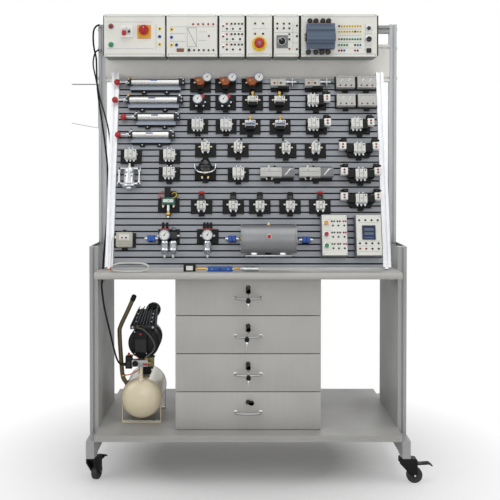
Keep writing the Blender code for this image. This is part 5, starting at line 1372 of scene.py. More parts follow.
def model_gauge(s):
    """Filter unit with two knurled knobs, a red band and a gauge."""
    w, h, front, middle = body_frame("gauge")
    s.tapered((-w / 2, front, -h / 2), (w / 2, BODY_BACK, h / 2), "dark_grey", FORWARD, 0.9, 0.002)
    for x in (-0.0055, 0.0055):
        s.turned(rows(-1, 4.8, 6, 4.8, 7, 4, 11, 4), "black_moulding", (x, middle, h / 2), UP, 14)
        add_knurled(s, (x, middle, h / 2 + 0.010), UP, 0.0046, 0.019, "black_moulding", 12)
    s.turned(rows(-1, 8.5, 6, 9.2, 6.8, 8), "red_moulding", (0.010, front + 0.001, 0.0150), FORWARD)
    add_gauge(s, (-0.008, front - 0.0002, 0.003), GAUGE_RADIUS, "gauge_rim", GAUGE_THICKNESS - 0.0006)
    add_fittings(s, (-0.34 * w, 0.34 * w), middle, -h / 2, DOWN, "turned_alloy", "black_moulding")
    add_fitting(s, (w / 2, middle, -h * 0.1), RIGHT, "turned_alloy", "black_moulding")


def model_sensor(s):
    """Proximity sensor: terminal box, probe and the white plate it points at."""
    front, middle = body_frame("sensor")[2:]
    s.recessed((-0.040, front, -0.0135), (0.0195, BODY_BACK, 0.0135), "box_grey", FORWARD, 0.0016, 0.0008)
    for index, finish in enumerate(("red_moulding", "yellow_moulding", "black_gloss")):
        add_socket(s, (-0.025 + index * 0.0125, front + 0.0008, -0.0035), finish)
    add_marks(s, -0.012, front + 0.0008, 0.0075, 0.0020)
    start = Vector((0.0190, middle, 0.006))
    probe = rows(
        0, 4.8, 6, 4.8, 6, 7.2, 11, 7.2, 11, 4.8, 22, 4.8, 22, 7.2, 26.2, 7.2, 26.2, 4.8, 44, 4.8, 45, 4
    )
    s.turned(probe, "turned_alloy", start, RIGHT, 16)
    s.block((0.0458, front + 0.002, -0.012), (0.0480, PLATE_BACK, 0.019), "white_moulding")
    s.turned(rows(44.5, 5, 52, 5, 53.2, 3.4), "green_moulding", start, RIGHT, 14)
    s.block((-0.010, front + 0.008, -0.024), (0.028, BODY_BACK, -0.013), "black_moulding", 0.0014, 2)
    s.block((-0.038, PLATE_FRONT, -0.028), (0.034, PLATE_BACK, -0.008), "plate_black", 0.001)
    s.block((-TAB_HALF, PLATE_FRONT, -0.038), (TAB_HALF, PLATE_BACK, -0.027), "plate_black", 0.001)
    s.block((-0.030, BODY_BACK - 0.001, -0.010), (0.030, PLATE_BACK, 0.010), "box_grey", 0.001)


def model_terminals(s):
    """Terminal box with three sockets and two slanted levers."""
    w, h, front = body_frame("terminals")[:3]
    s.recessed((-w / 2, front, -h / 2), (w / 2, BODY_BACK, h / 2), "box_grey", FORWARD, 0.0018, 0.0007)
    for index, finish in enumerate(("red_moulding", "black_gloss", "red_moulding")):
        add_socket(s, ((index - 1) * w * 0.30, front + 0.0007, -h * 0.33), finish, 0.0034)
    for side in (-1, 1):
        x = side * w * 0.20
        points = at_depth(
            front + 0.0008, (x - 0.007, -h * 0.05), (x - 0.004, -h * 0.05), (x + 0.006, h * 0.28),
            (x + 0.003, h * 0.28)
        )
        s.outline(points, FORWARD * 0.0016, "turned_alloy", 0.0003)
        s.turned(
            rows(0, 2, 2.4, 2, 2.8, 1.4), "polished_steel", (x - 0.0055, front + 0.0008, -h * 0.05), FORWARD,
            SCREW_SIDES
        )
    s.block((-w * 0.42, front + 0.0005, h * 0.34), (w * 0.42, front + 0.0009, h * 0.365), "module_line", 0)


def model_knob(s, with_strip=False):
    """Valve with a brass throttle knob, with or without a blue strip."""
    front, middle = body_frame("knob")[2:]
    s.block((-0.0165, front + 0.004, -0.0175), (0.0165, BODY_BACK, -0.001), "black_moulding", 0.0018, 2)
    valve_body(s, -0.0205, 0.0205, -0.0030, 0.0195, front)
    if with_strip:
        s.block((-0.0190, front - 0.0018, 0.0010), (0.0190, front + 0.001, 0.0075), "blue_label")
    s.turned(rows(-1, 6.6, 3, 6.6, 3, 4, 11, 4), "brass", (0, middle, 0.0195), UP, SMALL_SIDES)
    add_knurled(s, (0, middle, 0.0295), UP, 0.0060, 0.0125, "brass", 14)
    for side in (-1, 1):
        add_fitting(s, (side * 0.0202, middle, 0.007), RIGHT * side)


def add_end_box(s, left, right, low, high, front):
    """A white connector box with a red dot over a black one."""
    s.block((left, front, low), (right, BODY_BACK, high), "white_moulding", 0.0014, 2)
    x = (left + right) / 2
    add_socket(s, (x, front + 0.0002, low + (high - low) * 0.68), "red_moulding", 0.0042)
    add_socket(s, (x, front + 0.0002, low + (high - low) * 0.28), "black_gloss", 0.0042)


def model_solenoid(s):
    """Solenoid valve with one coil and its plug."""
    front, middle = body_frame("solenoid")[2:]
    valve_body(s, -0.035, 0.0085, -0.0115, 0.0265, front)
    add_fittings(s, (-0.0275, -0.0130, 0.0015), middle, -0.0112, DOWN)
    add_fittings(s, (-0.0200, -0.0060), middle, 0.0262, UP)
    add_coil(s, 0.0080, 0.0290, -0.0150, 0.0230, front + 0.003)
    add_coil_plug(s, 1, 0.0285, 0.0555, front + 0.004)
    s.turned(rows(-1, 8, 6, 8, 7.5, 6.6), "black_moulding", (-0.035, middle, 0.007), LEFT, 16)


def model_spool(s):
    """Plain spool valve with fittings above and below."""
    w, h, front, middle = body_frame("spool")
    valve_body(s, -w / 2, w / 2, -h * 0.42, h * 0.58, front)
    add_fittings(s, (-0.30 * w, 0, 0.30 * w), middle, -h * 0.42, DOWN)
    add_fittings(s, (-0.16 * w, 0.16 * w), middle, h * 0.575, UP, "black_moulding")
    add_fitting(s, (w / 2, middle, 0.004), RIGHT, "turned_alloy", "black_moulding")
    s.turned(rows(-1, 9.5, 6, 9.5, 7.5, 8), "black_moulding", (-w / 2, middle, 0.003), LEFT, 16)


def model_roller(s, side=-1):
    """Roller-lever valve, its lever on one side."""
    front, middle = body_frame("roller")[2:]
    low, high = 0.008 - 0.0165, 0.008 + 0.0165
    valve_body(s, -0.0165, 0.0165, low, high, front)
    for turn in (-1, 1):
        add_fitting(s, (turn * 0.0162, middle, 0.008), RIGHT * turn)
    add_fittings(s, (-0.010, 0.010), middle, low + 0.0004, DOWN)
    s.turned(rows(-1, 5.2, 3, 5.2, 4, 3, 7.5, 3), "polished_steel", (side * -0.004, middle, high), UP, 14)
    foot = Vector((side * -0.010, middle, high))
    lever = [
        (-0.003, -0.001), (0.003, -0.001), (0.006, 0.006), (0.022, 0.0135), (0.0205, 0.0165),
        (0.003, 0.0095)
    ]
    points = [foot + Vector((x * side, -0.003, z)) for x, z in lever]
    s.outline(points, BACK * 0.0018, "polished_steel", 0)
    s.outline([point + BACK * 0.0042 for point in points], BACK * 0.0018, "polished_steel", 0)
    s.turned(rows(-0.8, 4.4, 0, 5, 4.8, 5, 5.6, 4.4), "black_moulding",
             foot + Vector((side * 0.0215, -0.0024, 0.0155)), BACK, 18)


def model_double(s):
    """Solenoid valve with a coil at both ends on a wide rounded foot."""
    front, middle = body_frame("double")[2:]
    foot = [(math.cos(math.radians(15 * step)), math.sin(math.radians(15 * step))) for step in range(24)]
    points = [
        (math.copysign(abs(a) ** 0.5, a) * 0.046, PLATE_FRONT, math.copysign(abs(b) ** 0.5, b) * 0.029)
        for a, b in foot
    ]
    s.outline(points, FORWARD * 0.008, "black_moulding", 0.0008)
    valve_body(s, -0.022, 0.022, -0.0145, 0.0215, front)
    add_fittings(s, (-0.0145, 0, 0.0145), middle, -0.0142, DOWN)
    add_fittings(s, (-0.008, 0.008), middle, 0.0212, UP, "black_moulding")
    for side in (-1, 1):
        left, right = sorted((side * 0.0215, side * 0.0525))
        add_coil(s, left, right, -0.0110, 0.0180, front + 0.004)
        add_coil_plug(s, side, 0.0515, 0.0785, front + 0.004)


def model_rotary(s):
    """Rotary actuator: drum between two flanges and their tie rods."""
    front, middle = body_frame("rotary")[2:]
    low, high = -0.022, 0.038
    for level in (low - 0.003, high - 0.003):
        s.block(
            (-0.0450, front + 0.002, level), (0.0450, BODY_BACK + 0.002, level + 0.006), "turned_alloy",
            0.0012, 2
        )
        for x in (-0.038, 0.038):
            s.turned(
                rows(-0.4, 4, 1.6, 4, 1.6, 2.4), "black_gloss", (x, front + 0.0022, level + 0.003), FORWARD,
                SCREW_SIDES
            )
    s.turned(
        [(low, 0.0200), (low + 0.005, 0.0210), (high - 0.005, 0.0210), (high, 0.0200)], "turned_alloy",
        (0, middle - 0.002, 0), UP, 36
    )
    for x in (-0.0385, 0.0385):
        s.turned([(low, 0.0038), (high, 0.0038)], "chrome", (x, middle, 0), UP, SMALL_SIDES)
        for start, end in ((low + 0.002, low + 0.012), (high - 0.012, high - 0.002)):
            s.turned(
                [(start, 0.0052), (start, 0.0068), (end, 0.0068), (end, 0.0052)], "turned_alloy",
                (x, middle, 0), UP, SMALL_SIDES
            )
    flange = rows(24, 20, 26.5, 27.5, 32.5, 27.5, 36, 24, 36, 12, 41.5, 11, 41.5, 7.5, 36, 7)
    s.turned(flange, "turned_alloy", (0, middle, 0), DOWN, 36)
    s.paint("black_gloss")
    for x in (-0.012, 0.012):
        s.turned(
            rows(0, 2.6, 1, 2.6, 1, 1.6), "black_gloss", (x, middle - 0.0222, 0.006), FORWARD, SCREW_SIDES
        )
        add_fitting(s, (x, middle - 0.0195, 0.022), FORWARD, "turned_alloy")
    s.turned(
        [(high, 0.0060), (high + 0.012, 0.0060), (high + 0.012, 0.0042), (high + 0.022, 0.0042)],
        "white_moulding", (0, middle, 0), UP, 14
    )
    s.block((-0.020, BODY_BACK, low), (0.020, PLATE_BACK, high - 0.008), "brushed_alloy", 0.001)


def model_dome(s):
    """Vacuum unit: black dome in a bent wire guard."""
    w, h, front, middle = body_frame("dome")
    s.block((-w / 2, front + 0.006, -h / 2), (w / 2, BODY_BACK, h / 2), "black_moulding", 0.0016, 2)
    r = GAUGE_RADIUS
    low = -0.010
    dome = [
        (0, r * 0.7), (r * 0.35, r * 1.15), (r * 1.1, r * 1.34), (r * 1.9, r * 1.28), (r * 2.5, r),
        (r * 2.9, r * 0.80), (r * 3.1, r * 0.5), (r * 3.2, r * 0.2)
    ]
    s.turned(dome, "black_gloss", (0, middle, low), UP, 36)
    for level in (0.022, 0.034):
        s.turned(
            [(level, r * 1.36), (level + 0.0016, r * 1.39), (level + 0.0032, r * 1.36)], "black_moulding",
            (0, middle, low), UP, 36
        )
    guard = [
        (0.041, 0.004, 0.030), (0.039, 0.010, 0.014), (0.030, 0.022, 0.000), (0.014, 0.030, -0.008),
        (0, 0.032, -0.010)
    ]
    for side in (-1, 1):
        arm = [(side * x, middle - y, z) for x, y, z in guard]
        s.tube(arm, 0.0030, "turned_alloy", sides=2, steps=4)
        s.block(
            (side * 0.041 - 0.003, middle - 0.006, 0.022), (side * 0.041 + 0.003, BODY_BACK, 0.032),
            "turned_alloy"
        )
        add_fitting(s, (side * 0.3 * w, middle, -h / 2), DOWN)
    s.turned(rows(0, 5.2, 4, 5.2, 5, 4, 3.6, 2), "brass", (0, middle - 0.030, -0.010), FORWARD, SMALL_SIDES)


def model_long(s):
    """Long two-part valve with a slanted lever."""
    w, h, front, middle = body_frame("long")
    s.block((-w * 0.5, front, -h / 2), (w * 0.12, BODY_BACK, h / 2), "box_grey", 0.0016, 2)
    s.block((w * 0.115, front + 0.001, -h / 2), (w * 0.5, BODY_BACK, h / 2), "grey_moulding", 0.0016, 2)
    s.block((-w * 0.46, front - 0.0004, h * 0.02), (w * 0.10, front + 0.001, h * 0.06), "module_line", 0)
    add_fitting(s, (-0.25 * w, middle, h / 2), UP)
    add_fitting(s, (-0.08 * w, middle, h / 2), UP, "black_moulding", "black_moulding")
    add_fittings(s, (-0.31 * w, -0.17 * w), middle, -h / 2, DOWN)
    for side in (-0.40, 0.05, 0.42):
        s.turned(
            rows(0, 2.6, 1, 2.6, 1.4, 2, 0.6, 1.2), "polished_steel", (side * w, front + 0.0002, h * 0.30),
            FORWARD, SCREW_SIDES
        )
    points = at_depth(
        front + 0.0012, (w * 0.20, -h * 0.32), (w * 0.245, -h * 0.32), (w * 0.40, h * 0.34),
        (w * 0.355, h * 0.34)
    )
    s.outline(points, FORWARD * 0.0016, "turned_alloy", 0.0003)
    add_marks(s, -w * 0.25, front, h * 0.2, 0.0022, "dark_grey")
    s.block(
        (-w * 0.29, front + 0.006, -h / 2 - 0.010), (-w * 0.21, BODY_BACK, -h / 2 + 0.001), "black_moulding",
        0.001
    )


def model_proportional(s):
    """Proportional valve: teal body, two coils, brass ball and looped leads."""
    front, middle = body_frame("proportional")[2:]
    s.tapered((-0.027, front, -0.0025), (0.027, BODY_BACK, 0.0265), "teal_moulding", FORWARD, 0.92, 0.0016)
    s.block((-0.020, front - 0.0006, 0.006), (0.020, front + 0.001, 0.018), "pale_moulding", 0.0004)
    add_marks(s, 0, front - 0.0006, 0.012, 0.0026)
    add_coil(s, -0.015, 0.007, 0.026, 0.066, front + 0.004, 6)
    add_coil(s, 0.0085, 0.0305, 0.029, 0.051, front + 0.005, 3)
    for x in (-0.020, 0.020):
        add_fitting(s, (x, middle, -0.0022), DOWN)
    s.turned(rows(0, 6, 20, 6, 21, 5, 26, 5), "turned_alloy", (0, middle, -0.0022), DOWN, 16)
    ball = [
        (
            0.0255 + 0.0095 * (1 - math.cos(math.radians(20 * step + 5))),
            0.0100 * math.sin(math.radians(20 * step + 5))
        )
        for step in range(9)
    ]
    s.turned(ball, "brass", (0, middle, -0.0022), DOWN, 20)
    s.turned(rows(44, 4.4, 50, 4.4, 51, 3.4), "turned_alloy", (0, middle, -0.0022), DOWN, 14)
    for index, finish in enumerate(("red_moulding", "yellow_moulding", "red_moulding", "handle_paint")):
        side = 1 if index % 2 else -1
        reach = 0.032 + 0.006 * (index // 2)
        loop = [
            (side * 0.012, front + 0.008, 0.040), (side * reach * 0.8, front - 0.002, 0.048 - 0.004 * index),
            (side * reach, front - 0.006, 0.034), (side * reach * 0.8, front - 0.005, 0.024),
            (side * 0.015, front - 0.001, 0.022)
        ]
        s.tube(loop, 0.0013, finish, sides=1, steps=4)


def neck_foot():
    """Where the neck of a push valve stands on its body."""
    height, depth = body_size("push")[1:]
    return Vector((0, BODY_BACK - depth / 2, height / 2 - 0.001))


def add_push_neck(s, with_plunger):
    """Threaded neck of a push valve; without a mushroom it carries its own short plunger."""
    base = neck_foot()
    radius = NECK_RADIUS * 1.3
    neck = [(0, radius)]
    for step in range(4):
        low = NECK_HEIGHT * (0.25 + 0.16 * step)
        neck += [
            (low, radius), (low + 0.0008, radius * 0.9), (low + 0.0020, radius * 0.9), (low + 0.0028, radius)
        ]
    neck.append((NECK_HEIGHT - 0.0008, radius))
    neck.append((NECK_HEIGHT, radius * 0.93))
    if with_plunger:
        neck += [
            (NECK_HEIGHT, NECK_RADIUS * 1.2), (NECK_HEIGHT * 1.34, NECK_RADIUS * 1.2),
            (NECK_HEIGHT * 1.4, NECK_RADIUS * 1.08)
        ]
    else:
        bore = STEM_RADIUS + RUNNING_GAP
        neck += [(NECK_HEIGHT, bore), (0.006, bore)]
    s.turned(neck, "black_moulding", base, UP)
    for step in range(3):
        low = NECK_HEIGHT * (0.2 + 0.26 * step)
        s.turned(
            [
                (low, radius * 1.0), (low + 0.0004, radius * 1.03), (low + 0.0012, radius * 1.03),
                (low + 0.0016, radius)
            ],
            "grey_moulding", base, UP
        )


def model_push(s, with_plunger=False):
    """Push-button valve: its body and threaded neck."""
    front, middle = body_frame("push")[2:]
    valve_body(s, -0.0165, 0.0165, -0.0155, 0.0168, front)
    for side in (-1, 1):
        add_fitting(s, (side * 0.0162, middle, 0.004), RIGHT * side, "turned_alloy")
    add_fittings(s, (-0.0095, 0.0095), middle, -0.0152, DOWN)
    add_push_neck(s, with_plunger)


def model_pressure(s):
    """Pressure switch with its display and the outlet of its cable."""
    w, h = PRESSURE_FACE
    front, middle = body_frame("pressure")[2:]
    s.block((-w / 2, front, -h / 2), (w / 2, BODY_BACK, h / 2), "sensor_cream", 0.006, 4)
    for step in range(3):
        z = -h * 0.36 + step * h * 0.11
        s.block(
            (-w * 0.44, front - 0.0006, z), (w * 0.44, front + 0.001, z + 0.0016), "grey_moulding", 0.0003
        )
    s.recessed(
        (-w * 0.3, front - 0.0012, -h * 0.02), (w * 0.3, front + 0.001, h * 0.34), "pale_moulding", FORWARD,
        0.0012, 0.0006
    )
    s.turned(rows(-1, 9, 4, 8.6, 8, 7.2, 9, 6), "black_moulding", (0, middle, h / 2), UP)
    cap = [
        (-0.0006, GLAND_RADIUS), (0.004, GLAND_RADIUS), (0.0045, GLAND_RADIUS * 0.8),
        (GLAND_LENGTH * 0.85, GLAND_RADIUS * 0.7), (GLAND_LENGTH, SENSOR_RADIUS * 1.5),
        (GLAND_LENGTH, SENSOR_RADIUS * 1.1), (GLAND_LENGTH * 0.6, SENSOR_RADIUS)
    ]
    s.turned(cap, "white_moulding", (-SENSOR_WIDTH / 2, middle, SENSOR_HEIGHT * 0.2), LEFT, 16)
    s.block(
        (-SENSOR_WIDTH / 2 - 0.0002, middle - 0.008, SENSOR_HEIGHT * 0.2 - 0.008),
        (-w / 2 + 0.002, middle + 0.008, SENSOR_HEIGHT * 0.2 + 0.008), "sensor_cream", 0.001
    )
    add_socket(s, (-w * 0.12, front - 0.0006, h * 0.10), "red_moulding", 0.0034)
    add_socket(s, (w * 0.12, front - 0.0006, h * 0.10), "black_gloss", 0.0034)


# Each row of the panel: the slot its clips sit in, and its components' kinds and places.
ROWS = [
    (
        29,
        [
            ("regulator", -0.183, 0.929), ("regulator", -0.086, 0.929), ("regulator", 0.017, 0.929),
            ("sensor", 0.127, 0.931), ("sensor", 0.259, 0.931), ("terminals", 0.3775, 0.937),
            ("terminals", 0.4588, 0.937)
        ]
    ),
    (
        26,
        [
            ("gauge", -0.184, 0.8345), ("gauge", -0.085, 0.8345), ("knob", 0.019, 0.833),
            ("knob", 0.122, 0.833), ("solenoid", 0.263, 0.833), ("terminals", 0.3775, 0.841),
            ("terminals", 0.4588, 0.841)
        ]
    ),
    (
        22,
        [
            ("spool", -0.192, 0.710), ("spool", -0.083, 0.710), ("knob_blue", 0.009, 0.7065),
            ("knob_blue", 0.124, 0.7065), ("solenoid", 0.263, 0.7065), ("solenoid", 0.428, 0.7065)
        ]
    ),
    (
        17,
        [
            ("spool", -0.444, 0.5534), ("spool", -0.2975, 0.5534), ("roller", -0.161, 0.5876),
            ("roller_right", -0.037, 0.5876), ("roller", 0.145, 0.583), ("roller_right", 0.2575, 0.583),
            ("double", 0.422, 0.583)
        ]
    ),
    (
        14,
        [
            ("rotary", -0.447, 0.4367), ("spool", -0.2975, 0.4634), ("dome", -0.161, 0.468),
            ("spool", -0.036, 0.461), ("long", 0.111, 0.465), ("long", 0.257, 0.465), ("double", 0.425, 0.453)
        ]
    ),
    (
        9,
        [
            ("proportional", -0.2975, 0.3055), ("push", -0.174, 0.299), ("push", -0.055, 0.299),
            ("push", 0.0445, 0.299), ("push", 0.158, 0.299), ("push", 0.270, 0.299), ("double", 0.4225, 0.327)
        ]
    ),
    (4, [("pressure", -0.458, 0.131)])
]
MUSHROOM_PLACES = (-0.174, 0.270)
MUSHROOM_UP = 0.299
SLOT_HALF = 0.0026
SLAT_REACH = 0.0070
FIRST_SLOT = 0.0135
SLOT_PITCH = 0.025
SLOT_COUNT = 30
SLOT_FLOOR_HALF = 0.5155
SLOT_FLOOR_FRONT = 0.0150
SLOT_FLOOR_THICKNESS = 0.0012
SLOT_FLOOR_RISE = 0.0112
BARE_KINDS = ("sensor", "rotary")
MODELS = {
    "regulator": model_regulator, "sensor": model_sensor, "terminals": model_terminals, "gauge": model_gauge,
    "knob": model_knob, "solenoid": model_solenoid, "spool": model_spool, "roller": model_roller,
    "double": model_double, "rotary": model_rotary, "dome": model_dome, "long": model_long,
    "proportional": model_proportional, "push": model_push, "pressure": model_pressure,
    "knob_blue": lambda s: model_knob(s, True), "roller_right": lambda s: model_roller(s, 1),
    "plunger": lambda s: model_push(s, True),
}


def at_panel(across_share, up_share):
    """The place of a component's middle, in the shared frame."""
    return ON_PANEL @ Matrix.Translation((panel_x(across_share), 0, panel_v(up_share)))


def hung(piece, place):
    """Moves a modelled piece to its place on the panel."""
    piece.data.transform(at_panel(*place))
    return piece


def component_models():
    """Models each kind of component once on its base plate."""
    made = {}
    for kind, model in MODELS.items():
        shape = Shape(f"{kind}_model")
        if kind not in BARE_KINDS:
            add_plate(shape, 0.96 * body_size("long")[0] if kind == "long" else UNIT)
        model(shape)
        made[kind] = shape.done()
    return made


def make_clip_strip(number, left, right):
    """The clips' bar in a slot, painted dark as the shade in the slot, with one sprung clip at each end."""
    s = Shape("clip_strip")
    v = POST_START + FIRST_SLOT + number * SLOT_PITCH
    # The bar carries painted shade: dark like the inside of its slot.
    s.block((left, PLATE_BACK - SEAT_GAP, v - SLOT_HALF), (right, SLAT_REACH, v + SLOT_HALF), "painted_slot_shade")
    for x in (left, right):
        s.block(
            (x - 0.008, PLATE_BACK - 0.002, v - SLOT_HALF), (x + 0.008, SLAT_REACH, v + SLOT_HALF),
            "black_moulding", 0.0005
        )
    return s.done(ON_PANEL)


# What hangs on the last row beside the components.
BOWL_RADIUS = 0.012
BOWL_HEIGHT = 0.066
FILTERS = [((-0.2945, 0.150), (-1.15, 1.55)), ((-0.150, 0.150), (0.0,))]
TEES = [(-0.3585, 0.1375), (-0.059, 0.136), (0.215, 0.131)]
RESERVOIR_PLACE = (0.075, 0.1286)
RESERVOIR_RADIUS = 0.055
RESERVOIR_LENGTH = 0.211
RESERVOIR_CAP = 0.008
MODULE_PLACES = [(0.3173, 0.1477), (0.443, 0.1477)]
MODULE_WIDTH = 0.098
MODULE_HEIGHT = 0.158
MODULE_DEPTH = 0.055
MODULE_FACE = PLATE_BACK - MODULE_DEPTH
BUTTON_PLACES = [(-0.316, 0.294), (-0.316, 0.019), (-0.316, -0.256)]
BUTTON_FINISHES = ["amber_lens", "red_moulding", "green_moulding"]
BUTTON_RADIUS = 0.0080
BUTTON_RING = 0.0095
BUTTON_RING_HEIGHT = 0.006
BUTTON_STAND = 0.004
BUTTON_TRAVEL = 0.003
BUTTON_CLEARANCE = 0.0012


def make_filter(bowls):
    """A filter and regulator set: head block, gauge, red band, knobs and the bowls under it."""
    s = Shape("filter_set")
    add_plate(s)
    r = BOWL_RADIUS
    depth, width = r * 2.6, r * (2.4 * len(bowls) + 0.6)
    front, middle = BODY_BACK - depth, BODY_BACK - depth / 2
    s.block((-width / 2, front, -r), (width / 2, BODY_BACK, r), "dark_grey", 0.002, 2)
    gauge_x = bowls[0] * r
    for side in (-1, 1):
        add_fitting(s, (side * width / 2, middle, 0), RIGHT * side, "turned_alloy", "white_moulding")
    for shift in bowls:
        x = shift * r
        wide = r * 1.18
        s.turned(
            [(0.001, wide * 1.06), (-0.007, wide * 1.08), (-0.010, wide)], "black_moulding", (x, middle, -r),
            UP
        )
        top = -0.009
        bowl = [
            (top, wide), (-BOWL_HEIGHT * 0.66, wide), (-BOWL_HEIGHT * 0.84, wide * 0.86),
            (-BOWL_HEIGHT + 0.007, wide * 0.6), (-BOWL_HEIGHT + 0.005, wide * 0.35)
        ]
        s.turned(bowl, "clear_bowl", (x, middle, -r), UP)
        core = [(top, wide * 0.62), (-BOWL_HEIGHT * 0.55, wide * 0.62), (-BOWL_HEIGHT * 0.6, wide * 0.3)]
        s.turned(core, "white_moulding", (x, middle, -r), UP, 16)
        for low in (0.2, 0.62):
            s.turned(
                [
                    (-BOWL_HEIGHT * low - 0.003, wide * 1.03), (-BOWL_HEIGHT * low, wide * 1.05),
                    (-BOWL_HEIGHT * low + 0.003, wide * 1.03)
                ],
                "chrome", (x, middle, -r), UP
            )
        s.turned(
            [(-BOWL_HEIGHT + 0.0055, 0.0044), (-BOWL_HEIGHT - 0.003, 0.0040), (-BOWL_HEIGHT - 0.006, 0.0026)],
            "white_moulding", (x, middle, -r), UP, SMALL_SIDES
        )
    s.turned(
        [(-0.001, r * 1.02), (0.009, r * 1.02), (0.009, r * 1.2), (0.0135, r * 1.2), (0.0145, r)],
        "red_moulding", (gauge_x, middle, r), UP
    )
    knobs = (-0.0075, 0.0075) if len(bowls) > 1 else (-0.0125, 0, 0.0125)
    for shift in knobs:
        add_knurled(s, (gauge_x + shift, middle, r + 0.0135), UP, 0.0056, 0.026, "black_moulding", 10)
    if len(bowls) > 1:
        x = bowls[1] * r
        s.turned(rows(-1, 10, 8, 9.4, 10, 7), "black_moulding", (x, middle, r), UP)
        s.turned(rows(9.5, 7.6, 18, 7, 22, 4), "clear_bowl", (x, middle, r), UP)
    s.block(
        (gauge_x - 0.018, front + 0.002, r + 0.0075), (gauge_x + 0.018, front + 0.014, r + 0.0135),
        "red_moulding", 0.002
    )
    add_gauge(s, (gauge_x, front + 0.001, -0.001), GAUGE_RADIUS * 1.08)
    return s.done()


def make_tee():
    """A blue tee of two lobes with its push-in ends."""
    s = Shape("tee_piece")
    r = FITTING_RADIUS
    s.block((-r * 2.2, PLATE_FRONT, -r * 2), (r * 2.2, PLATE_BACK, r * 2), "plate_black", 0.001)
    front = PLATE_FRONT - r * 3
    for side in (-1, 1):
        left, right = sorted((side * 0.0004, side * 0.0160))
        s.block((left, front, -0.0115), (right, PLATE_FRONT + 0.0005, 0.0125), "blue_moulding", 0.0035, 3)
        s.turned(rows(-4, 6, 5, 6, 6, 4.6, 10, 4.6, 10, 3), "turned_alloy",
                 (side * 0.0160, front + r * 1.5, 0), RIGHT * side, 16)
    s.block((-0.004, front + 0.002, -0.006), (0.004, PLATE_FRONT, 0.007), "blue_moulding", 0.001)
    return s.done()


def make_reservoir():
    """Brushed air reservoir with flared caps, clamp screws, foot plate, top port and red knob."""
    s = Shape("air_reservoir")
    r, length, cap = RESERVOIR_RADIUS, RESERVOIR_LENGTH, RESERVOIR_CAP
    axis_y = PLATE_BACK - 0.002 - r
    shell = r * 0.955
    profile = [
        (0, r * 0.86), (0.0010, r * 0.97), (0.0018, r), (cap - 0.0006, r), (cap, shell),
        (length - cap, shell), (length - cap + 0.0006, r), (length - 0.0018, r), (length - 0.001, r * 0.97),
        (length, r * 0.86)
    ]
    # The shell and its bands are darker than bare aluminium: a painted dark reflection of the surroundings.
    s.turned(profile, "alloy_painted_dark_reflection", (-length / 2, axis_y, 0), RIGHT, 64)
    for side in (-1, 1):
        band = [(-0.0035, shell), (-0.0035, shell * 1.012), (0.0035, shell * 1.012), (0.0035, shell)]
        s.turned(band, "alloy_painted_dark_reflection", (side * (length / 2 - cap - 0.004), axis_y, 0), RIGHT, 64)
    for side in (-1, 1):
        for step in range(8):
            angle = math.radians(22.5 + 45 * step)
            place = (side * length / 2, axis_y + math.cos(angle) * r * 0.74, math.sin(angle) * r * 0.74)
            s.turned(
                rows(-0.8, 3.2, 1.4, 3.2, 2, 2.6, 0.8, 1.6), "polished_steel", place, RIGHT * side, HEX_SIDES
            )
        s.turned(
            rows(-0.8, 8, 2, 8, 2, 6, 0.4, 5.6), "brass", (side * length / 2, axis_y, 0), RIGHT * side, 16
        )
    s.recessed(
        (-length * 0.48, PLATE_BACK - 0.003, -r * 1.05), (length * 0.48, PLATE_BACK, r * 1.05), "cast_alloy",
        FORWARD, 0.004, 0.0005
    )
    for side in (-1, 1):
        x = side * length * 0.26
        s.block(
            (x - 0.012, PLATE_BACK - 0.030, -r * 1.12), (x + 0.012, PLATE_BACK - 0.002, r * 0.9),
            "polished_steel", 0.002, 2
        )
    s.block(
        (-length * 0.42, PLATE_BACK - 0.034, -r * 1.15), (length * 0.42, PLATE_BACK - 0.004, -r * 1.03),
        "brushed_alloy", 0.0016, 2
    )
    s.block(
        (-length * 0.05, PLATE_BACK - r / 2, -r * 1.04), (length * 0.05, PLATE_BACK - 0.002, r * 0.5),
        "black_moulding", 0.002, 2
    )
    add_fitting(s, (0, axis_y, shell * 0.985), UP)
    s.turned(
        rows(-1, 9, 3, 9, 3.6, 8.2, 3.6, 5, 4.2, 4.6), "chrome", (0, axis_y - shell * 0.985, 0), FORWARD, 20
    )
    knob = rows(4, 6, 4.8, 7.4, 9, 7.4, 10, 6)
    s.turned(knob, "red_moulding", (0, axis_y - shell * 0.985, 0), FORWARD, 20)
    return s.done()


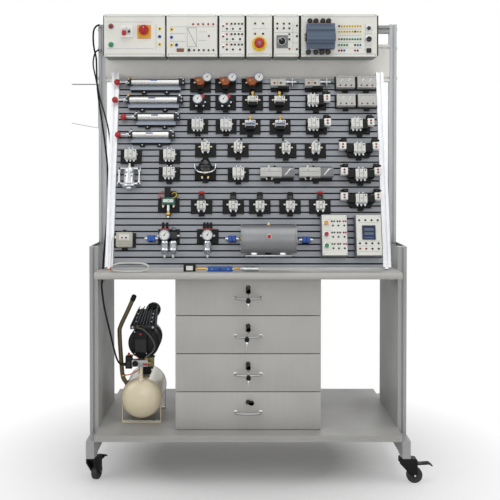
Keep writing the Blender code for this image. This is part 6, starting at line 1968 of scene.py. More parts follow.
def make_module(with_buttons):
    """A control module: white face in a grey frame, sockets, and buttons' rings or a display."""
    s = Shape("control_module")
    w, h = MODULE_WIDTH, MODULE_HEIGHT
    s.block((-w / 2, MODULE_FACE + 0.0012, -h / 2), (w / 2, PLATE_BACK, h / 2), "module_side", 0.0014, 2)
    s.recessed(
        (-w / 2 + 0.002, MODULE_FACE, -h / 2 + 0.002), (w / 2 - 0.002, MODULE_FACE + 0.004, h / 2 - 0.002),
        "module_face", FORWARD, 0.0014, 0.0005
    )
    face = MODULE_FACE + 0.0005
    for side in (-1, 1):
        for up in (-1, 1):
            s.turned(rows(0, 2.4, 1, 2.4, 1.4, 1.8, 0.6, 1.1), "polished_steel",
                     (side * w * 0.43, face + 0.0002, up * h * 0.455), FORWARD, SCREW_SIDES)
    if with_buttons:
        for across, up in BUTTON_PLACES:
            x, z = across * w, up * h
            inner = BUTTON_RADIUS + RUNNING_GAP
            ring = [
                (-0.0002, BUTTON_RING * 1.16), (0.0016, BUTTON_RING * 1.12), (0.0022, BUTTON_RING),
                (BUTTON_RING_HEIGHT - 0.0006, BUTTON_RING), (BUTTON_RING_HEIGHT, BUTTON_RING * 0.95),
                (BUTTON_RING_HEIGHT, inner), (0.0004, inner)
            ]
            s.turned(ring, "chrome", (x, MODULE_FACE, z), FORWARD, LARGE_SIDES)
            s.block((x - 0.004, face - 0.0003, z + 0.0125), (x + 0.016, face, z + 0.0132), "module_line", 0)
            for share, finish in (
                (-0.10, "black_gloss"), (-0.01, "black_gloss"), (0.12, "black_gloss"), (0.21, "black_gloss"),
                (0.35, "red_moulding"), (0.43, "red_moulding")
            ):
                add_socket(s, (w * share, face, z + 0.0065), finish, 0.0034)
            for share in (-0.06, 0.15, 0.38):
                add_socket(s, (w * share, face, z - 0.010), "black_gloss", 0.0036)
    else:
        s.block((-0.0255, MODULE_FACE - 0.0025, -0.0180), (0.0255, face, 0.0370), "slate_band", 0.001)
        s.recessed(
            (-0.0235, MODULE_FACE - 0.0035, -0.0160), (0.0235, MODULE_FACE - 0.002, 0.0350), "navy_glass",
            FORWARD, 0.0014, 0.0008
        )
        for low, high, finish in (
            (0.016, 0.026, "slate_moulding"), (0.000, 0.010, "slate_moulding"),
            (-0.0125, -0.0075, "blue_label")
        ):
            s.block((-0.0175, MODULE_FACE - 0.0031, low), (0.0175, MODULE_FACE - 0.0026, high), finish, 0)
        for step in range(4):
            x = w * (-0.36 + 0.24 * step)
            add_socket(s, (x, face, h * 0.36), "black_gloss", 0.0040)
            add_socket(s, (x, face, h * -0.20), "black_gloss", 0.0040)
            add_socket(s, (x, face, h * -0.33), "red_moulding" if step < 2 else "black_gloss", 0.0040)
        for share in (0.30, -0.145, -0.265, -0.40):
            s.block(
                (-w * 0.42, face - 0.0003, h * share), (w * 0.42, face, h * (share + 0.004)), "module_line", 0
            )
    return s.done()


def make_row_piece(index, models):
    """One row: its components' copies, its clip strip, and on the last row what else hangs there."""
    number, components = ROWS[index]
    parts = []
    for kind, across, up in components:
        if kind == "push" and across not in MUSHROOM_PLACES:
            kind = "plunger"
        parts.append(stamped(models[kind], at_panel(across, up)))
    left, right = panel_x(components[0][1]), panel_x(components[-1][1])
    if index == len(ROWS) - 1:
        parts += [hung(make_filter(bowls), place) for place, bowls in FILTERS]
        tee = make_tee()
        parts += [stamped(tee, at_panel(*place)) for place in TEES]
        discard(tee)
        parts.append(hung(make_reservoir(), RESERVOIR_PLACE))
        for with_buttons, place in zip((True, False), MODULE_PLACES):
            parts.append(hung(make_module(with_buttons), place))
        right = panel_x(MODULE_PLACES[-1][0])
    parts.append(make_clip_strip(number, left, right))
    return joined(f"component_row_{index + 1}_dressed", parts)


def make_slot_floors():
    """The floors of the panel's grooves, each held between the webs of two slats: alloy at the back, dark at
    the front as painted shade in the grooves.
    """
    s = Shape("slot_floors")
    for number in range(SLOT_COUNT):
        v = POST_START + FIRST_SLOT + number * SLOT_PITCH
        low = (-SLOT_FLOOR_HALF, SLOT_FLOOR_FRONT, v - SLOT_FLOOR_RISE)
        middle = SLOT_FLOOR_FRONT + SLOT_FLOOR_THICKNESS
        # The front layer is painted shade in the groove; the layer behind it is the alloy.
        s.block(low, (SLOT_FLOOR_HALF, middle, v + SLOT_FLOOR_RISE), "painted_slot_shade", 0)
        low = (-SLOT_FLOOR_HALF, middle - 0.0002, v - SLOT_FLOOR_RISE)
        s.block(
            low, (SLOT_FLOOR_HALF, middle + SLOT_FLOOR_THICKNESS / 2, v + SLOT_FLOOR_RISE), "strip_alloy", 0
        )
    return s.done(ON_PANEL)


class WORKBENCH_OT_components(bpy.types.Operator):
    """Models each kind of component once and hangs its copies on the panel, row by row"""

    bl_idname = "workbench.components"
    bl_label = "Panel components"

    def execute(self, context):
        models = component_models()
        for index in range(len(ROWS)):
            piece = make_row_piece(index, models)
            hand_over(piece, "bench", [f"component_row_{index + 1}"], "module_white")
        discard(*models.values())
        hand_over(make_slot_floors(), "bench", [], "panel_silver")
        return {"FINISHED"}


class WORKBENCH_OT_buttons(bpy.types.Operator):
    """Models the panel's three push buttons and the two red mushroom buttons"""

    bl_idname = "workbench.buttons"
    bl_label = "Push buttons"

    def execute(self, context):
        low = BUTTON_TRAVEL + BUTTON_CLEARANCE
        high = BUTTON_RING_HEIGHT + BUTTON_STAND
        slots = ("yellow_plastic", "red_plastic", "green_plastic")
        for index, (across, up) in enumerate(BUTTON_PLACES):
            s = Shape(f"panel_button_{index + 1}_dressed")
            r = BUTTON_RADIUS
            profile = [
                (low, r), (high - 0.0014, r), (high - 0.0004, r * 0.92), (high, r * 0.78),
                (high - 0.0005, r * 0.68)
            ]
            s.turned(
                profile, BUTTON_FINISHES[index], (across * MODULE_WIDTH, MODULE_FACE, up * MODULE_HEIGHT),
                FORWARD, LARGE_SIDES
            )
            piece = s.done(at_panel(*MODULE_PLACES[0]))
            hand_over(piece, f"panel_button_{index + 1}", [f"panel_button_{index + 1}"], slots[index])
        low, under = 0.0103, NECK_HEIGHT + 0.0043
        for index, across in enumerate(MUSHROOM_PLACES):
            s = Shape(f"mushroom_button_{index + 1}_dressed")
            profile = [
                (low, STEM_RADIUS * 0.9), (low + 0.0006, STEM_RADIUS), (under, STEM_RADIUS), (under, 0.0110),
                (under + 0.0012, 0.0128), (under + 0.0035, 0.0135), (under + 0.0060, 0.0132),
                (under + 0.0085, 0.0112), (under + 0.0097, 0.0076), (under + 0.0100, 0.0030)
            ]
            s.turned(profile, "red_moulding", neck_foot(), UP, LARGE_SIDES)
            piece = s.done(at_panel(across, MUSHROOM_UP))
            hand_over(piece, f"mushroom_button_{index + 1}", [f"mushroom_button_{index + 1}"], "red_plastic")
        return {"FINISHED"}


# Cylinders: where each hangs on the panel, and how long its barrel is.
CYLINDER_PLACES = [
    ((-0.448, 0.938), 0.188), ((-0.4535, 0.844), 0.188), ((-0.4195, 0.7537), 0.141), ((-0.438, 0.6607), 0.141)
]
BARREL_RADIUS = 0.011
HEAD_RADIUS = BARREL_RADIUS * 1.18
FRONT_HEAD = 0.014
REAR_HEAD = 0.024
BORE_RADIUS = 0.009
ROD_RADIUS = 0.004
ROD_SHOW = 0.032
BALL_RADIUS = 0.0125
HEAD_WALL = 0.008
PISTON_LENGTH = 0.008
CYLINDER_Y = PLATE_BACK - 0.003 - 0.020


def make_cylinder(index, length):
    """Cylinder: heads with grooves, barrel with its bore, label, head nuts, foot strip and clips."""
    s = Shape(f"cylinder_{index + 1}_dressed")
    inside = FRONT_HEAD + length
    total = inside + REAR_HEAD
    hole = ROD_RADIUS + RUNNING_GAP
    head, barrel = HEAD_RADIUS * 1.16, BARREL_RADIUS * 1.20
    origin = (-FRONT_HEAD, CYLINDER_Y, 0)
    s.turned(
        [
            (0, hole), (0, head * 0.94), (0.0008, head), (0.005, head), (0.005, head * 0.93),
            (0.0065, head * 0.93), (0.0065, head), (FRONT_HEAD - 0.0008, head), (FRONT_HEAD, head * 0.94),
            (FRONT_HEAD, BORE_RADIUS), (HEAD_WALL, BORE_RADIUS), (HEAD_WALL, hole), (0.0005, hole)
        ],
        "dark_grey", origin, RIGHT, LARGE_SIDES
    )
    s.turned(
        [
            (FRONT_HEAD - 0.0002, BORE_RADIUS), (FRONT_HEAD - 0.0002, barrel), (inside, barrel),
            (inside, BORE_RADIUS), (FRONT_HEAD, BORE_RADIUS)
        ],
        "barrel_alloy", origin, RIGHT, 40
    )
    s.turned(
        [
            (inside - 0.0002, BORE_RADIUS * 0.5), (inside - 0.0002, head * 0.94), (inside + 0.0008, head),
            (total - 0.009, head), (total - 0.009, head * 0.92), (total - 0.0075, head * 0.92),
            (total - 0.0075, head), (total - 0.0008, head), (total, head * 0.93), (total, head * 0.3)
        ],
        "dark_grey", origin, RIGHT, LARGE_SIDES
    )
    s.turned(
        [
            (-0.0125, hole), (-0.0125, 0.0096), (-0.0045, 0.0104), (-0.0045, 0.0078), (0.0005, 0.0078),
            (0.0005, hole)
        ],
        "turned_alloy", origin, RIGHT
    )
    middle = length * 0.47
    s.block(
        (middle - 0.014, CYLINDER_Y - barrel - 0.0004, 0.0012),
        (middle + 0.014, CYLINDER_Y - barrel + 0.0030, 0.0052), "blue_label", 0.0003
    )
    for x in (-FRONT_HEAD * 0.5, length + REAR_HEAD * 0.4):
        finish = "brass" if index < 2 and x < 0 else "turned_alloy"
        add_fitting(s, (x, CYLINDER_Y, head - 0.0006), UP, finish, finish if index < 2 else "black_moulding")
    for x in (-FRONT_HEAD * 0.75, length + REAR_HEAD * 0.75):
        for angle in (150, 210):
            place = (
                x, CYLINDER_Y + math.cos(math.radians(angle)) * head, math.sin(math.radians(angle)) * head
            )
            s.turned(rows(-1, 3.8, 2, 3.8, 2.8, 2.8, 1.6, 1.6), "polished_steel", place, FORWARD, HEX_SIDES)
    top, low = -0.0130, -0.0300
    left, right = -FRONT_HEAD / 2, length + FRONT_HEAD / 2
    s.recessed(
        (left, PLATE_BACK - 0.0160, low), (right, PLATE_BACK - 0.0120, top), "strip_alloy", FORWARD, 0.0020,
        0.0004
    )
    s.block((left, PLATE_BACK - 0.0125, low + 0.003), (right, PLATE_BACK, top - 0.001), "black_moulding")
    s.block(
        (left + 0.004, PLATE_BACK - 0.0100, low - 0.0055), (right - 0.004, PLATE_BACK, low + 0.0005),
        "black_moulding", 0.0008
    )
    for x in (length * 0.26, length * 0.74):
        s.block(
            (x - 0.010, PLATE_BACK - 0.0115, low - 0.0135), (x + 0.010, PLATE_BACK - 0.0002, low + 0.0005),
            "black_moulding", 0.0014, 2
        )
        s.turned(rows(0, 2.8, 1.2, 2.8, 1.6, 2.2, 0.8, 1.4), "polished_steel",
                 (x, PLATE_BACK - 0.0113, low - 0.0080), FORWARD, SCREW_SIDES)
    for x in (-FRONT_HEAD / 2, length + REAR_HEAD / 2):
        s.block(
            (x - 0.0049, CYLINDER_Y + barrel * 0.86, -0.0160), (x + 0.0049, PLATE_BACK - 0.0002, 0.0072),
            "cast_alloy", 0.001
        )
    return s


def make_rod(index, length):
    """Piston rod: red ball knob, lock nut, polished rod and the piston with its seals."""
    s = Shape(f"piston_rod_{index + 1}_dressed")
    origin = Vector((-FRONT_HEAD, CYLINDER_Y, 0))
    stroke = length - 2 * PISTON_LENGTH - REAR_HEAD
    piston_start = HEAD_WALL + stroke + SEAT_GAP
    piston = BORE_RADIUS - RUNNING_GAP
    ball_middle = -ROD_SHOW - BALL_RADIUS
    r = BALL_RADIUS
    profile = []
    for step in range(13):
        angle = math.pi * (step + 0.15) / 12.8
        profile.append((ball_middle - math.cos(angle) * r, math.sin(angle) * r))
    s.turned(profile, "red_moulding", origin, RIGHT, LARGE_SIDES)
    s.turned(
        [(-ROD_SHOW - 0.0015, 0.0052), (-ROD_SHOW + 0.004, 0.0052), (-ROD_SHOW + 0.0046, 0.0046)],
        "polished_steel", origin, RIGHT, HEX_SIDES
    )
    s.turned(
        [(-ROD_SHOW, ROD_RADIUS * 0.9), (-ROD_SHOW + 0.001, ROD_RADIUS), (piston_start + 0.0004, ROD_RADIUS)],
        "chrome", origin, RIGHT, 20
    )
    end = piston_start + PISTON_LENGTH
    s.turned(
        [
            (piston_start, piston * 0.5), (piston_start, piston * 0.96), (piston_start + 0.0006, piston),
            (end - 0.005, piston), (end - 0.005, piston * 0.93), (end - 0.003, piston * 0.93),
            (end - 0.003, piston), (end, piston), (end, piston * 0.4)
        ],
        "black_rubber", origin, RIGHT
    )
    return s


class WORKBENCH_OT_cylinders(bpy.types.Operator):
    """Models the four cylinders and their rods with the red ball knobs"""

    bl_idname = "workbench.cylinders"
    bl_label = "Cylinders"

    def execute(self, context):
        for index, ((across, up), length) in enumerate(CYLINDER_PLACES):
            place = at_panel(across, up)
            number = index + 1
            piece = make_cylinder(index, length).done(place)
            hand_over(piece, "bench", [f"cylinder_{number}"], "cylinder_silver")
            piece = make_rod(index, length).done(place)
            hand_over(piece, f"piston_rod_{number}", [f"piston_rod_{number}"], "red_plastic")
        return {"FINISHED"}


# The electrical rack.
RACK_LEFT = -0.5655
RACK_WIDTH = 1.0755
RACK_BOTTOM = 1.6255
RACK_HEIGHT = 0.1645
RACK_FRONT = 0.1755
RACK_BACK = UPRIGHT_FRONT - SEAT_GAP
BAR_RECESS = 0.004
STOP_CENTRE = Vector((RACK_LEFT + 0.5671 * RACK_WIDTH, RACK_FRONT, RACK_BOTTOM + 0.300 * RACK_HEIGHT))
STOP_STEM = STEM_RADIUS * 1.6
STOP_LOW = 0.0053
STOP_UNDER = 0.0173
STOP_MARKS = (45, 135, 225, 315)
SWITCH_CENTRE = Vector(
    (RACK_LEFT + 0.1483 * RACK_WIDTH, RACK_FRONT - 0.0033, RACK_BOTTOM + 0.625 * RACK_HEIGHT)
)
SPEED_FIRST = -135
SPEED_STEP = 27
# Each module of the rack: how far along the rack it starts and how wide it is, as shares of the rack.
RACK_MODULES = [
    (0.0036, 0.2211), (0.2309, 0.1839), (0.4225, 0.0907), (0.5209, 0.0922), (0.6204, 0.0899), (0.7195, 0.2750)
]

# The faces are laid out on a grid whose columns count to the right and lines count down.
GRID_STEP = 0.003933
GRID_X = -0.9747
GRID_Z = 1.8478
RACK_SOCKET = 0.0040
SOCKET_FINISH = {
    "r": "red_moulding", "k": "black_gloss", "y": "yellow_moulding", "b": "blue_moulding",
    "g": "green_moulding", "d": "dark_red"
}
LARGE_SOCKET = 0.0062
LAMP_LINES = (26.4, 36.6, 46.9)
RACK_SOCKETS = [
    ("Y", 160.3, 29.1), ("B", 160.3, 36.8), ("Y", 160.3, 44.6), ("r", 193.5, 24.5), ("r", 198.5, 24.5),
    ("r", 203.5, 24.5), ("r", 208.5, 24.5), ("r", 213.5, 24.5), ("Y", 172.1, 29.7), ("B", 172.1, 37.5),
    ("Y", 172.1, 45.1), ("B", 177.0, 45.1), ("d", 209.2, 36.2), ("k", 194.4, 50.2), ("k", 199.2, 50.2),
    ("k", 204.0, 50.2), ("k", 208.8, 50.2), ("k", 213.6, 50.2), ("k", 255.0, 23.8), ("k", 262.8, 23.8),
    ("k", 255.0, 34.0), ("k", 262.8, 34.0), ("k", 277.0, 24.0), ("k", 283.5, 24.0), ("k", 289.0, 24.0),
    ("k", 277.0, 28.6), ("k", 283.5, 28.6), ("k", 289.0, 28.6), ("k", 289.0, 34.5), ("k", 289.0, 39.5),
    ("r", 289.0, 49.0), ("k", 296.5, 26.0), ("k", 296.5, 36.3), ("k", 296.5, 49.2)
]
for line in LAMP_LINES:
    RACK_SOCKETS += [("r", 227.0, line - 2.2)] + [
        ("k", column, line - 2.2) for column in (231.6, 235.0, 238.7, 242.1)
    ]
    RACK_SOCKETS += [("k", column, line + 2.7) for column in (227.0, 233.0, 240.0)]
CONTROL_ROWS = [
    (26.5, "kyyyyyyyy"), (31.9, "yyyyyykyy"), (39.4, "rkggggggg"), (45.2, "gggg  kgb"), (50.6, "rkb   rk ")
]
CONTROL_FIRST = 338.3
CONTROL_STEP = 2.65
RULES = [
    (108, 154, 22.2), (108, 154, 48.6), (170, 215, 27.0), (170, 186, 33.6), (170, 186, 41.3),
    (199, 207, 32.0), (199, 207, 40.4), (221, 243, 31.6), (221, 243, 42.0), (252, 266, 28.9),
    (274, 299, 32.6), (292, 300, 43.0), (337, 361, 29.2), (337, 361, 35.6), (337, 361, 42.3),
    (337, 361, 48.0), (364, 371, 33.6), (364, 371, 45.6)
]
UPRIGHTS = [
    (156.5, 24.0, 50.0), (166.2, 26.0, 48.0), (217.0, 24.0, 51.0), (230.0, 24.0, 52.0), (292.4, 24.0, 51.0),
    (364.2, 24.0, 52.0)
]


def grid_x(column):
    """A place along the rack, from a column of its grid."""
    return GRID_X + column * GRID_STEP


def grid_z(line):
    """A height on the rack, from a line of its grid."""
    return GRID_Z - line * GRID_STEP


def face_block(s, left, right, top, bottom, finish, proud, rounding=0.0004, back=0.0006):
    """A raised part on the rack's face, between two columns and two lines."""
    low = (grid_x(left), RACK_FRONT - proud, grid_z(bottom))
    s.block(low, (grid_x(right), RACK_FRONT + back, grid_z(top)), finish, rounding)


def face_round(s, column, line, profile, finish, sides=24, proud=0.0):
    """A turned part on the rack's face, at a column and a line."""
    s.turned(profile, finish, (grid_x(column), RACK_FRONT - proud, grid_z(line)), FORWARD, sides)


def add_rack_housings(s):
    """Module boxes with bordered faces, corner screws and the dark bars between them."""
    high = RACK_BOTTOM + RACK_HEIGHT
    edges = [RACK_LEFT]
    for left_share, width_share in RACK_MODULES:
        left = RACK_LEFT + left_share * RACK_WIDTH
        right = left + width_share * RACK_WIDTH
        s.block((left, RACK_FRONT + 0.003, RACK_BOTTOM), (right, RACK_BACK, high), "module_side", 0.0010)
        s.recessed(
            (left, RACK_FRONT, RACK_BOTTOM), (right, RACK_FRONT + 0.0035, high), "module_face", FORWARD,
            0.0022, 0.0004
        )
        for bottom, top in ((high - 0.0105, high - 0.0093), (RACK_BOTTOM + 0.0093, RACK_BOTTOM + 0.0105)):
            low = (left + 0.0035, RACK_FRONT - 0.0001, bottom)
            s.block(low, (right - 0.0035, RACK_FRONT + 0.0008, top), "module_line", 0)
        for x in (left + 0.006, right - 0.006):
            for z in (RACK_BOTTOM + 0.0052, high - 0.0052):
                s.turned(
                    rows(0, 2.6, 1, 2.6, 1.5, 2, 0.7, 1.1), "polished_steel", (x, RACK_FRONT + 0.0005, z),
                    FORWARD, SCREW_SIDES
                )
        for step in range(6):
            x = left + (right - left) * (step + 1) / 7
            s.block(
                (x - 0.004, RACK_FRONT + 0.030, high - 0.0004), (x + 0.004, RACK_BACK - 0.020, high + 0.0006),
                "dark_grey", 0
            )
        edges += [left + 0.001, right - 0.001]
    edges.append(RACK_LEFT + RACK_WIDTH)
    for left, right in zip(edges[0::2], edges[1::2]):
        low = (left, RACK_FRONT + BAR_RECESS, RACK_BOTTOM + BAR_RECESS)
        s.block(low, (right, RACK_BACK - BAR_RECESS, high - BAR_RECESS), "black_iron", 0.0008)


def add_supply_module(s):
    """Lamps, breaker and the yellow plate under the mains switch."""
    for line, finish in ((26.8, "dark_red"), (44.9, "green_moulding")):
        rim = rows(-0.4, 12.6, 2, 12.6, 4, 11.6, 4, 10.2, 3.2, 10)
        face_round(s, 112.1, line, rim, "chrome", LARGE_SIDES)
        face_round(s, 112.1, line, rows(2, 10, 6, 9.6, 8.6, 7, 9.6, 3.6), finish)
    face_block(s, 122.0, 133.5, 26.8, 38.2, "white_moulding", 0.0165, 0.0012)
    face_block(s, 123.2, 132.4, 29.4, 35.6, "box_grey", 0.0176, 0.0006)
    face_block(s, 123.6, 127.6, 31.6, 36.2, "red_moulding", 0.0246, 0.0014)
    face_block(s, 129.2, 131.6, 31.2, 33.8, "black_gloss", 0.0180, 0.0006)
    face_round(s, 127.8, 28.4, rows(16, 2.2, 17.1, 2.2, 17.1, 1.2, 15, 1.1), "grey_moulding", SMALL_SIDES)
    for column in (124.4, 131.2):
        face_round(s, column, 37.2, rows(16, 2, 16.9, 2, 17.2, 1.5), "polished_steel", SCREW_SIDES)
    face_block(s, 138.2, 151.6, 25.4, 38.8, "amber_lens", 0.0028, 0.0010)
    for column in (139.5, 150.3):
        for line in (26.7, 37.5):
            face_round(s, column, line, rows(2.4, 1.4, 3.1, 1.4, 3.3, 1), "polished_steel", 8)


def add_meter_module(s):
    """Display, jack and the boxed diagonal of the second module."""
    face_block(s, 177.2, 184.2, 48.6, 51.8, "black_gloss", 0.0022)
    face_block(s, 177.9, 183.5, 49.2, 51.2, "orange_moulding", 0.0026, 0.0002)
    face_round(s, 189.4, 50.2, rows(-0.4, 5.8, 4, 5.8, 5, 4.8, 5, 3, 2, 2.9), "black_gloss", 16)
    for left, right, top, bottom in (
        (187.4, 197.1, 28.0, 28.3), (187.4, 197.1, 46.6, 46.9), (187.4, 187.7, 28.0, 46.9),
        (196.8, 197.1, 28.0, 46.9)
    ):
        face_block(s, left, right, top, bottom, "module_line", 0.0001, 0)
    y = RACK_FRONT + 0.0004
    points = at_depth(
        y, (grid_x(187.5), grid_z(28.3)), (grid_x(188.0), grid_z(28.3)), (grid_x(197.0), grid_z(46.7)),
        (grid_x(196.5), grid_z(46.7))
    )
    s.outline(points, FORWARD * 0.0005, "module_line")
    for line in LAMP_LINES:
        face_round(s, 223.3, line, rows(-0.4, 5.8, 2, 5.8, 2.4, 5), "chrome", 20)
        face_round(s, 223.3, line, rows(1.8, 4.6, 4, 4, 4.6, 2.2), "dark_red", 16)


def add_speed_module(s):
    """The speed knob on its grey plate with scale marks."""
    face_block(s, 276.2, 287.5, 35.5, 48.2, "grey_moulding", 0.0028, 0.0010)
    ring = rows(2.4, 15.8, 3.4, 15.8, 3.6, 15, 3.6, 13.8, 3, 13.6)
    face_round(s, 281.5, 41.5, ring, "pale_moulding", LARGE_SIDES)
    centre = (grid_x(281.5), RACK_FRONT - 0.0030, grid_z(41.5))
    add_knurled(s, centre, FORWARD, 0.0130, 0.0140, "black_moulding", 20)
    points = at_depth(
        RACK_FRONT - 0.0169, (grid_x(281.3), grid_z(41.2)), (grid_x(281.7), grid_z(41.2)),
        (grid_x(280.0), grid_z(38.9)), (grid_x(279.5), grid_z(39.1))
    )
    s.outline(points, FORWARD * 0.0004, "white_moulding")
    base = Vector((grid_x(281.5), RACK_FRONT - 0.0027, grid_z(41.5)))
    for step in range(SCALE_MARKS):
        add_ray(s, base, SPEED_FIRST + SPEED_STEP * step, 0.0170, 0.0195, 0.0004, 0.0004, "white_moulding")


def add_stop_collar(s):
    """Yellow disc with its marks, and the bored collar that the stop button slides in."""
    inner = STOP_STEM + RUNNING_GAP
    ring = [
        (-0.0004, 0.029), (0.0024, 0.029), (0.003, 0.0284), (0.003, inner * 1.5), (0.0112, inner * 1.5),
        (0.012, inner * 1.4), (0.012, inner), (0.0002, inner)
    ]
    s.turned(ring, "yellow_moulding", STOP_CENTRE, FORWARD, 48)
    for degrees in STOP_MARKS:
        add_ray(s, STOP_CENTRE + FORWARD * 0.0028, degrees, 0.0232, 0.0262, 0.0011, 0.0005, "black_gloss")


def add_terminal_bank(s, columns, top, bottom, strip_line, strips):
    """A bank of bulging screw terminals in four groups, with coloured strips on its inner side."""
    middle = (top + bottom) / 2
    for column in columns:
        face_block(s, column - 1.6, column + 1.6, top + 0.8, bottom, "black_moulding", 0.0120, 0.0010)
        bulge = rows(0, 8.8, 15, 10.4, 21, 9.8, 24.5, 6.6, 25, 4, 22.5, 3.4)
        face_round(s, column, middle, bulge, "black_gloss", 20)
    for left, right, finish in strips:
        face_block(s, left, right, strip_line, strip_line + 0.9, finish, 0.0200, 0.0002)


def add_controller(s):
    """Stepped controller with ribbed bands, status lights, rail clips and its terminal banks."""
    left, right = 305.6, 333.5
    face_block(s, left, right, 24.9, 49.8, "slate_moulding", 0.0315, 0.0014)
    face_block(s, left, right, 29.9, 44.6, "slate_moulding", 0.0440, 0.0020)
    for top, bottom in ((31.2, 33.4), (41.2, 43.4)):
        face_block(s, left + 0.8, right - 0.8, top, bottom, "slate_band", 0.0446, 0.0003)
    for step in range(10):
        column = left + 2.2 + step * 2.3
        face_block(s, column, column + 0.7, 26.0, 27.0, "black_gloss", 0.0320, 0.0001)
        face_block(s, column, column + 0.7, 47.6, 48.6, "black_gloss", 0.0320, 0.0001)
        face_block(
            s, column + 0.3, column + 0.8, 35.2, 35.9, "green_moulding" if step % 3 else "dark_red", 0.0446,
            0.0001
        )
    for line in (34.0, 38.0):
        face_block(s, left + 0.4, right - 0.4, line, line + 0.35, "slate_band", 0.0443, 0)
    add_terminal_bank(s, (309.0, 315.0, 321.8, 327.5), 19.6, 24.3, 23.8, [(307.0, 330.0, "dark_red")])
    strips = [(305.4, 317.0, "pale_moulding"), (318.6, 330.0, "dark_red")]
    add_terminal_bank(s, (307.5, 315.0, 321.0, 327.0), 50.2, 55.0, 49.6, strips)
    for column in (left - 1.6, right + 0.2):
        face_block(s, column, column + 1.4, 34.0, 41.0, "olive_metal", 0.006, 0.0008)
        face_round(s, column + 0.7, 37.5, rows(5.5, 2, 7, 2, 7.4, 1.4), "polished_steel", SCREW_SIDES)


def add_right_column(s):
    """Round switch, round connector and square socket at the rack's right end."""
    rim = rows(-0.4, 11.4, 2, 11.4, 3, 10.4, 3, 8, 2, 7.8)
    face_round(s, 367.8, 28.6, rim, "chrome", LARGE_SIDES)
    face_round(s, 367.8, 28.6, rows(1.5, 7.6, 5, 7.2, 6, 5.6, 6, 3), "black_gloss")
    flange = rows(-0.4, 15.6, 2, 15.6, 2.8, 14.6, 2.8, 11.2, 2.2, 11)
    face_round(s, 367.8, 39.6, flange, "chrome", HEX_SIDES)
    face_round(s, 367.8, 39.6, rows(2, 10.8, 10, 10.4, 11, 9.2, 11, 7, 4, 6.8), "black_gloss", 28)
    face_block(s, 365.6, 370.2, 48.4, 52.8, "black_moulding", 0.0050, 0.0008)
    face_block(s, 366.6, 369.2, 49.6, 51.8, "black_gloss", 0.0056, 0.0003)
    for step in range(3):
        face_round(s, 367.1 + 0.8 * step, 40.2 - 0.9 * (step % 2), rows(4, 1, 8, 1, 8.6, 0.6), "brass", 8)


class WORKBENCH_OT_rack(bpy.types.Operator):
    """Models the rack of electrical modules with sockets, lamps, breaker and controller"""

    bl_idname = "workbench.rack"
    bl_label = "Electrical rack"

    def execute(self, context):
        s = Shape("rack_modules_dressed")
        add_rack_housings(s)
        add_supply_module(s)
        add_meter_module(s)
        add_speed_module(s)
        add_stop_collar(s)
        add_controller(s)
        add_right_column(s)
        for left, right, line in RULES:
            face_block(s, left, right, line, line + 0.22, "module_line", 0.0001, 0)
        for column, top, bottom in UPRIGHTS:
            face_block(s, column, column + 0.22, top, bottom, "module_line", 0.0001, 0)
        housings = s.done(ON_BENCH)
        models = {}
        for letter, finish in SOCKET_FINISH.items():
            for key, radius in ((letter, RACK_SOCKET), (letter.upper(), LARGE_SOCKET)):
                shape = Shape("socket_model")
                add_socket(shape, (0, 0, 0), finish, radius, proud=0.0026)
                models[key] = shape.done()
        places = list(RACK_SOCKETS)
        for line, letters in CONTROL_ROWS:
            for step, letter in enumerate(letters):
                if letter != " ":
                    places.append((letter, CONTROL_FIRST + step * CONTROL_STEP, line))
        parts = [housings]
        for letter, column, line in places:
            spot = ON_BENCH @ Matrix.Translation((grid_x(column), RACK_FRONT + 0.0004, grid_z(line)))
            parts.append(stamped(models[letter], spot))
        discard(*models.values())
        piece = joined("rack_modules_dressed", parts)
        hand_over(piece, "bench", ["rack_modules"], "module_white")
        return {"FINISHED"}


class WORKBENCH_OT_controls(bpy.types.Operator):
    """Models the emergency stop button and the mains switch knob"""

    bl_idname = "workbench.controls"
    bl_label = "Stop button and mains switch"

    def execute(self, context):
        s = Shape("stop_button_dressed")
        radius = STOP_STEM
        low, under = STOP_LOW, STOP_UNDER
        profile = [
            (low, radius * 0.94), (low + 0.0006, radius), (under, radius), (under, 0.0175),
            (under + 0.0014, 0.0192), (under + 0.0042, 0.0200), (under + 0.0084, 0.0198),
            (under + 0.0118, 0.0176), (under + 0.0134, 0.0130), (under + 0.0134, 0.0064)
        ]
        centre = STOP_CENTRE
        s.turned(profile, "red_moulding", centre, FORWARD, 40)
        s.turned(
            [(under + 0.0130, 0.0068), (under + 0.0139, 0.0064), (under + 0.0140, 0.0040)], "grey_moulding",
            centre, FORWARD, LARGE_SIDES
        )
        hand_over(s.done(ON_BENCH), "stop_button", ["stop_button"], "red_plastic")
        s = Shape("mains_switch_dressed")
        centre = SWITCH_CENTRE
        disc = rows(0, 18.4, 1, 19.4, 6.2, 19.4, 7.8, 18.4, 8, 16)
        s.turned(disc, "red_moulding", centre, FORWARD, 36)
        r = 0.017
        s.tapered(
            (centre.x - r * 0.24, centre.y - 0.020, centre.z - r * 0.9),
            (centre.x + r * 0.24, centre.y - 0.0070, centre.z + r * 0.9), "red_moulding", FORWARD, 0.86,
            0.0012
        )
        s.block(
            (centre.x - r * 0.05, centre.y - 0.0202, centre.z + r * 0.3),
            (centre.x + r * 0.05, centre.y - 0.0190, centre.z + r * 0.7), "white_moulding", 0.0002
        )
        hand_over(s.done(ON_BENCH), "mains_switch_knob", ["mains_switch_knob"], "red_plastic")
        return {"FINISHED"}


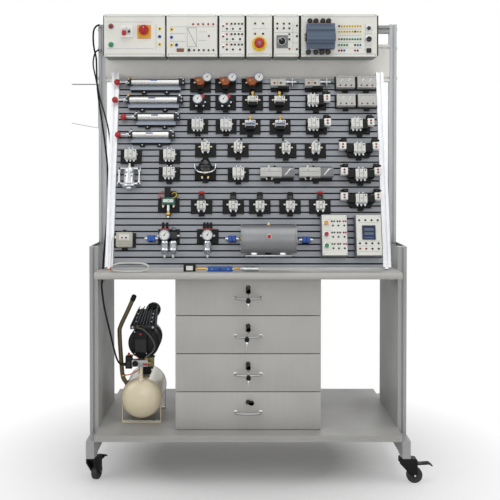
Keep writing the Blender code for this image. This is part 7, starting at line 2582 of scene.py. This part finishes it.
# The compressor.
SHELF_TOP = 0.194
TANK_X = -0.4156
TANK_Z = SHELF_TOP + 0.0983
TANK_RADIUS = 0.0785
TANK_FRONT = 0.120
TANK_LENGTH = 0.285
TANK_DOME = 0.035
FOOT_WIDTH = 0.020
FOOT_HALF = 0.0765
FOOT_BAR = 0.003
PIPE_RADIUS = 0.0075
HANDLE_RADIUS = 0.0085
HANDLE_PATH = [(-0.99, 1.02), (-1.07, 1.90), (-1.14, 3.10), (-1.09, 3.50), (-0.72, 4.30), (-0.40, 5.02)]
HANDLE_ANGLE = math.radians(40)
MOTOR_X = TANK_X + 0.0065
MOTOR_Z = SHELF_TOP + 0.309
MOTOR_RADIUS = 0.061
MOTOR_FRONT = 0.168
MOTOR_LENGTH = 0.165
COVER_THICKNESS = 0.010
FAN_VENTS = 10
HEAD_DEPTH = 0.070
HEAD_BASE = 0.016
FIN_HEIGHT = 0.064
FIN_COUNT = 5
FIN_THICKNESS = 0.003
FILTER_RADIUS = 0.029
FILTER_LENGTH = 0.035
MANIFOLD_LENGTH = 0.063
MANIFOLD_HEIGHT = 0.026
MANIFOLD_DEPTH = 0.032
BOX_WIDTH = 0.0245
BOX_TALL = 0.0485
EXHAUST_RADIUS = 0.004
EXHAUST_PATH = [(0.05, 0.92), (0.48, 0.49), (0.76, -0.07), (0.60, -0.50)]
TAP_RADIUS = 0.009
TAP_LENGTH = 0.012


def make_tank():
    """Welded tank with domed ends and seams, bar feet, outlet pipe and the bent handle with its grip."""
    s = Shape("compressor_tank_dressed")
    r = TANK_RADIUS
    dome = []
    for step in range(1, 9):
        turn = math.pi / 2 * step / 8
        dome.append((TANK_DOME * (1 - math.cos(turn)), r * math.sin(turn)))
    far = [(TANK_LENGTH - along, radius) for along, radius in reversed(dome)]
    seam = [
        (TANK_DOME + 0.004, r), (TANK_DOME + 0.005, r + 0.0008), (TANK_DOME + 0.0075, r + 0.0008),
        (TANK_DOME + 0.0085, r)
    ]
    back_seam = [(TANK_LENGTH - along, radius) for along, radius in reversed(seam)]
    profile = [(0.0002, 0.002), *dome, *seam, *back_seam, *far, (TANK_LENGTH - 0.0002, 0.002)]
    s.turned(profile, "tank_enamel", (TANK_X, TANK_FRONT, TANK_Z), BACK, 64)
    s.turned(
        rows(-1.2, 6.2, 3, 6.2, 3, 4), "tank_enamel", (TANK_X, TANK_FRONT, TANK_Z - 0.02), BACK, HEX_SIDES
    )
    outer, inner = FOOT_HALF, FOOT_HALF - FOOT_BAR
    for y in (TANK_FRONT + TANK_DOME, TANK_FRONT + TANK_LENGTH - TANK_DOME - FOOT_WIDTH):
        low = SHELF_TOP + SEAT_GAP
        points = at_depth(
            y, (TANK_X - outer, low), (TANK_X + outer, low), (TANK_X + outer, TANK_Z - 0.004),
            (TANK_X + inner, TANK_Z - 0.004), (TANK_X + inner, low + FOOT_BAR),
            (TANK_X - inner, low + FOOT_BAR), (TANK_X - inner, TANK_Z - 0.004),
            (TANK_X - outer, TANK_Z - 0.004)
        )
        s.outline(points, BACK * FOOT_WIDTH, "tank_enamel", 0.0007)
        for side in (-1, 1):
            place = (TANK_X + side * outer * 0.62, y + FOOT_WIDTH / 2, low + FOOT_BAR - 0.0004)
            s.turned(rows(0, 6.2, 3.5, 6.2, 4.5, 5), "polished_steel", place, UP, HEX_SIDES)
    pipe_top = MANIFOLD_LOW - SEAT_GAP
    low = TANK_Z + r * 0.8
    s.turned(
        [
            (0, PIPE_RADIUS * 1.5), (r * 0.2, PIPE_RADIUS * 1.5), (r * 0.24, PIPE_RADIUS * 1.2),
            (r * 0.26, PIPE_RADIUS), (pipe_top - low - 0.0005, PIPE_RADIUS),
            (pipe_top - low, PIPE_RADIUS * 0.93)
        ],
        "tank_enamel", (TANK_X, MANIFOLD_Y, low), UP, 28
    )
    out = Vector((-math.cos(HANDLE_ANGLE), 0, math.sin(HANDLE_ANGLE)))
    axis = Vector((TANK_X, TANK_FRONT + TANK_DOME + FOOT_WIDTH * 1.5, TANK_Z))
    route = [axis + out * (r - 0.003), axis + out * (r + HANDLE_RADIUS)]
    route += [axis + Vector((across * r, 0, up * r)) for across, up in HANDLE_PATH]
    smooth = smooth_route(route, 4)
    s.tube(smooth, HANDLE_RADIUS, "handle_paint", sides=5, steps=2)
    s.turned(rows(-1.2, 12.5, 2.2, 12.5, 3, 10.5, 4.2, 9.2), "handle_paint", axis + out * r, out)
    end = smooth[-1]
    way = (smooth[-1] - smooth[-3]).normalized()
    grip = rows(-20, 9.3, -18, 10, -2, 10, 3, 8.5, 5.2, 4.8)
    s.turned(grip, "black_rubber", end, way)
    return s.done(ON_BENCH)


def add_motor(s):
    """Ribbed motor housing, its front disc and cover, the fan cover behind and its feet."""
    r, length = MOTOR_RADIUS, MOTOR_LENGTH
    origin = (MOTOR_X, MOTOR_FRONT, MOTOR_Z)
    front = [(0, r * 0.86), (0.0016, r * 0.92), (0.004, r * 0.985), (0.008, r), (length * 0.46, r)]
    for step in range(6):
        low = length * 0.46 + step * 0.0075
        front += [(low, r), (low + 0.0012, r * 0.945), (low + 0.0046, r * 0.945), (low + 0.0058, r)]
    s.turned([*front, (length * 0.76, r)], "black_iron", origin, BACK, 56)
    rear = [
        (length * 0.755, r * 0.9), (length * 0.76, r * 0.985), (length - 0.010, r * 0.985),
        (length - 0.003, r * 0.94), (length, r * 0.86)
    ]
    s.turned(rear, "grey_moulding", origin, BACK, 56)
    cover = Vector(origin) + BACK * (length - 0.0006)
    # Black bars on the fan cover stand for its vent openings: painted shade in them.
    for step in range(FAN_VENTS):
        degrees = 90 - 360 / FAN_VENTS * step
        add_ray(s, cover, degrees, r * 0.3, r * 0.74, 0.0022, 0.0012, "black_gloss", BACK)
    cover_y = MOTOR_FRONT - COVER_THICKNESS
    low = (MOTOR_X - r * 0.62, cover_y, MOTOR_Z - r * 0.7)
    high = (MOTOR_X + r * 0.28, MOTOR_FRONT + 0.001, MOTOR_Z + r * 0.84)
    s.block(low, high, "black_moulding", 0.0030, 3)
    s.recessed(
        (low[0] + 0.006, cover_y - 0.0010, low[2] + 0.010),
        (high[0] - 0.006, cover_y + 0.001, high[2] - 0.034), "black_gloss", FORWARD, 0.0014, 0.0006
    )
    s.turned(
        rows(0, 5, 2.2, 4.8, 3.4, 3.4), "red_moulding",
        (MOTOR_X - r * 0.17, cover_y + 0.0002, MOTOR_Z + r * 0.62), FORWARD, 20
    )
    for x in (low[0] + 0.0046, high[0] - 0.0046):
        for z in (low[2] + 0.0046, high[2] - 0.0046):
            s.turned(
                rows(0, 2.4, 1.2, 2.4, 1.6, 1.8, 0.6, 1.1), "polished_steel", (x, cover_y + 0.0002, z),
                FORWARD, SCREW_SIDES
            )
    for share in (0.25, 0.75):
        y = MOTOR_FRONT + share * length
        s.block(
            (MOTOR_X - r * 0.4, y, TANK_Z + TANK_RADIUS + SEAT_GAP),
            (MOTOR_X + r * 0.4, y + FOOT_WIDTH, MOTOR_Z - r * 0.9), "black_iron", 0.0020, 2
        )
    bracket_z = 0.4335
    s.block((-0.3925, 0.150, bracket_z - 0.018), (-0.3650, 0.154, bracket_z + 0.018), "olive_metal", 0.0012)
    s.block((-0.3925, 0.150, bracket_z + 0.014), (-0.3650, 0.190, bracket_z + 0.018), "olive_metal", 0.0010)


def add_pump_head(s):
    """Cylinder flange with bolts, the leaning cooling fins with their core, and the air filter."""
    r = MOTOR_RADIUS
    base_z = MOTOR_Z + r * 0.9
    left, right = MOTOR_X - r * 0.86, MOTOR_X + r * 0.77
    s.block(
        (left, MOTOR_FRONT, base_z), (right, MOTOR_FRONT + HEAD_DEPTH, base_z + HEAD_BASE), "dark_grey",
        0.0018, 2
    )
    for x in (left + 0.010, right - 0.010):
        s.turned(
            rows(-1, 5.2, 3, 5.2, 3.6, 4.4), "polished_steel",
            (x, MOTOR_FRONT + 0.0005, base_z + HEAD_BASE / 2), FORWARD, HEX_SIDES
        )
    low, high = base_z + HEAD_BASE - 0.001, base_z + HEAD_BASE + FIN_HEIGHT
    lean = r * 0.5
    y = MOTOR_FRONT + 0.001
    depth = HEAD_DEPTH - 0.002
    count = 2 * FIN_COUNT - 1
    for index in range(count):
        share = index / (count - 1)
        start = left + share * (right - left - FIN_THICKNESS)
        end = start + FIN_THICKNESS
        shift = lean * (1 - share * 0.8)
        inset, drop = (0.003, 0.006) if index % 2 else (0, 0)
        fin = at_depth(
            y + inset, (start, low), (end, low), (end + shift, high - drop), (start + shift, high - drop)
        )
        s.outline(fin, BACK * (depth - 2 * inset), "fin_alloy", 0.0006)
    for step in range(3):
        z = low + (high - low) * (0.22 + 0.24 * step)
        for side in (0.2, 0.8):
            x = left + side * (right - left) + lean * 0.5 * (0.22 + 0.24 * step)
            s.turned(rows(0, 2.2, 1.4, 2.2, 1.8, 1.4), "polished_steel", (x, y + 0.0065, z), FORWARD, 8)
    core = at_depth(
        y + 0.007, (left + 0.002, low), (right - 0.003, low), (right + 0.002, high - 0.010),
        (left + lean * 0.9, high - 0.010)
    )
    s.outline(core, BACK * (depth - 0.014), "black_iron", 0.001)
    filter_x = MOTOR_X + FILTER_RADIUS
    filter_y = MOTOR_FRONT + HEAD_DEPTH + 0.002
    filter_z = base_z + HEAD_BASE + FIN_HEIGHT * 0.7
    case = [(0, FILTER_RADIUS * 0.86), (0.0015, FILTER_RADIUS * 0.96), (0.003, FILTER_RADIUS)]
    for step in range(4):
        along = 0.006 + step * 0.006
        case += [
            (along, FILTER_RADIUS), (along + 0.001, FILTER_RADIUS * 0.94),
            (along + 0.003, FILTER_RADIUS * 0.94), (along + 0.004, FILTER_RADIUS)
        ]
    case += [
        (FILTER_LENGTH - 0.002, FILTER_RADIUS), (FILTER_LENGTH, FILTER_RADIUS * 0.92),
        (FILTER_LENGTH, FILTER_RADIUS * 0.3)
    ]
    s.turned(case, "black_moulding", (filter_x, filter_y, filter_z), BACK, 40)
    neck_low = MOTOR_Z + r * 0.8
    top = filter_z - FILTER_RADIUS * 0.8
    neck = [
        (0, PIPE_RADIUS), (top - neck_low - 0.008, PIPE_RADIUS), (top - neck_low - 0.008, PIPE_RADIUS * 1.3),
        (top - neck_low, PIPE_RADIUS * 1.3)
    ]
    s.turned(neck, "brass", (filter_x, filter_y + FILTER_LENGTH / 2, neck_low), UP, 20)


def add_pump_pipework(s):
    """Cast manifold with its fittings, pressure switch with gland, exhaust and copper pipes."""
    low = MANIFOLD_LOW
    left = TANK_X - MANIFOLD_LENGTH * 0.55
    right = left + MANIFOLD_LENGTH
    front, back = MANIFOLD_Y - MANIFOLD_DEPTH / 2, MANIFOLD_Y + MANIFOLD_DEPTH / 2
    top = low + MANIFOLD_HEIGHT
    s.block((left, front, low), (right, back, top), "cast_alloy", 0.0024, 2)
    s.turned(
        rows(-1, 11.2, 5, 11.2, 6, 10, 10, 8.6), "black_moulding",
        (left + 0.014, front + 0.0004, low + 0.013), FORWARD
    )
    s.turned(
        rows(-1, 6.6, 5, 6.6, 5.6, 5.6, 10, 4.6, 10, 3.6), "brass", (right, MANIFOLD_Y, low + 0.013), RIGHT,
        HEX_SIDES
    )
    box_low = low - MANIFOLD_HEIGHT * 0.3
    box_left = left - BOX_WIDTH
    box_top = box_low + BOX_TALL
    s.block(
        (box_left, front + 0.001, box_low), (left + 0.001, back - 0.001, box_top), "black_moulding", 0.0022, 2
    )
    s.block(
        (box_left + 0.004, front - 0.0008, box_low + 0.006), (left - 0.004, front + 0.002, box_top - 0.018),
        "black_gloss", 0.0008
    )
    s.turned(
        rows(-1, 5.6, 3, 5.6, 3.6, 4.6, 10, 4.6, 11, 3.6), "red_moulding",
        (box_left + 0.012, MANIFOLD_Y, box_top), UP, 20
    )
    r = GLAND_RADIUS
    gland = [
        (-0.0006, r), (0.0042, r), (0.0046, r * 0.84), (GLAND_LENGTH * 0.82, r * 0.78),
        (GLAND_LENGTH, POWER_RADIUS * 1.3), (GLAND_LENGTH, POWER_RADIUS * 1.05),
        (GLAND_LENGTH * 0.5, POWER_RADIUS)
    ]
    s.turned(gland, "black_moulding", (box_left, POWER_END[1], POWER_END[2]), LEFT, SMALL_SIDES)
    pipe_y = MOTOR_FRONT - COVER_THICKNESS - EXHAUST_RADIUS * 2
    start = (
        MOTOR_X - MOTOR_RADIUS * 0.36, MOTOR_FRONT + 0.002, MOTOR_Z + MOTOR_RADIUS * 0.95 + HEAD_BASE / 2
    )
    route = [start, (start[0], pipe_y, start[2])]
    route += [
        (MOTOR_X + across * MOTOR_RADIUS, pipe_y, MOTOR_Z + up * MOTOR_RADIUS) for across, up in EXHAUST_PATH
    ]
    end_x = right - EXHAUST_RADIUS * 2
    route += [(end_x, MANIFOLD_Y, top + 2 * EXHAUST_RADIUS), (end_x, MANIFOLD_Y, top - 0.002)]
    s.tube(smooth_route(route, 4), EXHAUST_RADIUS, "braid_grey", sides=4, steps=2)
    s.turned(rows(-0.6, 6.8, 6, 6.8, 6.8, 5.8), "brass", (end_x, MANIFOLD_Y, top), UP, HEX_SIDES)
    s.turned(
        rows(-1, 7, 7, 7, 8, 5.8), "brass", (start[0], MOTOR_FRONT + 0.001, start[2]), FORWARD, HEX_SIDES
    )
    copper = [
        (-0.4640, front + 0.002, 0.4640), (-0.4640, front - 0.004, 0.4680), (-0.4520, front - 0.006, 0.4690),
        (-0.4330, front - 0.006, 0.4640), (-0.4230, front - 0.002, 0.4540),
        (-0.4215, front + 0.006, top - 0.001)
    ]
    s.tube(copper, 0.0018, "copper", sides=3, steps=6)
    drain = [
        (-0.4840, 0.1350, 0.3860), (-0.4700, 0.1290, 0.3880), (-0.4450, 0.1260, 0.3960),
        (-0.4247, 0.1320, 0.4070), (-0.4160, 0.1400, 0.4140), (-0.4150, 0.1414, low + 0.001)
    ]
    s.tube(drain, 0.0024, "copper", sides=3, steps=6)
    s.turned(rows(-6, 5.6, 4, 5.6, 5, 4, 9, 4), "brass", (-0.4840, 0.1350, 0.3860), RIGHT, HEX_SIDES)


def make_pump():
    """The whole pump unit: motor, head and pipework."""
    s = Shape("compressor_pump_dressed")
    add_motor(s)
    add_pump_head(s)
    add_pump_pipework(s)
    return s.done(ON_BENCH)


def make_tap():
    """Outlet tap: collar, stem and a ribbed bar grip."""
    s = Shape("outlet_tap_dressed")
    x = TANK_X + MANIFOLD_LENGTH * 0.3
    z = MANIFOLD_LOW + MANIFOLD_HEIGHT / 2
    y = MANIFOLD_Y - MANIFOLD_DEPTH / 2 - SEAT_GAP
    r, length = TAP_RADIUS, TAP_LENGTH
    stem = [
        (0, r * 0.60), (length * 0.4, r * 0.60), (length * 0.4, r * 0.42), (length * 0.7, r * 0.42),
        (length * 0.7, r * 0.58), (length, r * 0.56)
    ]
    s.turned(stem, "turned_alloy", (x, y, z), FORWARD, 20)
    s.tapered(
        (x - r, y - length * 1.5, z - r * 0.35), (x + r, y - length + 0.001, z + r * 0.35), "red_moulding",
        FORWARD, 0.9, 0.0010
    )
    for step in range(5):
        left = x - r * 0.7 + step * r * 0.32
        s.block(
            (left, y - length * 1.53, z - r * 0.28), (left + r * 0.12, y - length * 1.45, z + r * 0.28),
            "red_moulding", 0.0002
        )
    return s.done(ON_BENCH)


class WORKBENCH_OT_compressor(bpy.types.Operator):
    """Models the compressor: tank with handle, pump unit and outlet tap"""

    bl_idname = "workbench.compressor"
    bl_label = "Compressor"

    def execute(self, context):
        hand_over(make_tank(), "bench", ["compressor_tank"], "tank_cream")
        hand_over(make_pump(), "bench", ["compressor_pump"], "pump_black")
        hand_over(make_tap(), "outlet_tap", ["outlet_tap"], "red_plastic")
        return {"FINISHED"}


# What lies loose on the table.
LOOSE_BACK = 0.042
LOOSE_HEIGHT = 0.018
BLOCK_PLACE = (-0.236, 0.044)
BAR_PLACE = (-0.148, 0.091)
MUFFLER_PLACE = (-0.030, 0.068)


class WORKBENCH_OT_fittings(bpy.types.Operator):
    """Models the connector block, blue distribution bar and muffler that lie on the table"""

    bl_idname = "workbench.fittings"
    bl_label = "Bench fittings"

    def execute(self, context):
        s = Shape("bench_fittings_dressed")
        low = TABLE_HEIGHT + SEAT_GAP
        front, back = LOOSE_BACK, LOOSE_BACK + LOOSE_HEIGHT
        middle_y, middle_z = LOOSE_BACK + LOOSE_HEIGHT / 2, low + LOOSE_HEIGHT / 2
        left = panel_x(BLOCK_PLACE[0])
        right = left + BLOCK_PLACE[1] * PANEL_WIDTH
        s.block((left, front, low), (right, back, low + LOOSE_HEIGHT * 1.5), "black_moulding", 0.0016, 2)
        s.recessed(
            (left + 0.010, front - 0.0008, low + 0.005),
            (right - 0.010, front + 0.001, low + LOOSE_HEIGHT * 1.2), "white_moulding", FORWARD, 0.0010,
            0.0005
        )
        s.turned(
            rows(-1, 5.6, 6, 5.6, 6.6, 4.6, 10, 4), "brass", (right, middle_y, middle_z), RIGHT, HEX_SIDES
        )
        left = panel_x(BAR_PLACE[0])
        right = left + BAR_PLACE[1] * PANEL_WIDTH
        s.block((left, front, low), (right, back, low + LOOSE_HEIGHT), "blue_moulding", 0.0018, 2)
        centre = ((left + right) / 2, front + 0.0004, middle_z)
        s.turned(
            rows(-0.2, 5.2, 0.8, 5.2, 1.2, 4.6, 1.2, 3.4, 0.2, 3.2), "black_moulding", centre, FORWARD, 20
        )
        for side in (-1, 1):
            s.turned(
                rows(-0.2, 2, 1, 2, 1.3, 1.4), "polished_steel",
                (centre[0] + side * 0.030, centre[1], middle_z), FORWARD, SCREW_SIDES
            )
            s.turned(
                rows(-0.6, 6.2, 4, 6.2, 4.6, 5), "turned_alloy",
                ((left, right)[side > 0], middle_y, middle_z), RIGHT * side, HEX_SIDES
            )
        start = panel_x(MUFFLER_PLACE[0])
        length = MUFFLER_PLACE[1] * PANEL_WIDTH
        r = LOOSE_HEIGHT / 2
        lift = low + r
        shell = [(0, r * 0.55), (length * 0.10, r * 0.70), (length * 0.20, r * 0.98), (length * 0.22, r)]
        for step in range(8):
            along = length * (0.30 + 0.07 * step)
            shell += [(along, r), (along + 0.0008, r * 0.93), (along + 0.0022, r * 0.93), (along + 0.003, r)]
        shell += [(length * 0.97, r), (length, r * 0.88), (length, r * 0.3)]
        s.turned(shell, "turned_alloy", (start, middle_y, lift), RIGHT, LARGE_SIDES)
        s.turned(
            [(-0.012, r * 0.5), (-0.001, r * 0.5), (0.001, r * 0.6)], "brass", (start, middle_y, lift), RIGHT,
            HEX_SIDES
        )
        pipe_left = panel_x(BLOCK_PLACE[0] + BLOCK_PLACE[1] / 2)
        s.rod((pipe_left, middle_y, lift), (start + length / 2, middle_y, lift), EXHAUST_RADIUS, "brass", 20)
        hand_over(s.done(ON_BENCH), "bench", ["bench_fittings"], "profile_silver")
        return {"FINISHED"}


def first_tone(finish):
    """The main tone of a finish in the table."""
    return FINISH_TABLE[finish][0]


def colour_setting(name, part, tone):
    """A colour that the user can choose, with the photo's tone as its default."""
    return bpy.props.FloatVectorProperty(
        name=name, description=f"Colour of the {part}", subtype="COLOR", size=4, min=0, max=1,
        default=linear(*tone)
    )


class WORKBENCH_PG_look(bpy.types.PropertyGroup):
    """The colours, tank gloss and light strengths of the dressed workbench that a user would change"""

    frame_colour: colour_setting("Frame paint", "steel legs, beams and rails", first_tone("frame_paint"))
    drawer_colour: colour_setting(
        "Drawer laminate", "drawer fronts and their cabinet", first_tone("drawer_laminate")
    )
    table_colour: colour_setting("Table laminate", "table top", first_tone("table_laminate"))
    tank_colour: colour_setting("Tank enamel", "compressor's tank", first_tone("tank_enamel"))
    module_colour: colour_setting(
        "Module faces", "rack's and the panel's module faces", first_tone("module_face")
    )
    post_colour: colour_setting("Panel posts", "bright posts at the slotted panel's sides", POST_TONE)
    tank_gloss: bpy.props.FloatProperty(
        name="Tank gloss", description="Strength of the clear coat on the tank's enamel",
        subtype="FACTOR", min=0, max=1, default=0.35,
    )
    world_strength: bpy.props.FloatProperty(
        name="Room light", description="Strength of the soft light from all round", min=0, max=3, default=0.32
    )
    lamp_strength: bpy.props.FloatProperty(
        name="Lamp strength", description="Multiplies the power of every soft lamp", min=0, max=4, default=1.0
    )


STEPS = [
    "stage", "cables", "frame", "drawers", "casters", "components", "buttons", "cylinders", "rack",
    "controls", "compressor", "fittings"
]


class WORKBENCH_PT_sidebar(bpy.types.Panel):
    """Lists the workbench's pieces and the look they are made with"""

    bl_idname = "WORKBENCH_PT_sidebar"
    bl_label = "Workbench"
    bl_space_type = "VIEW_3D"
    bl_region_type = "UI"
    bl_category = "Workbench"

    def draw(self, context):
        layout = self.layout
        look = context.scene.workbench_look
        for name in look.bl_rna.properties.keys():
            if name not in ("rna_type", "name"):
                layout.prop(look, name)
        for step in STEPS:
            layout.operator(f"workbench.{step}")


CLASSES = [
    WORKBENCH_PG_look,
    WORKBENCH_OT_stage,
    WORKBENCH_OT_cables,
    WORKBENCH_OT_frame,
    WORKBENCH_OT_drawers,
    WORKBENCH_OT_casters,
    WORKBENCH_OT_components,
    WORKBENCH_OT_buttons,
    WORKBENCH_OT_cylinders,
    WORKBENCH_OT_rack,
    WORKBENCH_OT_controls,
    WORKBENCH_OT_compressor,
    WORKBENCH_OT_fittings,
    WORKBENCH_PT_sidebar,
]


def register():
    for piece in CLASSES:
        bpy.utils.register_class(piece)
    bpy.types.Scene.workbench_look = bpy.props.PointerProperty(type=WORKBENCH_PG_look)


def unregister():
    del bpy.types.Scene.workbench_look
    for piece in reversed(CLASSES):
        bpy.utils.unregister_class(piece)


def main():
    """Makes the finishes, then every piece in turn."""
    register()
    make_all_finishes(bpy.context.scene.workbench_look)
    for step in STEPS:
        getattr(bpy.ops.workbench, step)()
    leave_edit_mode()


if __name__ == "__main__":
    main()
